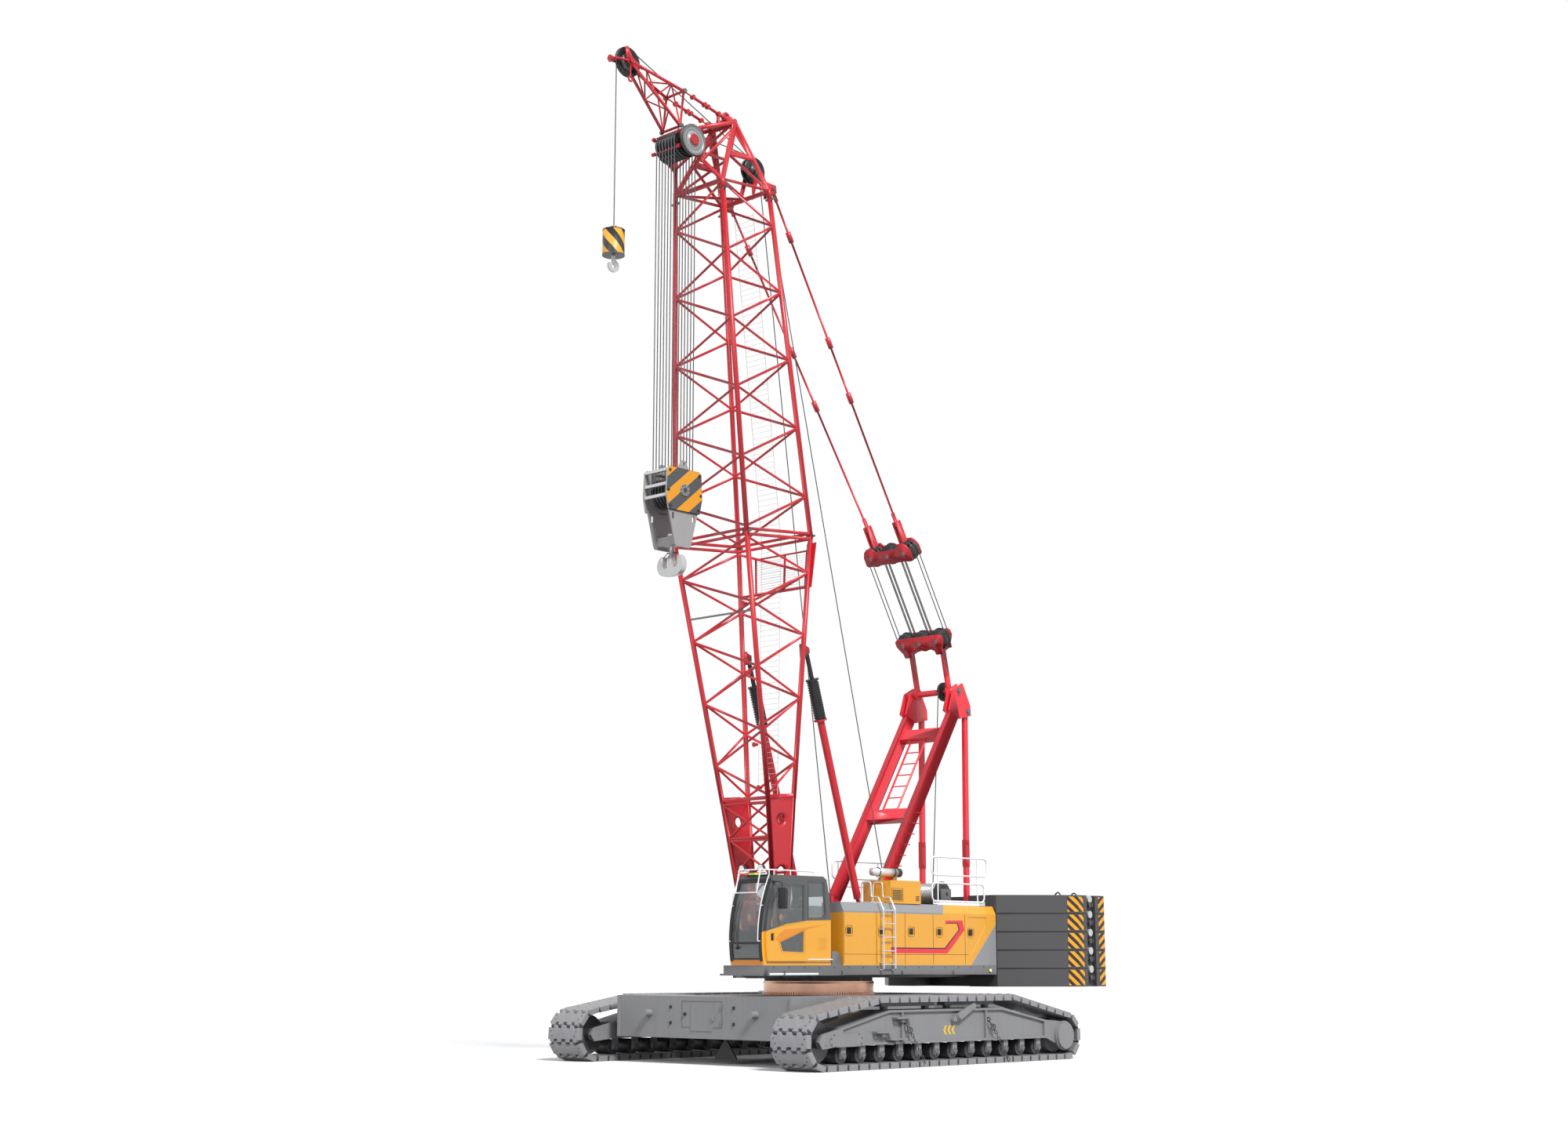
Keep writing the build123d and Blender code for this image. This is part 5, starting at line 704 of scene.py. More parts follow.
def belt_runs():
    """Arcs and lines of the belt: kind, start or middle, radius or end, angle, sweep and length."""
    normals, runs = [], []
    for (x0, z0, r0), (x1, z1, r1) in zip(BELT_WHEELS, BELT_WHEELS[1:] + BELT_WHEELS[:1]):
        tilt = (r0 - r1) / hypot(x1 - x0, z1 - z0)
        normals.append(atan2(z1 - z0, x1 - x0) - pi / 2 + atan2(tilt, (1 - tilt * tilt) ** 0.5))
    for i, (x, z, r) in enumerate(BELT_WHEELS):
        sweep = (normals[i] - normals[i - 1]) % (2 * pi)
        runs.append(("arc", (x, z), r, normals[i - 1], sweep, r * sweep))
        nx, nz, nr = BELT_WHEELS[(i + 1) % 4]
        side = (cos(normals[i]), sin(normals[i]))
        a = (x + r * side[0], z + r * side[1])
        b = (nx + nr * side[0], nz + nr * side[1])
        runs.append(("line", a, b, normals[i], 0.0, hypot(b[0] - a[0], b[1] - a[1])))
    return runs


belt = belt_runs()
SHOE_PITCH = sum(run[5] for run in belt) / SHOES


def on_belt(distance, height, y):
    """A point of the belt and the way out of it there."""
    for kind, p, q, start, sweep, length in belt:
        if distance <= length:
            t = distance / length
            angle = start + sweep * t if kind == "arc" else start
            out = Vector((cos(angle), 0, sin(angle)))
            if kind == "arc":
                return at(p[0], y, p[1]) + out * (q + height), out
            return at(p[0] + (q[0] - p[0]) * t, y, p[1] + (q[1] - p[1]) * t) + out * height, out
        distance -= length


print("shoe pitch", round(SHOE_PITCH, 4), "m")

# %% [markdown]
# A shoe is one casting. Near both ends it has two cored holes, drawn as black discs whose black is
# painted shade. Its front and rear edges are stepped so that they mesh with the next shoe's, and each
# joint has a pin that shows on both sides.

# %% Track shoes
FINGER = 0.034


def shoe_mesh():
    """One shoe, lying flat: U along the belt, V across it, and the belt line at height 0."""
    bm = bmesh.new()
    rising = [-0.5, -0.5] + [1, 1, -1, -1] * 3 + [1, 1, -0.5, -0.5]
    places = [-0.500, -0.445, -0.430, -0.330, -0.315, -0.215, -0.200, -0.080, -0.065,
              0.065, 0.080, 0.200, 0.215, 0.315, 0.330, 0.430, 0.445, 0.500]
    edge = list(zip(places, rising))
    half = SHOE_PITCH / 2 - 0.008
    outline = [(half + FINGER * s, v) for v, s in edge]
    outline += [(-half + FINGER * (0.5 if abs(s) < 1 else s), v) for v, s in reversed(edge)]
    add_plate(bm, [(u, v, -0.035) for u, v in outline], (0, 0, SHOE_TOP + 0.035))
    top = [e for e in bm.edges if all(v.co.z > 0 for v in e.verts)]
    bmesh.ops.bevel(bm, geom=top, offset=0.007, segments=2, profile=0.5, affect="EDGES", material=-1)
    mesh = bpy.data.meshes.new("one_shoe")
    bm.to_mesh(mesh)
    bm.free()
    return mesh


one_shoe = shoe_mesh()
for side, name in LEFT_AND_RIGHT:
    shoes, holes, pins = new_meshes(3)
    for i in range(SHOES):
        seat, out = on_belt((i + 0.5) * SHOE_PITCH, 0.0, side * TRACK_Y)
        frame_axes = Matrix((ACROSS.cross(out), ACROSS, out)).transposed().to_4x4()
        placed = one_shoe.copy()
        placed.transform(Matrix.Translation(seat) @ frame_axes)
        shoes.from_mesh(placed)
        bpy.data.meshes.remove(placed)
        # Each cored hole is a black disc: its black is painted shade inside the hole.
        for dy in (-0.42, -0.37, 0.37, 0.42):
            face, out = on_belt((i + 0.5) * SHOE_PITCH, SHOE_TOP, side * TRACK_Y + dy)
            along = ACROSS.cross(out) * (0.050 if abs(dy) < 0.40 else -0.050)
            add_rod(holes, face + along - out * 0.01, face + along + out * 0.0015, 0.017, 8)
        joint, out = on_belt(i * SHOE_PITCH + 0.0001, 0.0, side * TRACK_Y)
        add_pin(pins, joint, 0.508, 0.030, 10)
    track = make_piece("track_shoes_" + name, shoes, shoe_steel, "undercarriage", smooth=35)
    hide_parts("track_" + name)
    make_piece("shoe_holes_" + name, holes, plastic, "undercarriage")
    make_piece("track_pins_" + name, pins, dark_steel, "undercarriage", smooth=40)

# %% [markdown]
# Each track roller turns on a fixed axle whose ends are clamped by four screws in a round cap. The
# caps show below the frame's lower flange as a long row. The sprocket's hub has a ring of bolts.

# %% Roller caps and side frame fittings
FIRST_ROLLER, LAST_ROLLER, ROLLER_Z = 3.300, -3.180, 0.290

for side, name in LEFT_AND_RIGHT:
    caps, bolts = new_meshes(2)
    for i in range(12):
        x = FIRST_ROLLER - (FIRST_ROLLER - LAST_ROLLER) / 11 * i
        for face in (-1, 1):
            y = side * TRACK_Y + face * 0.316
            add_stub(caps, at(x, y - face * 0.004, ROLLER_Z), ACROSS * face * 0.026, 0.070, 20, 0.062)
            ring = [at(x + 0.045 * cos(a), y + face * 0.022, ROLLER_Z + 0.045 * sin(a))
                    for a in (0.8, 2.35, 3.95, 5.5)]
            bolt_heads(bolts, ring, (0, face, 0), 0.009, 0.008)
    out = side * (TRACK_Y + 0.380)
    hub = [at(-4.000 + 0.235 * cos(a), out + side * 0.072, 0.520 + 0.235 * sin(a))
           for a in [k * pi / 8 for k in range(16)]]
    bolt_heads(bolts, hub, (0, side, 0), 0.016, 0.016)
    make_piece("roller_caps_" + name, caps, frame_grey, "undercarriage", smooth=40)
    make_piece("frame_bolts_" + name, bolts, dark_steel, "undercarriage")

# %% [markdown]
# The outer side of each frame carries a bolted cover over the idler's adjuster, three yellow chevrons
# that show which way is forward, and two lashing chains. A chain is welded oval links, each turned a
# quarter from the last, so one link is made by spinning a bar round two half circles.

# %% Covers, chevrons and chains
def add_link(bm, middle, direction, turn, length=0.105, width=0.062, bar=0.0095):
    """One oval link of round bar, with its length along a direction."""
    direction = Vector(direction).normalized()
    flat = Matrix.Rotation(turn, 3, direction) @ direction.orthogonal().normalized()
    axis = direction.cross(flat)
    bend, straight = width / 2 - bar, length / 2 - width / 2
    for end in (1, -1):
        add_ring(bm, middle + direction * straight * end, axis, bend, bar, 8, 6, pi,
                 axis.cross(direction) * -end)
        a = middle + flat * bend * end - direction * straight
        add_stub(bm, a, direction * 2 * straight, bar, 6)


def add_chain(bm, points, pitch=0.084):
    for a, b in zip(points, points[1:]):
        count = max(1, round((b - a).length / pitch))
        for i in range(count):
            add_link(bm, a.lerp(b, (i + 0.5) / count), b - a, pi / 2 * (i % 2))


for side, name in LEFT_AND_RIGHT:
    out = side * 3.760
    cover, chevrons, chains, studs = new_meshes(4)
    ends = [(3.655, 0.592, 270), (2.920, 0.592, 90)]
    outline = [at(x + 0.128 * cos(a), out, z + 0.128 * sin(a))
               for x, z, start in ends for a in [radians(start + 18 * k) for k in range(11)]]
    add_plate(cover, outline, (0, side * 0.012, 0))
    bolt_heads(studs, [p + Vector((0, side * 0.012, 0)) + (at(3.29, out, 0.592) - p).normalized() * 0.032
                       for p in outline[::3]], (0, side, 0), 0.013, 0.012)
    add_plate(cover, [at(3.905, out, 0.50), at(3.905, out, 0.53), at(3.80, out, 0.53), at(3.80, out, 0.50)],
              (0, side * 0.010, 0))
    for start in (-0.241, -0.105, 0.031):
        tip = [(start, 0.630), (start + 0.060, 0.630), (start + 0.126, 0.723), (start + 0.060, 0.816),
               (start, 0.816), (start + 0.066, 0.723)]
        add_plate(chevrons, [at(x, side * 3.7055, z) for x, z in tip], (0, side * 0.0015, 0))
    for top, ring, end in (((1.478, 0.895), (1.353, 0.751), (0.997, 0.075)),
                           ((-1.304, 0.892), (-1.440, 0.754), (-1.827, 0.040))):
        low = at(end[0], side * 3.915, end[1])
        hold = at(ring[0], side * 3.800, ring[1])
        add_chain(chains, [at(top[0], side * 3.780, top[1]), hold, low])
        add_ring(chains, hold, (0.2, side, 0), 0.058, 0.013, 20, 8)
        add_ring(chains, at(top[0], side * 3.775, top[1] + 0.03), (1, 0, 0), 0.040, 0.014, 20, 8)
    make_piece("adjuster_cover_" + name, cover, carrier_grey, "undercarriage")
    make_piece("adjuster_screws_" + name, studs, dark_steel, "undercarriage")
    make_piece("chevrons_" + name, chevrons, chevron_yellow, "undercarriage")
    make_piece("lashing_chains_" + name, chains, dark_steel, "undercarriage", smooth=50)

# %% [markdown]
# The ballast boxes on the carrier's ends have a door in the middle with a round knob and dark star
# screws beside it. Below the door a triangular plate stands for the support under the carrier, and its
# black is painted shade.

# %% Ballast fittings
trim, knobs, foot = new_meshes(3)
for end in (1, -1):
    face = end * 3.646
    for y in (-0.950, 0.950):
        for z in (1.190, 0.859):
            star = [at(face - end * 0.03, y + r * cos(k * pi / 6), z + r * sin(k * pi / 6))
                    for k in range(12) for r in [0.040 if k % 2 else 0.022]]
            add_plate(knobs, star, (end * 0.055, 0, 0))
    for y0, y1, z0, z1 in ((-0.60, 0.60, 1.312, 1.328), (-0.60, 0.60, 0.772, 0.788),
                           (-0.608, -0.592, 0.772, 1.328), (0.592, 0.608, 0.772, 1.328)):
        add_box(trim, at(min(face, face + end * 0.006), y0, z0), at(max(face, face + end * 0.006), y1, z1))
    add_rod(knobs, at(face, -0.50, 1.05), at(face + end * 0.05, -0.50, 1.05), 0.035, 20, 0.028)
    for z in (0.90, 1.20):
        add_rod(trim, at(face + end * 0.018, 0.60, z - 0.05), at(face + end * 0.018, 0.60, z + 0.05), 0.018)
    # The black triangle below each door is painted shade under the carrier, in the place of its support.
    add_plate(foot, [at(end * 2.9, -0.34, 0.10), at(end * 2.9, 0.34, 0.10), at(end * 2.9, 0.0, 0.543)],
              (end * 0.04, 0, 0))
make_piece("ballast_doors", trim, frame_grey, "undercarriage", smooth=40)
make_piece("ballast_star_screws", knobs, plastic, "undercarriage", smooth=30)
make_piece("ballast_foot_plates", foot, plastic, "undercarriage")

# %% [markdown]
# The slewing race carries its gear outside, low down, where the pinions reach it, and a thin lip
# above. Its preserving film gives it the copper colour.

# %% Slewing race
TEETH = 132
teeth = bmesh.new()
for i in range(TEETH):
    a = 2 * pi * i / TEETH
    way, side_way = Vector((cos(a), sin(a), 0)), Vector((-sin(a), cos(a), 0))
    root = at(0, 0, 1.4245) + way * 1.228
    outline = [root - side_way * 0.018, root + side_way * 0.018, root + way * 0.030 + side_way * 0.008,
               root + way * 0.030 - side_way * 0.008]
    add_plate(teeth, outline, (0, 0, 0.060))
add_rod(teeth, at(0, 0, 1.6675), at(0, 0, 1.7125), 1.246, 96, 1.240)
make_piece("race_teeth_and_lip", teeth, race_steel, "undercarriage", smooth=40)

# %% [markdown]
# The machinery house is pressed sheet: doors with a flush black latch in a raised yellow surround, a
# lapped seam between each two doors, and a broad red line with a black edge that turns up at its
# rear end. The lettering of the real line is left off.

# %% House side
def add_frame(bm, outline, width, push):
    """A flat border inside an outline, pushed out."""
    face = bm.faces.new([bm.verts.new(Vector(p)) for p in outline])
    rim = bmesh.ops.inset_individual(bm, faces=[face], thickness=width, use_even_offset=True)["faces"]
    bm.faces.remove(face)
    push_out(bm, rim, push)


def round_corners(outline, radius, steps=4):
    """The outline with an arc of points in place of each corner."""
    points = []
    for i, corner in enumerate(outline):
        back = (outline[i - 1] - corner).normalized()
        ahead = (outline[(i + 1) % len(outline)] - corner).normalized()
        half = back.angle(ahead) / 2
        reach = radius / (sin(half) / cos(half))
        centre = corner + (back + ahead).normalized() * (radius / sin(half))
        first = (corner + back * reach - centre).normalized()
        last = (corner + ahead * reach - centre).normalized()
        points += [centre + first.slerp(last, k / steps) * radius for k in range(steps + 1)]
    return points


def flat_on_side(points, y):
    return [at(x, y, z) for x, z in points]


def side_panel(x0, x1, z0, z1, y):
    """The four corners of an upright panel on a side."""
    return flat_on_side([(x0, z0), (x1, z0), (x1, z1), (x0, z1)], y)


LATCHES = (0.845, -0.233, -1.249, -2.239, -3.380)
SEAM_END = HOUSE_FRONT - 0.02
SEAMS = (-0.070, -1.038, -2.022, -3.174, SEAM_END)
for side, name in LEFT_AND_RIGHT:
    skin = side * HOUSE_SKIN
    red, black, surround, latch, seam = new_meshes(5)
    line = [(-2.469, 3.066), (-3.082, 3.075), (-3.160, 2.862), (-2.520, 2.326), (-0.551, 2.330),
            (-0.553, 2.454), (-2.427, 2.454), (-2.932, 2.859), (-2.887, 3.001), (-2.469, 2.996)]
    add_plate(red, flat_on_side(line, skin), (0, side * 0.0015, 0))
    edge = [(-2.474, 3.014), (-2.915, 3.020), (-2.975, 2.860), (-2.452, 2.428), (-0.552, 2.428),
            (-0.553, 2.454), (-2.427, 2.454), (-2.932, 2.859), (-2.887, 3.001), (-2.469, 2.996)]
    add_plate(black, flat_on_side(edge, skin + side * 0.0014), (0, side * 0.0010, 0))
    for x in LATCHES:
        raised = round_corners(side_panel(x - 0.108, x + 0.108, 2.695, 2.913, skin), 0.040)
        add_frame(surround, raised, 0.034, (0, side * 0.012, 0))
        plate = round_corners(side_panel(x - 0.066, x + 0.066, 2.736, 2.876, skin), 0.014, 2)
        add_plate(latch, plate, (0, side * 0.006, 0))
        add_stub(latch, at(x, skin + side * 0.006, 2.790), ACROSS * side * 0.010, 0.018)
    for x in SEAMS:
        add_plate(seam, side_panel(x - 0.006, x + 0.006, 2.10, 3.19, skin), (0, side * 0.0012, 0))
    add_plate(seam, side_panel(SEAM_END, -3.30, 2.297, 2.305, skin), (0, side * 0.0008, 0))
    make_piece("house_line_red_" + name, red, stripe_red, "upper")
    make_piece("house_line_black_" + name, black, stripe_black, "upper")
    make_piece("latch_surrounds_" + name, surround, yellow_finish, "upper", smooth=40)
    make_piece("latches_" + name, latch, plastic, "upper", smooth=40)
    make_piece("door_seams_" + name, seam, rubber, "upper")

# %% [markdown]
# On the sill below the doors are a yellow marker lamp at the rear, small lashing eyes, and the bolts
# that hold the deck down.

# %% Sill fittings
lamp, lamp_body, eyes = new_meshes(3)
for side, eye_places, first_bolt in ((1, (2.9, 1.1, -0.9, -2.7), 0), (-1, (-0.9, -2.7), 5)):
    add_stub(lamp, at(-4.085, side * HOUSE_SKIN, 1.945), ACROSS * side * 0.025, 0.045, 24, 0.036)
    add_stub(lamp_body, at(-4.085, side * 1.674, 1.945), ACROSS * side * 0.010, 0.058, 24)
    for x in eye_places:
        add_ring(eyes, at(x, side * 1.690, 1.905), (1, 0, 0), 0.030, 0.009, 16, 6)
    bolts = [at(3.2 - 0.47 * k, side * HOUSE_SKIN, 2.020) for k in range(first_bolt, 16)]
    bolt_heads(eyes, bolts, (0, side, 0), 0.013, 0.010)
make_piece("marker_lamps", lamp, yellow_lens, "upper", smooth=40)
make_piece("marker_lamp_rims", lamp_body, rubber, "upper", smooth=40)
make_piece("sill_eyes", eyes, dark_steel, "upper", smooth=40)

# %% [markdown]
# The roof box breathes through a slotted grille low on its side, and the silencer is an aluminised
# drum with straps and a black tail pipe. Along both edges of the roof runs a kick plate with a row
# of round holes, drawn as black discs whose black is painted shade.

# %% Roof box and silencer
ROOF_BOX_SKIN = 1.609
grille, straps, tail, kick, kick_holes = new_meshes(5)
for k in range(9):
    z = 3.500 + 0.026 * k
    add_box(grille, at(-1.02, ROOF_BOX_SKIN, z), at(-0.70, 1.618, z + 0.011))
add_frame(grille, side_panel(-1.05, -0.67, 3.475, 3.755, 1.610), 0.018, (0, 0.010, 0))
for k in range(4):
    add_box(grille, at(-1.62, ROOF_BOX_SKIN, 3.490 + 0.03 * k), at(-1.50, 1.616, 3.503 + 0.03 * k))
make_piece("roof_box_grille", grille, plastic, "upper")
add_rod(tail, at(-1.362, 1.250, 4.120), at(-1.250, 1.250, 4.120), 0.100, 24)
make_piece("tail_pipe_end", tail, plastic, "upper", smooth=40)
for x in (-1.15, -0.62):
    add_rod(straps, at(x, 1.250, 4.120), at(x + 0.03, 1.250, 4.120), 0.104, 28)
make_piece("silencer_straps", straps, dark_steel, "upper", smooth=40)
for side in (1, -1):
    y = side * 1.540
    add_box(kick, at(-4.10, y - 0.004, 3.432), at(-2.20, y + 0.004, 3.520))
    # Each hole is a black disc through the plate: its black is painted shade.
    for k in range(28):
        hole = at(-4.06 + 0.068 * k, side * 1.5325, 3.476)
        add_stub(kick_holes, hole, ACROSS * side * 0.0125, 0.018, 10)
make_piece("kick_plates", kick, white_tube, "upper")
make_piece("kick_plate_holes", kick_holes, plastic, "upper")

# %% [markdown]
# Each counterweight slab is a casting painted dark grey, with a dark joint to the next one. Its outer
# corners are cut off, and the cuts and the strips beside them carry yellow and black warning
# stripes. Each side has a lashing disc and two bars for every slab, and four loops stand on top.

# %% Counterweight
bands, back_bands, slab_seams, loops, discs = new_meshes(5)
HOUSE_REAR, FRONT_CUT, REAR_CUT, WEIGHT_REAR = -4.361, -5.760, -6.830, -7.000
WEIGHT_SIDE, CUT_SIDE = 3.000, 2.830
FILM = 0.002


def add_upright(bm, a, b, z0, z1, push):
    """A thin plate on the line between two (X, Y) places, from one height to another."""
    add_plate(bm, [at(*a, z0), at(*b, z0), at(*b, z1), at(*a, z1)], push)


for layer in range(SLABS):
    seam_z = SLAB_LOW + SLAB * layer
    heights = (seam_z + 0.035, SLAB_LOW + SLAB * (layer + 1) - 0.035)
    for side in (1, -1):
        outer, cut_y, out = side * WEIGHT_SIDE, side * CUT_SIDE, Vector((0, side * FILM, 0))
        slant = Vector((1, side, 0)).normalized() * FILM
        back_slant = Vector((-1, side, 0)).normalized() * FILM
        add_upright(bands, (FRONT_CUT, outer), (-5.590, cut_y), *heights, slant)
        add_upright(back_bands, (WEIGHT_REAR, cut_y), (WEIGHT_REAR, side * 2.600), *heights, (-FILM, 0, 0))
        add_upright(bands, (-5.985, outer), (-5.762, outer), *heights, out)
        add_upright(back_bands, (-6.825, outer), (-6.600, outer), *heights, out)
        add_upright(back_bands, (REAR_CUT, outer), (WEIGHT_REAR, cut_y), *heights, back_slant)
        front_path = ((HOUSE_REAR, 1.690), (-5.590, CUT_SIDE), (FRONT_CUT, WEIGHT_SIDE),
                      (-6.110, WEIGHT_SIDE))
        rear_path = ((-6.480, WEIGHT_SIDE), (REAR_CUT, WEIGHT_SIDE), (WEIGHT_REAR, CUT_SIDE),
                     (WEIGHT_REAR, 0.010))
        for path in (front_path, rear_path) if layer else ():
            add_path(slab_seams, [at(x, side * y, seam_z) for x, y in path], 0.011, 6)
        for x in (-6.42, -6.17):
            middle = at(x, side * 2.955, SLAB_LOW + SLAB * (layer + 0.5))
            add_rod(loops, middle + Vector((0, 0, 0.06)), middle - Vector((0, 0, 0.06)), 0.016, 10)
        drop = 0.09 if layer == SLABS - 1 else 0.02
        disc = at(-6.300, side * 2.900, SLAB_LOW + SLAB * (layer + 1) - drop)
        add_stub(discs, disc, ACROSS * side * 0.075, 0.085, 28)
for side in (1, -1):
    for x in (-6.60, -5.95):
        add_ring(loops, at(x, side * 2.30, SLAB_LOW + SLAB * SLABS), (1, 0, 0), 0.075, 0.018, 16, 8, pi,
                 (0, 1, 0))
make_piece("slab_seams", slab_seams, rubber, "upper")
make_piece("counterweight_stripes", bands, weight_stripes, "upper")
make_piece("counterweight_rear_stripes", back_bands, rear_stripes, "upper")
make_piece("lashing_discs", discs, hook_steel, "upper", smooth=40)
make_piece("lifting_loops", loops, dark_steel, "upper", smooth=40)

# %% [markdown]
# The cab's glass is bonded into black rubber frames. Each frame is an outline spread by some 40 mm
# and inset by some 45 mm, so that it laps the pane's edge. The windscreen's frame follows the cab's bowed
# front, which is an arc through the sill, the bow and the brow.

# %% Window frames
def spread(outline, reach):
    middle = sum(outline, Vector()) / len(outline)
    return [p + (p - middle).normalized() * reach for p in outline]


def circle_through(a, b, c):
    """Middle and radius of the circle through three (X, Z) places."""
    (ax, az), (bx, bz), (cx, cz) = a, b, c
    d = 2 * (ax * (bz - cz) + bx * (cz - az) + cx * (az - bz))
    x = ((ax**2 + az**2) * (bz - cz) + (bx**2 + bz**2) * (cz - az) + (cx**2 + cz**2) * (az - bz)) / d
    z = ((ax**2 + az**2) * (cx - bx) + (bx**2 + bz**2) * (ax - cx) + (cx**2 + cz**2) * (bx - ax)) / d
    return x, z, hypot(ax - x, az - z)


BOW_X, BOW_Z, BOW_R = circle_through((3.484, 2.064), (3.541, 2.700), (3.195, 3.925))


def cab_front(z, out=0.0):
    """X of the cab's front at a height, a little further out."""
    return BOW_X + ((BOW_R + out) ** 2 - (z - BOW_Z) ** 2) ** 0.5


def add_front_strip(bm, y0, y1, z0, z1, near=-0.004, far=0.008, steps=18):
    """A strip that follows the bowed front between two places across and two heights."""
    heights = [z0 + (z1 - z0) * k / steps for k in range(steps + 1)]
    outline = [at(cab_front(z, far), y0, z) for z in heights]
    outline += [at(cab_front(z, near), y0, z) for z in reversed(heights)]
    add_plate(bm, outline, (0, y1 - y0, 0))


door_seals, cab_seals = new_meshes(2)
DOOR_WINDOWS = (((2.328, 3.729), (3.037, 3.722), (3.239, 3.300), (3.331, 2.840), (2.329, 2.994)),
                ((2.311, 2.778), (3.035, 2.532), (2.965, 2.355), (2.312, 2.334)))
for window in DOOR_WINDOWS:
    add_frame(door_seals, spread(flat_on_side(window, 1.703), 0.040), 0.045, (0, 0.005, 0))
quarter = ((1.641, 3.815), (2.105, 3.815), (2.105, 3.060), (1.641, 3.077), (1.575, 3.140))
add_frame(cab_seals, spread(flat_on_side(quarter, CAB_SKIN), 0.040), 0.048, (0, 0.005, 0))
inner = ((1.560, 3.060), (1.640, 3.800), (3.020, 3.800), (3.200, 3.300), (3.300, 2.860), (3.200, 2.780),
         (1.560, 2.820))
add_frame(cab_seals, spread(flat_on_side(inner, 0.700), 0.035), 0.045, (0, -0.005, 0))
for y0, y1, z0, z1 in ((0.705, 0.790, 2.150, 3.850), (1.565, 1.650, 2.150, 3.850),
                       (0.705, 1.650, 2.180, 2.206), (0.780, 1.575, 2.500, 2.545),
                       (0.705, 1.650, 3.790, 3.860)):
    add_front_strip(cab_seals, y0, y1, z0, z1)
make_piece("door_window_frames", door_seals, rubber, "cab_door")
make_piece("cab_window_frames", cab_seals, rubber, "upper")

# %% [markdown]
# Below the windscreen's cross bar a dark sheet stands just behind the pane. A wiper is parked upright
# at its side, two white guard bars stand in front of the edges, and on the roof's front edge sit a row
# of signal lamps and two work lamps.

# %% Cab front
dark_sheet, wiper, guard = new_meshes(3)
# A black sheet just inside the pane below the cross bar makes that part look dark.
add_front_strip(dark_sheet, 0.790, 1.565, 2.206, 2.520, -0.030, -0.024)
for y in (0.745, 1.610):
    heights = [4.03 - (4.03 - 2.56) * k / 16 for k in range(17)]
    path = [at(cab_front(min(z, 3.93), 0.075), y, z) for z in heights]
    add_path(guard, path, 0.011, 10)
    add_rod(guard, path[-1], at(cab_front(2.56, -0.01), y, 2.56), 0.011, 10)
    add_rod(guard, path[8], at(cab_front(path[8].z, -0.01), y, path[8].z), 0.010, 10)
blade = [at(cab_front(z, 0.030), 0.860 + (z - 2.70) * 0.10, z) for z in (2.60, 2.80, 3.00, 3.20, 3.40)]
add_path(wiper, blade, 0.009, 8)
add_rod(wiper, at(cab_front(2.42, 0.01), 0.94, 2.42), at(cab_front(3.00, 0.055), 0.895, 3.00), 0.011, 8)
add_rod(wiper, at(cab_front(2.42, -0.01), 0.94, 2.42), at(cab_front(2.42, 0.05), 0.94, 2.42), 0.026)
make_piece("windscreen_tint", dark_sheet, plastic, "upper")
make_piece("windscreen_guards", guard, white_tube, "upper", smooth=40)
make_piece("windscreen_wiper", wiper, plastic, "upper", smooth=40)

lamps = dict(zip((red_lens, green_lens, yellow_lens, clear_lens), new_meshes(4)))
for (finish, bm), y in zip(lamps.items(), (0.86, 1.02, 1.18, 1.34)):
    add_box(bm, at(3.20, y, 3.941), at(3.26, y + 0.14, 3.985))
    if finish is not clear_lens:
        make_piece(finish.name.split("_")[0] + "_signal_lamp", bm, finish, "upper")
lamp_case = bmesh.new()
add_box(lamp_case, at(3.08, 0.83, 3.9405), at(3.20, 1.53, 3.99))
for y in (0.90, 1.46):
    add_rod(lamp_case, at(3.30, y, 4.09), at(3.38, y, 4.075), 0.060, 20, 0.075)
    add_rod(lamps[clear_lens], at(3.38, y, 4.075), at(3.386, y, 4.074), 0.068, 20)
    add_rod(lamp_case, at(3.32, y, 4.04), at(3.32, y, 4.07), 0.012, 8)
make_piece("lamp_cases", lamp_case, plastic, "upper", smooth=40)
make_piece("work_lamp_glasses", lamps[clear_lens], clear_lens, "upper", smooth=40)

# %% [markdown]
# On the cab's side are a slotted panel for the heater's air, a white hand rail, a door handle, and a
# white tread strip along the sill. The mirror's glass faces backwards.

# %% Cab side
slots_bm, rail, handle, strip, glass_bm = new_meshes(5)
heater = round_corners(side_panel(1.535, 1.807, 2.362, 2.674, CAB_SKIN), 0.03)
add_frame(slots_bm, heater, 0.014, (0, 0.0015, 0))
for k in range(9):
    add_box(slots_bm, at(1.565, 1.6545, 2.392 + 0.029 * k), at(1.777, 1.6565, 2.404 + 0.029 * k))
corners = ((1.426, CAB_SKIN), (1.426, 1.715), (2.170, 1.715), (2.170, CAB_SKIN))
add_path(rail, [at(x, y, 2.186) for x, y in corners], 0.014)
add_box(handle, at(3.235, 1.690, 2.575), at(3.300, 1.700, 2.715))
add_rod(handle, at(3.268, 1.706, 2.600), at(3.268, 1.706, 2.690), 0.011, 10)
for z in (2.600, 2.690):
    add_rod(handle, at(3.268, 1.692, z), at(3.268, 1.712, z), 0.009, 8)
add_box(strip, at(1.828, 1.675, 1.866), at(3.329, 1.680, 1.906))
for k in range(30):
    add_rod(strip, at(1.87 + 0.048 * k, 1.680, 1.886), at(1.87 + 0.048 * k, 1.684, 1.886), 0.011, 8)
low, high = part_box("mirror")
inner_y, outer_y = high.y - 0.215, high.y - 0.015
pane = ((inner_y, 3.240), (outer_y, 3.240), (outer_y, 3.650), (inner_y, 3.650))
panel = round_corners([Vector((low.x - 0.0005, y, z)) for y, z in pane], 0.035)
add_plate(glass_bm, panel, (-0.002, 0, 0))
make_piece("heater_slots", slots_bm, orange_finish, "upper", smooth=40)
make_piece("cab_hand_rail", rail, white_tube, "upper", smooth=40)
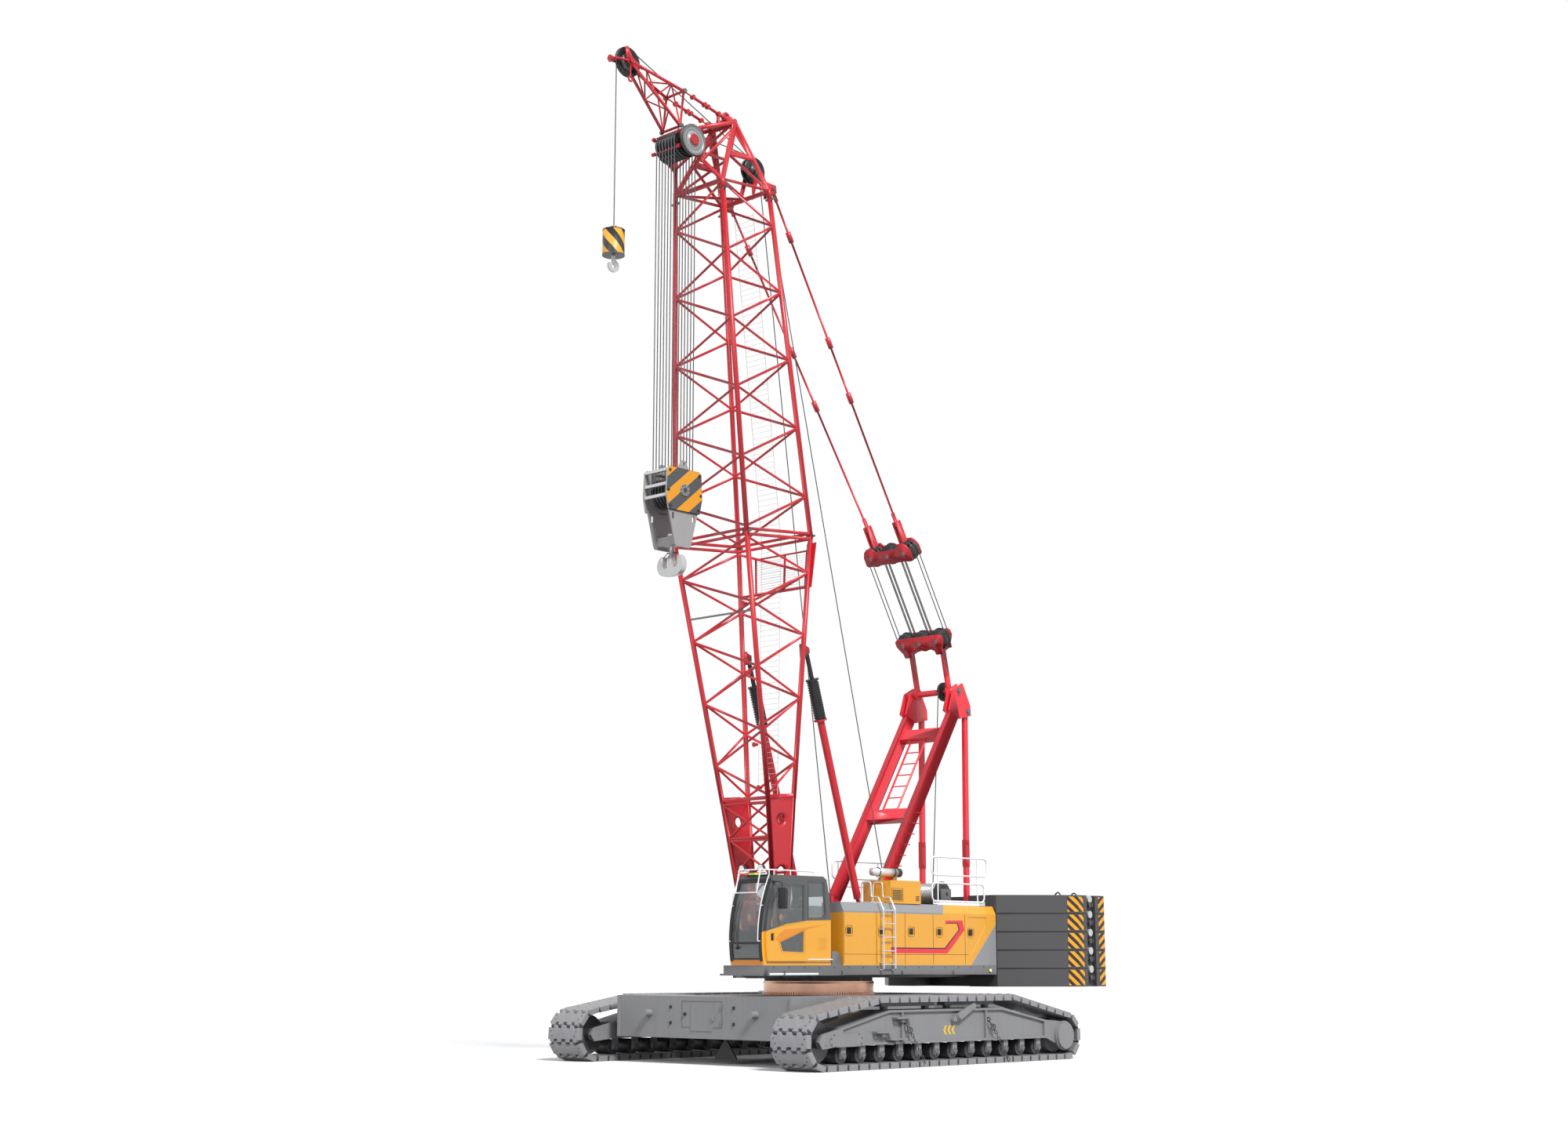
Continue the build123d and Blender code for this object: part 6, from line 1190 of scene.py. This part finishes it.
make_piece("door_handle", handle, plastic, "cab_door", smooth=40)
make_piece("tread_strip", strip, white_tube, "upper", smooth=40)
make_piece("mirror_glass", glass_bm, rail_steel, "upper")

# %% [markdown]
# The driver's seat is upholstered foam on a plastic pan: a cushion, a back and a head rest with
# rounded edges, made as boxes with a wide bevel. Two consoles with a lever each stand beside it, and
# a screen on a stalk stands in front.

# %% Cab interior
def add_pad(low, high, edge, lean=0.0):
    bm = bmesh.new()
    add_box(bm, low, high)
    bmesh.ops.bevel(bm, geom=list(bm.edges), offset=edge, segments=4, profile=0.5, affect="EDGES",
                    material=-1)
    if lean:
        bmesh.ops.rotate(bm, cent=Vector(low), matrix=Matrix.Rotation(lean, 3, "Y"), verts=bm.verts)
    return bm


SEAT_Y = 1.1775
seat_pan = add_pad(at(2.05, SEAT_Y - 0.22, 2.44), at(2.56, SEAT_Y + 0.22, 2.52), 0.03)
cushion = add_pad(at(2.06, SEAT_Y - 0.25, 2.485), at(2.60, SEAT_Y + 0.25, 2.625), 0.05)
seat_back = add_pad(at(2.02, SEAT_Y - 0.235, 2.61), at(2.15, SEAT_Y + 0.235, 3.24), 0.05, -0.12)
head_rest = add_pad(at(1.935, SEAT_Y - 0.14, 3.26), at(2.035, SEAT_Y + 0.14, 3.46), 0.04, -0.12)
for name, bm in (("seat_cushion", cushion), ("seat_back", seat_back), ("seat_head_rest", head_rest)):
    pad = make_piece(name, bm, cloth, "upper", smooth=60)
seat = make_piece("seat_pan", seat_pan, plastic, "upper", smooth=60)
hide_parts("cab_seat")

controls, screen = new_meshes(2)
for y in (SEAT_Y - 0.36, SEAT_Y + 0.33):
    add_box(controls, at(2.12, y - 0.055, 2.60), at(2.66, y + 0.055, 2.72))
    add_rod(controls, at(2.56, y, 2.72), at(2.58, y, 2.86), 0.012, 10)
    add_rod(controls, at(2.575, y, 2.83), at(2.60, y, 2.96), 0.026, 12, 0.020)
    add_box(controls, at(2.12, y - 0.05, 2.14), at(2.30, y + 0.05, 2.60))
add_rod(controls, at(3.12, SEAT_Y, 2.85), at(3.06, SEAT_Y, 3.02), 0.016, 10)
add_box(controls, at(3.02, SEAT_Y - 0.13, 2.99), at(3.05, SEAT_Y + 0.13, 3.17))
add_box(screen, at(3.014, SEAT_Y - 0.115, 3.005), at(3.019, SEAT_Y + 0.115, 3.155))
make_piece("cab_controls", controls, plastic, "upper", smooth=40)
make_piece("cab_screen", screen, clear_lens, "upper")

# %% [markdown]
# All the running ropes are greased wire. Taut parts are straight tubes, the turns on a drum are rings
# beside each other, and each sheave holds a full ring of rope in its groove.

# %% Ropes on sheaves and drums
ROPE = 0.012


def rope_turns(name, rings, body):
    bm = bmesh.new()
    for centre, axis, radius in rings:
        add_ring(bm, centre, axis, radius, ROPE, 40)
    make_piece(name, bm, rope_steel, body, smooth=60)


def turns_at(middle, places, radius):
    return [(middle + ACROSS * y, ACROSS, radius + ROPE) for y in places]


FALL_YS = [(i - 3) * 0.096 for i in range(7)]
block_axle = Vector((HEAD_AXLE.x, 0, BLOCK_AXLE_Z))
head_turns = turns_at(HEAD_AXLE, FALL_YS, 0.307) + turns_at(HEAD_AXLE, (0.531, 0.559), 0.332)
rope_turns("head_sheave_ropes", head_turns, "head_sheaves")
rope_turns("tip_sheave_rope", turns_at(TIP_AXLE, (0,), 0.312), "tip_sheave")
rope_turns("guide_sheave_ropes", turns_at(GUIDE_AXLE, (-0.070, 0.070), 0.276), "boom")
rope_turns("block_sheave_ropes", turns_at(block_axle, FALL_YS, 0.307), "hook_block")

WINCHES = (("main_drum", -2.050, 2.800, 0.290, 0.430), ("aux_drum", -0.350, 2.620, 0.270, 0.430),
           ("boom_hoist_drum", -3.900, 3.720, 0.190, 0.390))
for name, x, z, barrel, half in WINCHES:
    bm = bmesh.new()
    turns = int(2 * half / 0.052)
    for k in range(turns):
        y = -half + 2 * half * (k + 0.5) / turns
        add_ring(bm, at(x, y, z), ACROSS, barrel + 0.048, 0.026, 40, 8)
    make_piece(name + "_rope", bm, drum_rope, name, smooth=60)

# %% [markdown]
# The falls, the single line and the ropes between the two rope blocks run between the bodies that
# hold their ends. Each is a straight tube with points only at its ends.

# %% Falls and lines
def straight_rope(bm, a, b):
    add_rod(bm, a, b, ROPE, 8)


def blended_rope(name, bm, node=None):
    piece = make_object(name, bm, rope_steel, smooth=60)
    if node:
        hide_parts(node)
    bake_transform(piece)


falls = bmesh.new()
for y in FALL_YS:
    for side in (-1, 1):
        x = HEAD_AXLE.x + side * 0.319
        straight_rope(falls, (x, y, HEAD_AXLE.z), (x, y, BLOCK_AXLE_Z))
blended_rope("falls_rope", falls,
             "main_falls")
single = bmesh.new()
AUX_X = TIP_AXLE.x + 0.3243
straight_rope(single, (AUX_X, 0, TIP_AXLE.z), (AUX_X, 0, 17.745))
blended_rope("single_line_rope", single,
             "aux_line")

hoist = bmesh.new()
for y in (-0.755, -0.275, -0.240, 0.240, 0.275, 0.755):
    for level in (-0.065, 0.065):
        shift = ACROSS * y + HOIST_SIDE * level
        straight_rope(hoist, SPREADER + shift, BRIDLE + shift)
blended_rope("boom_hoist_ropes", hoist)

# %% [markdown]
# The hoist lines leave their drums at the back and climb behind the boom to the guide sheaves on its
# head, and from there run over the head's top to the head and tip sheaves. The luffing line leaves
# its own drum for the sheave on the gantry's axle.

# %% Hoist lines
def tangent_line(bm, a, ra, b, rb, y0, y1, side):
    """The outer tangent of two circles in the side view, on one side of the way from a to b."""
    dx, dz = b.x - a.x, b.z - a.z
    length = hypot(dx, dz)
    heading, tilt = atan2(dz, dx), atan2((ra - rb) * side, (length ** 2 - (ra - rb) ** 2) ** 0.5)
    normal = heading + side * pi / 2 - tilt
    n = Vector((cos(normal), 0, sin(normal)))
    p, q = a + n * ra, b + n * rb
    straight_rope(bm, Vector((p.x, y0, p.z)), Vector((q.x, y1, q.z)))


main_line = bmesh.new()
tangent_line(main_line, at(-2.050, 0, 2.800), 0.350, GUIDE_AXLE, 0.288, 0.15, 0.070, 1)
tangent_line(main_line, at(-0.350, 0, 2.620), 0.330, GUIDE_AXLE, 0.288, -0.12, -0.070, 1)
blended_rope("hoist_lines", main_line)
over = bmesh.new()
tangent_line(over, GUIDE_AXLE, 0.288, HEAD_AXLE, 0.319, 0.070, 0.288, 1)
tangent_line(over, GUIDE_AXLE, 0.288, TIP_AXLE, 0.324, -0.070, 0.0, 1)
make_piece("lines_over_head", over, rope_steel, "boom", smooth=60)
luffing = bmesh.new()
tangent_line(luffing, at(-3.900, 0, 3.720), 0.240, GANTRY_AXLE, 0.220, 0.33, 0.33, -1)
add_ring(luffing, GANTRY_AXLE + ACROSS * 0.33, ACROSS, 0.208 + ROPE, ROPE, 32, 8)
make_piece("luffing_line", luffing, rope_steel, "upper", smooth=60)

# %% [markdown]
# A backstop's spring is a bar wound round its rod between two collars. The coil is a spin with a
# rise, wound close, since the spring is slack with the boom up.

# %% Backstop springs and fittings
STOP_WAY = Vector((0.2965, 0, 0.9550)).normalized()
COIL_TURNS, COIL_LENGTH = 15, 0.86
COIL_STEPS = COIL_TURNS * 20
for side, name in LEFT_AND_RIGHT:
    coil = bmesh.new()
    foot = at(-0.380, side * 0.900, 3.350) + STOP_WAY * 4.310
    start = foot + ACROSS * 0.132
    lie = Matrix.Translation(start) @ aimed(STOP_WAY, "Y", "X")
    circle = bmesh.ops.create_circle(coil, cap_ends=True, segments=8, radius=0.019, matrix=lie)
    geometry = circle["verts"] + list(coil.edges) + list(coil.faces)
    bmesh.ops.spin(coil, geom=geometry, cent=foot, axis=STOP_WAY, dvec=STOP_WAY * (COIL_LENGTH / COIL_STEPS),
                   angle=2 * pi * COIL_TURNS, steps=COIL_STEPS)
    make_piece("stop_spring_" + name, coil, spring_steel, "backstop_rods", smooth=60)

# %% [markdown]
# The hook block is two striped cheeks with white edges, tied by bright cross bars. Its axle ends in a
# round boss with a ring of small screws, black screws hold the cheeks, and a wire latch stands on
# each side of the hook. The round weight has a dark rim above and below and a dark neck.

# %% Hook block fittings
BX = HEAD_AXLE.x
CHEEK_OUT = 0.377
cheek = [(-0.50, 12.56), (-0.44, BLOCK_HIGH), (0.44, BLOCK_HIGH), (0.50, 12.56), (0.53, 12.02),
         (0.46, BLOCK_LOW), (-0.46, BLOCK_LOW), (-0.53, 12.02)]
edges, bars, screws, bosses = new_meshes(4)
for side in (1, -1):
    outline = [Vector((BX + x, side * (CHEEK_OUT - 0.041), z)) for x, z in cheek]
    add_frame(edges, spread(outline, 0.004), 0.006, (0, side * 0.042, 0))
    spots = [(-0.44, 12.54), (0.44, 12.54), (-0.48, 12.10), (0.48, 12.10), (-0.42, 11.76), (0.42, 11.76)]
    bolt_heads(screws, [Vector((BX + x, side * CHEEK_OUT, z)) for x, z in spots], (0, side, 0), 0.030, 0.022)
    ring_y = side * (CHEEK_OUT + 0.019)
    ring = [Vector((BX + 0.100 * cos(a), ring_y, BLOCK_AXLE_Z + 0.100 * sin(a)))
            for a in [k * pi / 4 for k in range(8)]]
    bolt_heads(screws, ring, (0, side, 0), 0.017, 0.004)
    boss = Vector((BX, side * (CHEEK_OUT + 0.018), BLOCK_AXLE_Z))
    add_stub(bosses, boss, ACROSS * side * 0.014, 0.062, 24, 0.055)
for x0, x1 in ((-0.515, -0.49), (0.49, 0.515)):
    for z in (12.55, 12.24, 12.00):
        add_box(bars, (BX + x0, -0.336, z - 0.032), (BX + x1, 0.336, z + 0.032))
make_piece("block_cheek_edges", edges, warm_white, "hook_block")
make_piece("block_cross_bars", bars, rail_steel, "hook_block")
make_piece("block_screws", screws, plastic, "hook_block", smooth=40)
make_piece("block_boss_caps", bosses, dark_steel, "hook_block", smooth=40)

latches = bmesh.new()
for side in (1, -1):
    top, tip = Vector((BX, side * 0.085, 10.72)), Vector((BX, side * 0.235, 10.72))
    for dx in (-0.045, 0.045):
        shift = Vector((dx, 0, 0))
        add_rod(latches, top + shift + Vector((0, 0, 0.10)), tip + shift, 0.010, 8)
    add_rod(latches, tip + Vector((-0.055, 0, 0)), tip + Vector((0.055, 0, 0)), 0.012, 8)
    add_rod(latches, top + Vector((-0.055, 0, 0.10)), top + Vector((0.055, 0, 0.10)), 0.016, 10)
make_piece("hook_latches", latches, dark_steel, "main_hook", smooth=40)
cap = bmesh.new()
for z0, z1 in ((17.645, 17.662), (17.085, 17.102)):
    add_rod(cap, (weight_middle.x, 0, z0), (weight_middle.x, 0, z1), 0.245, 40)
add_rod(cap, (weight_middle.x, 0, 17.66), (weight_middle.x, 0, 17.735), 0.085, 24, 0.070)
make_piece("barrel_rims", cap, dark_steel, "aux_weight", smooth=40)

# %% [markdown]
# The boom's own trim: a gangway of thin rungs behind it, a small platform of grating between red
# bars, short brackets and a grey bar in front, and pins with cotter rings where the two sections and
# the head are joined.

# %% Boom trim
LATTICE = ((3.340, 0.700, 0.405), (9.150, 1.129, 1.024), (17.240, 0.754, 0.749))
pins, plates, grating, bars = new_meshes(4)


def half_sizes(along):
    """Half width and half depth of the boom's lattice."""
    for (a0, w0, d0), (a1, w1, d1) in zip(LATTICE, LATTICE[1:]):
        if along < a1 or a1 == LATTICE[-1][0]:
            t = (along - a0) / (a1 - a0)
            return w0 + (w1 - w0) * t, d0 + (d1 - d0) * t


def behind(along, gap, y):
    """A point behind the lattice, a gap away from it."""
    return on_boom(along, -half_sizes(along)[1] - gap, y)


for along in (9.150, 16.970):
    w, d = half_sizes(along)
    for sy in (-1, 1):
        for sf in (-1, 1):
            spot = on_boom(along, sf * d, sy * w)
            add_pin(pins, spot, 0.115, 0.030)
            add_ring(pins, spot + ACROSS * sy * 0.103, ALONG, 0.040, 0.005, 12, 6)
for along, y in ((3.62, 0.60), (4.55, 0.64), (6.10, 0.72), (7.60, 0.88)):
    spot = on_boom(along, half_sizes(along)[1] + 0.05, y)
    add_stub(plates, spot, FRONT * 0.09, 0.035)
    add_stub(plates, spot + FRONT * 0.09, FRONT * 0.02, 0.055)
w, d = half_sizes(7.45)
add_rod(bars, on_boom(7.45, d * 0.98, -w + 0.02), on_boom(7.45, d * 0.98, w - 0.02), 0.024)
make_piece("section_pins", pins, pin_steel, "boom", smooth=40)
make_piece("boom_brackets", plates, boom_red, "boom", smooth=40)
make_piece("boom_cross_bar", bars, carrier_grey, "boom", smooth=40)
for k in range(112):
    along = 3.45 + 0.12 * k
    add_rod(grating, behind(along, 0.035, -0.42), behind(along, 0.035, 0.18), 0.004, 5)
for y in (-0.42, 0.18):
    for a, b in ((3.45, 9.15), (9.15, 16.8)):
        add_rod(grating, behind(a, 0.035, y), behind(b, 0.035, y), 0.006, 6)
make_piece("gangway_rungs", grating, rail_steel, "boom", smooth=40)
frame_bars, mesh_lines = new_meshes(2)
for y in (-0.62, 0.30, 0.98):
    add_rod(frame_bars, behind(8.02, 0.05, y * 0.95), behind(8.86, 0.05, y), 0.026, 8)
w, d = half_sizes(8.02)
add_rod(frame_bars, behind(8.02, 0.03, -w), behind(8.02, 0.03, w), 0.034, 10)
add_rod(frame_bars, behind(8.84, 0.04, -0.62), behind(8.84, 0.04, 0.98), 0.022, 8)
side_strip = ((8.00, 0.95), (8.00, 1.13), (9.00, 1.27), (9.00, 0.99))
add_plate(frame_bars, [behind(along, 0.03, y) for along, y in side_strip], FRONT * -0.02)
for k in range(14):
    along = 8.07 + 0.058 * k
    add_rod(mesh_lines, behind(along, 0.055, -0.62), behind(along, 0.055, 0.98), 0.005, 5)
make_piece("platform_frame", frame_bars, boom_red, "boom", smooth=40)
make_piece("platform_grating", mesh_lines, rail_steel, "boom", smooth=40)

# %% [markdown]
# At the head, the axle of the sheaves is held by a red hub with screws, guards of red rod keep the
# ropes in their grooves, and the jib's pins have round heads.

# %% Head trim
hub, guards, heads = new_meshes(3)
add_stub(hub, HEAD_AXLE + ACROSS * 0.600, ACROSS * 0.022, 0.135, 28, 0.120)
for k in range(8):
    a = 2 * pi * k / 8
    spot = HEAD_AXLE + ACROSS * 0.618 + Vector((cos(a), 0, sin(a))) * 0.095
    add_stub(heads, spot, ACROSS * 0.014, 0.014, 6)
for turn in (-25, 35):
    way = FRONT * cos(radians(turn)) + ALONG * sin(radians(turn))
    for y in (-0.405, 0.405):
        add_stub(guards, HEAD_AXLE + ACROSS * y + way * 0.30, way * 0.085, 0.045, 8)
    add_pin(guards, HEAD_AXLE + way * 0.362, 0.42, 0.012, 8)
for place in (on_boom(18.380, 1.510), on_boom(19.220, 1.340)):
    for sy in (-1, 1):
        add_stub(heads, place + ACROSS * sy * 0.300, ACROSS * sy * 0.050, 0.048, 16)
for sy in (-1, 1):
    add_stub(hub, TIP_AXLE + ACROSS * sy * 0.150, ACROSS * sy * 0.016, 0.060, 20)
    add_pin(heads, on_boom(17.250, -0.930, sy * 0.690), 0.085, 0.040, 16)
make_piece("head_hubs", hub, boom_red, "boom", smooth=40)
make_piece("rope_guards", guards, boom_red, "boom", smooth=40)
make_piece("head_pins", heads, pin_steel, "boom", smooth=40)

# %% [markdown]
# Between the two side plates at the boom's foot, crossed tubes tie the front and the rear edges. The
# stays of the short jib have thick links with an eye at each end, a small bracket with a ring stands
# at its tip, the gantry's left leg has steps, and its backstays have links at their feet.

# %% Foot lacing, jib stays and steps
lacing, links, steps_bm = new_meshes(3)
for face in (-1, 1):
    rows = [(0.95, 0.505), (1.75, 0.560), (2.55, 0.630), (3.30, 0.695)]
    for (a0, w0), (a1, w1) in zip(rows, rows[1:]):
        f0, f1 = face * (0.19 + 0.065 * a0), face * (0.19 + 0.065 * a1)
        add_rod(lacing, on_boom(a0, f0, -w0), on_boom(a1, f1, w1), 0.026, 10)
        add_rod(lacing, on_boom(a0, f0, w0), on_boom(a1, f1, -w1), 0.026, 10)
        add_rod(lacing, on_boom(a1, f1, -w1), on_boom(a1, f1, w1), 0.030, 10)
for sy in (-1, 1):
    low, high = on_boom(18.860, 0.060, sy * 0.280), on_boom(19.220, 1.340, sy * 0.280)
    way = (high - low).normalized()
    for t0, t1 in ((0.16, 0.42), (0.50, 0.78)):
        a, b = low.lerp(high, t0), low.lerp(high, t1)
        add_rod(links, a, b, 0.034, 8)
        for end in (a, b):
            add_pin(links, end, 0.045, 0.052, 14)
leg_low, leg_high = at(-1.310, 0.762, 3.600), at(-4.157, 0.762, 8.145)
half, out = Vector((0.11, 0, 0)), ACROSS * 0.14
for k in range(7):
    spot = leg_low.lerp(leg_high, 0.10 + 0.055 * k)
    add_path(steps_bm, [spot - half, spot - half + out, spot + half + out, spot + half], 0.010, 8)
make_piece("boom_foot_lacing", lacing, boom_red, "boom", smooth=40)
ahead, down = Vector((0.42, 0, -0.06)), Vector((0, 0, -1))
for y in (-0.105, 0.105):
    add_stub(links, TIP_AXLE + ACROSS * y, ahead, 0.028, 8)
add_pin(links, TIP_AXLE + ahead, 0.125, 0.034)
add_stub(links, TIP_AXLE + ahead, Vector((0.11, 0, 0)), 0.062, 20, 0.070)
hang = TIP_AXLE + ACROSS * 0.105
add_stub(links, hang, down * 0.37, 0.018, 8)
add_ring(links, hang + down * 0.425, ACROSS, 0.052, 0.020, 20)
make_piece("jib_stay_links", links, boom_red, "boom", smooth=40)
make_piece("leg_steps", steps_bm, boom_red, "upper", smooth=40)
axle_disc = bmesh.new()
add_stub(axle_disc, GANTRY_AXLE + ACROSS * 0.296, ACROSS * 0.068, 0.233, 36)
make_piece("gantry_sheave", axle_disc, spring_steel, "upper", smooth=40)
links = bmesh.new()
for sy in (-1, 1):
    for x0, z0 in ((-4.503, 4.45), (-4.512, 4.95)):
        spot = at(x0, sy * 0.680, z0)
        add_pin(links, spot, 0.075, 0.045, 16)
    add_box(links, at(-4.575, sy * 0.680 - 0.060, 4.38), at(-4.440, sy * 0.680 + 0.060, 5.02))
make_piece("backstay_links", links, boom_red, "upper", smooth=40)

# %% [markdown]
# The gantry's pins have round heads with a keeper plate, and each rope block shows the ends of its
# three axles as grey discs and has rope in all its grooves.

# %% Gantry and rope block trim
BLOCK_AXLES, GROOVES = (-0.515, 0.0, 0.515), (-0.065, 0.065)
for body, middle in (("spreader", SPREADER), ("bridle", BRIDLE)):
    caps = bmesh.new()
    for y in BLOCK_AXLES:
        for side in (1, -1):
            spot = middle + ACROSS * y + HOIST_SIDE * side * 0.223
            add_stub(caps, spot, HOIST_SIDE * side * 0.012, 0.050, 24, 0.044)
    make_piece(body + "_axle_caps", caps, carrier_grey, body, smooth=40)
    turns = [(middle + ACROSS * y + HOIST_SIDE * level, HOIST_SIDE, 0.244)
             for y in BLOCK_AXLES for level in GROOVES]
    rope_turns(body + "_sheave_ropes", turns, body)
pins = bmesh.new()
for sy in (-1, 1):
    for place in (GANTRY_AXLE, at(-4.540, 0, 8.120)):
        spot = place + ACROSS * sy * 0.790
        add_rod(pins, spot - ACROSS * sy * 0.01, spot + ACROSS * sy * 0.028, 0.070, 24, 0.060)
        add_box(pins, spot + Vector((-0.045, -0.012, -0.115)), spot + Vector((0.045, 0.012, -0.075)))
    spot = at(-1.310, sy * 0.765, 3.600)
    add_rod(pins, spot - ACROSS * sy * 0.01, spot + ACROSS * sy * 0.030, 0.075, 24)
    spot = at(-0.380, sy * 0.990, 3.350)
    add_stub(pins, spot, ACROSS * sy * 0.016, 0.055, 20)
make_piece("gantry_pins", pins, pin_steel, "upper", smooth=40)

# %% [markdown]
# The studio is plain: a pale floor that runs out to a white horizon. The world is a soft grey for
# lighting and white where the camera, a shiny face or a pane looks at it. One large lamp stands high
# on the crane's left and a weaker one fills from its front.

# %% Floor, world and lamps
def looked_at(tree):
    """1 for the rays of the camera, of a shiny face and of a pane."""
    ray = add_node(tree, "ShaderNodeLightPath").outputs
    return maths(tree, "MAXIMUM", maths(tree, "MAXIMUM", ray["Is Camera Ray"], ray["Is Glossy Ray"]),
                 ray["Is Transmission Ray"])


floor_bm = bmesh.new()
add_box(floor_bm, (-400, -400, -0.06), (400, 400, -0.001))
floor_mesh = bpy.data.meshes.new("floor")
floor_bm.to_mesh(floor_mesh)
floor_bm.free()
floor_finish, tree, shader, place = new_finish("studio_floor_paint")
pale = paint_over(tree, noise(tree, place, 0.6, 3.0), "#FFFFFF", "#FBFBFB")
set_inputs(tree, shader, {"Base Color": paint_over(tree, looked_at(tree), "#8C8C8E", pale), "Roughness": 0.9})
floor_mesh.materials.append(floor_finish)
floor = bpy.data.objects.new("floor", floor_mesh)
bpy.context.scene.collection.objects.link(floor)

world = bpy.data.worlds.new("studio")
bpy.context.scene.world = world
world.use_nodes = True
tree = world.node_tree
backdrop = paint_over(tree, looked_at(tree), "#ABAEB2", "#FFFFFF")
set_inputs(tree, tree.nodes["Background"], {"Color": backdrop, "Strength": 1.0})


def add_sun(name, toward, strength, softness):
    data = bpy.data.lights.new(name, "SUN")
    data.energy, data.angle = strength, radians(softness)
    lamp = bpy.data.objects.new(name, data)
    bpy.context.scene.collection.objects.link(lamp)
    lamp.matrix_world = aimed(toward)


add_sun("key_lamp", (0.28, 0.85, 0.85), 3.2, 14)
add_sun("fill_lamp", (0.95, 0.10, 0.45), 0.75, 30)
bpy.context.scene.view_settings.view_transform = "Standard"
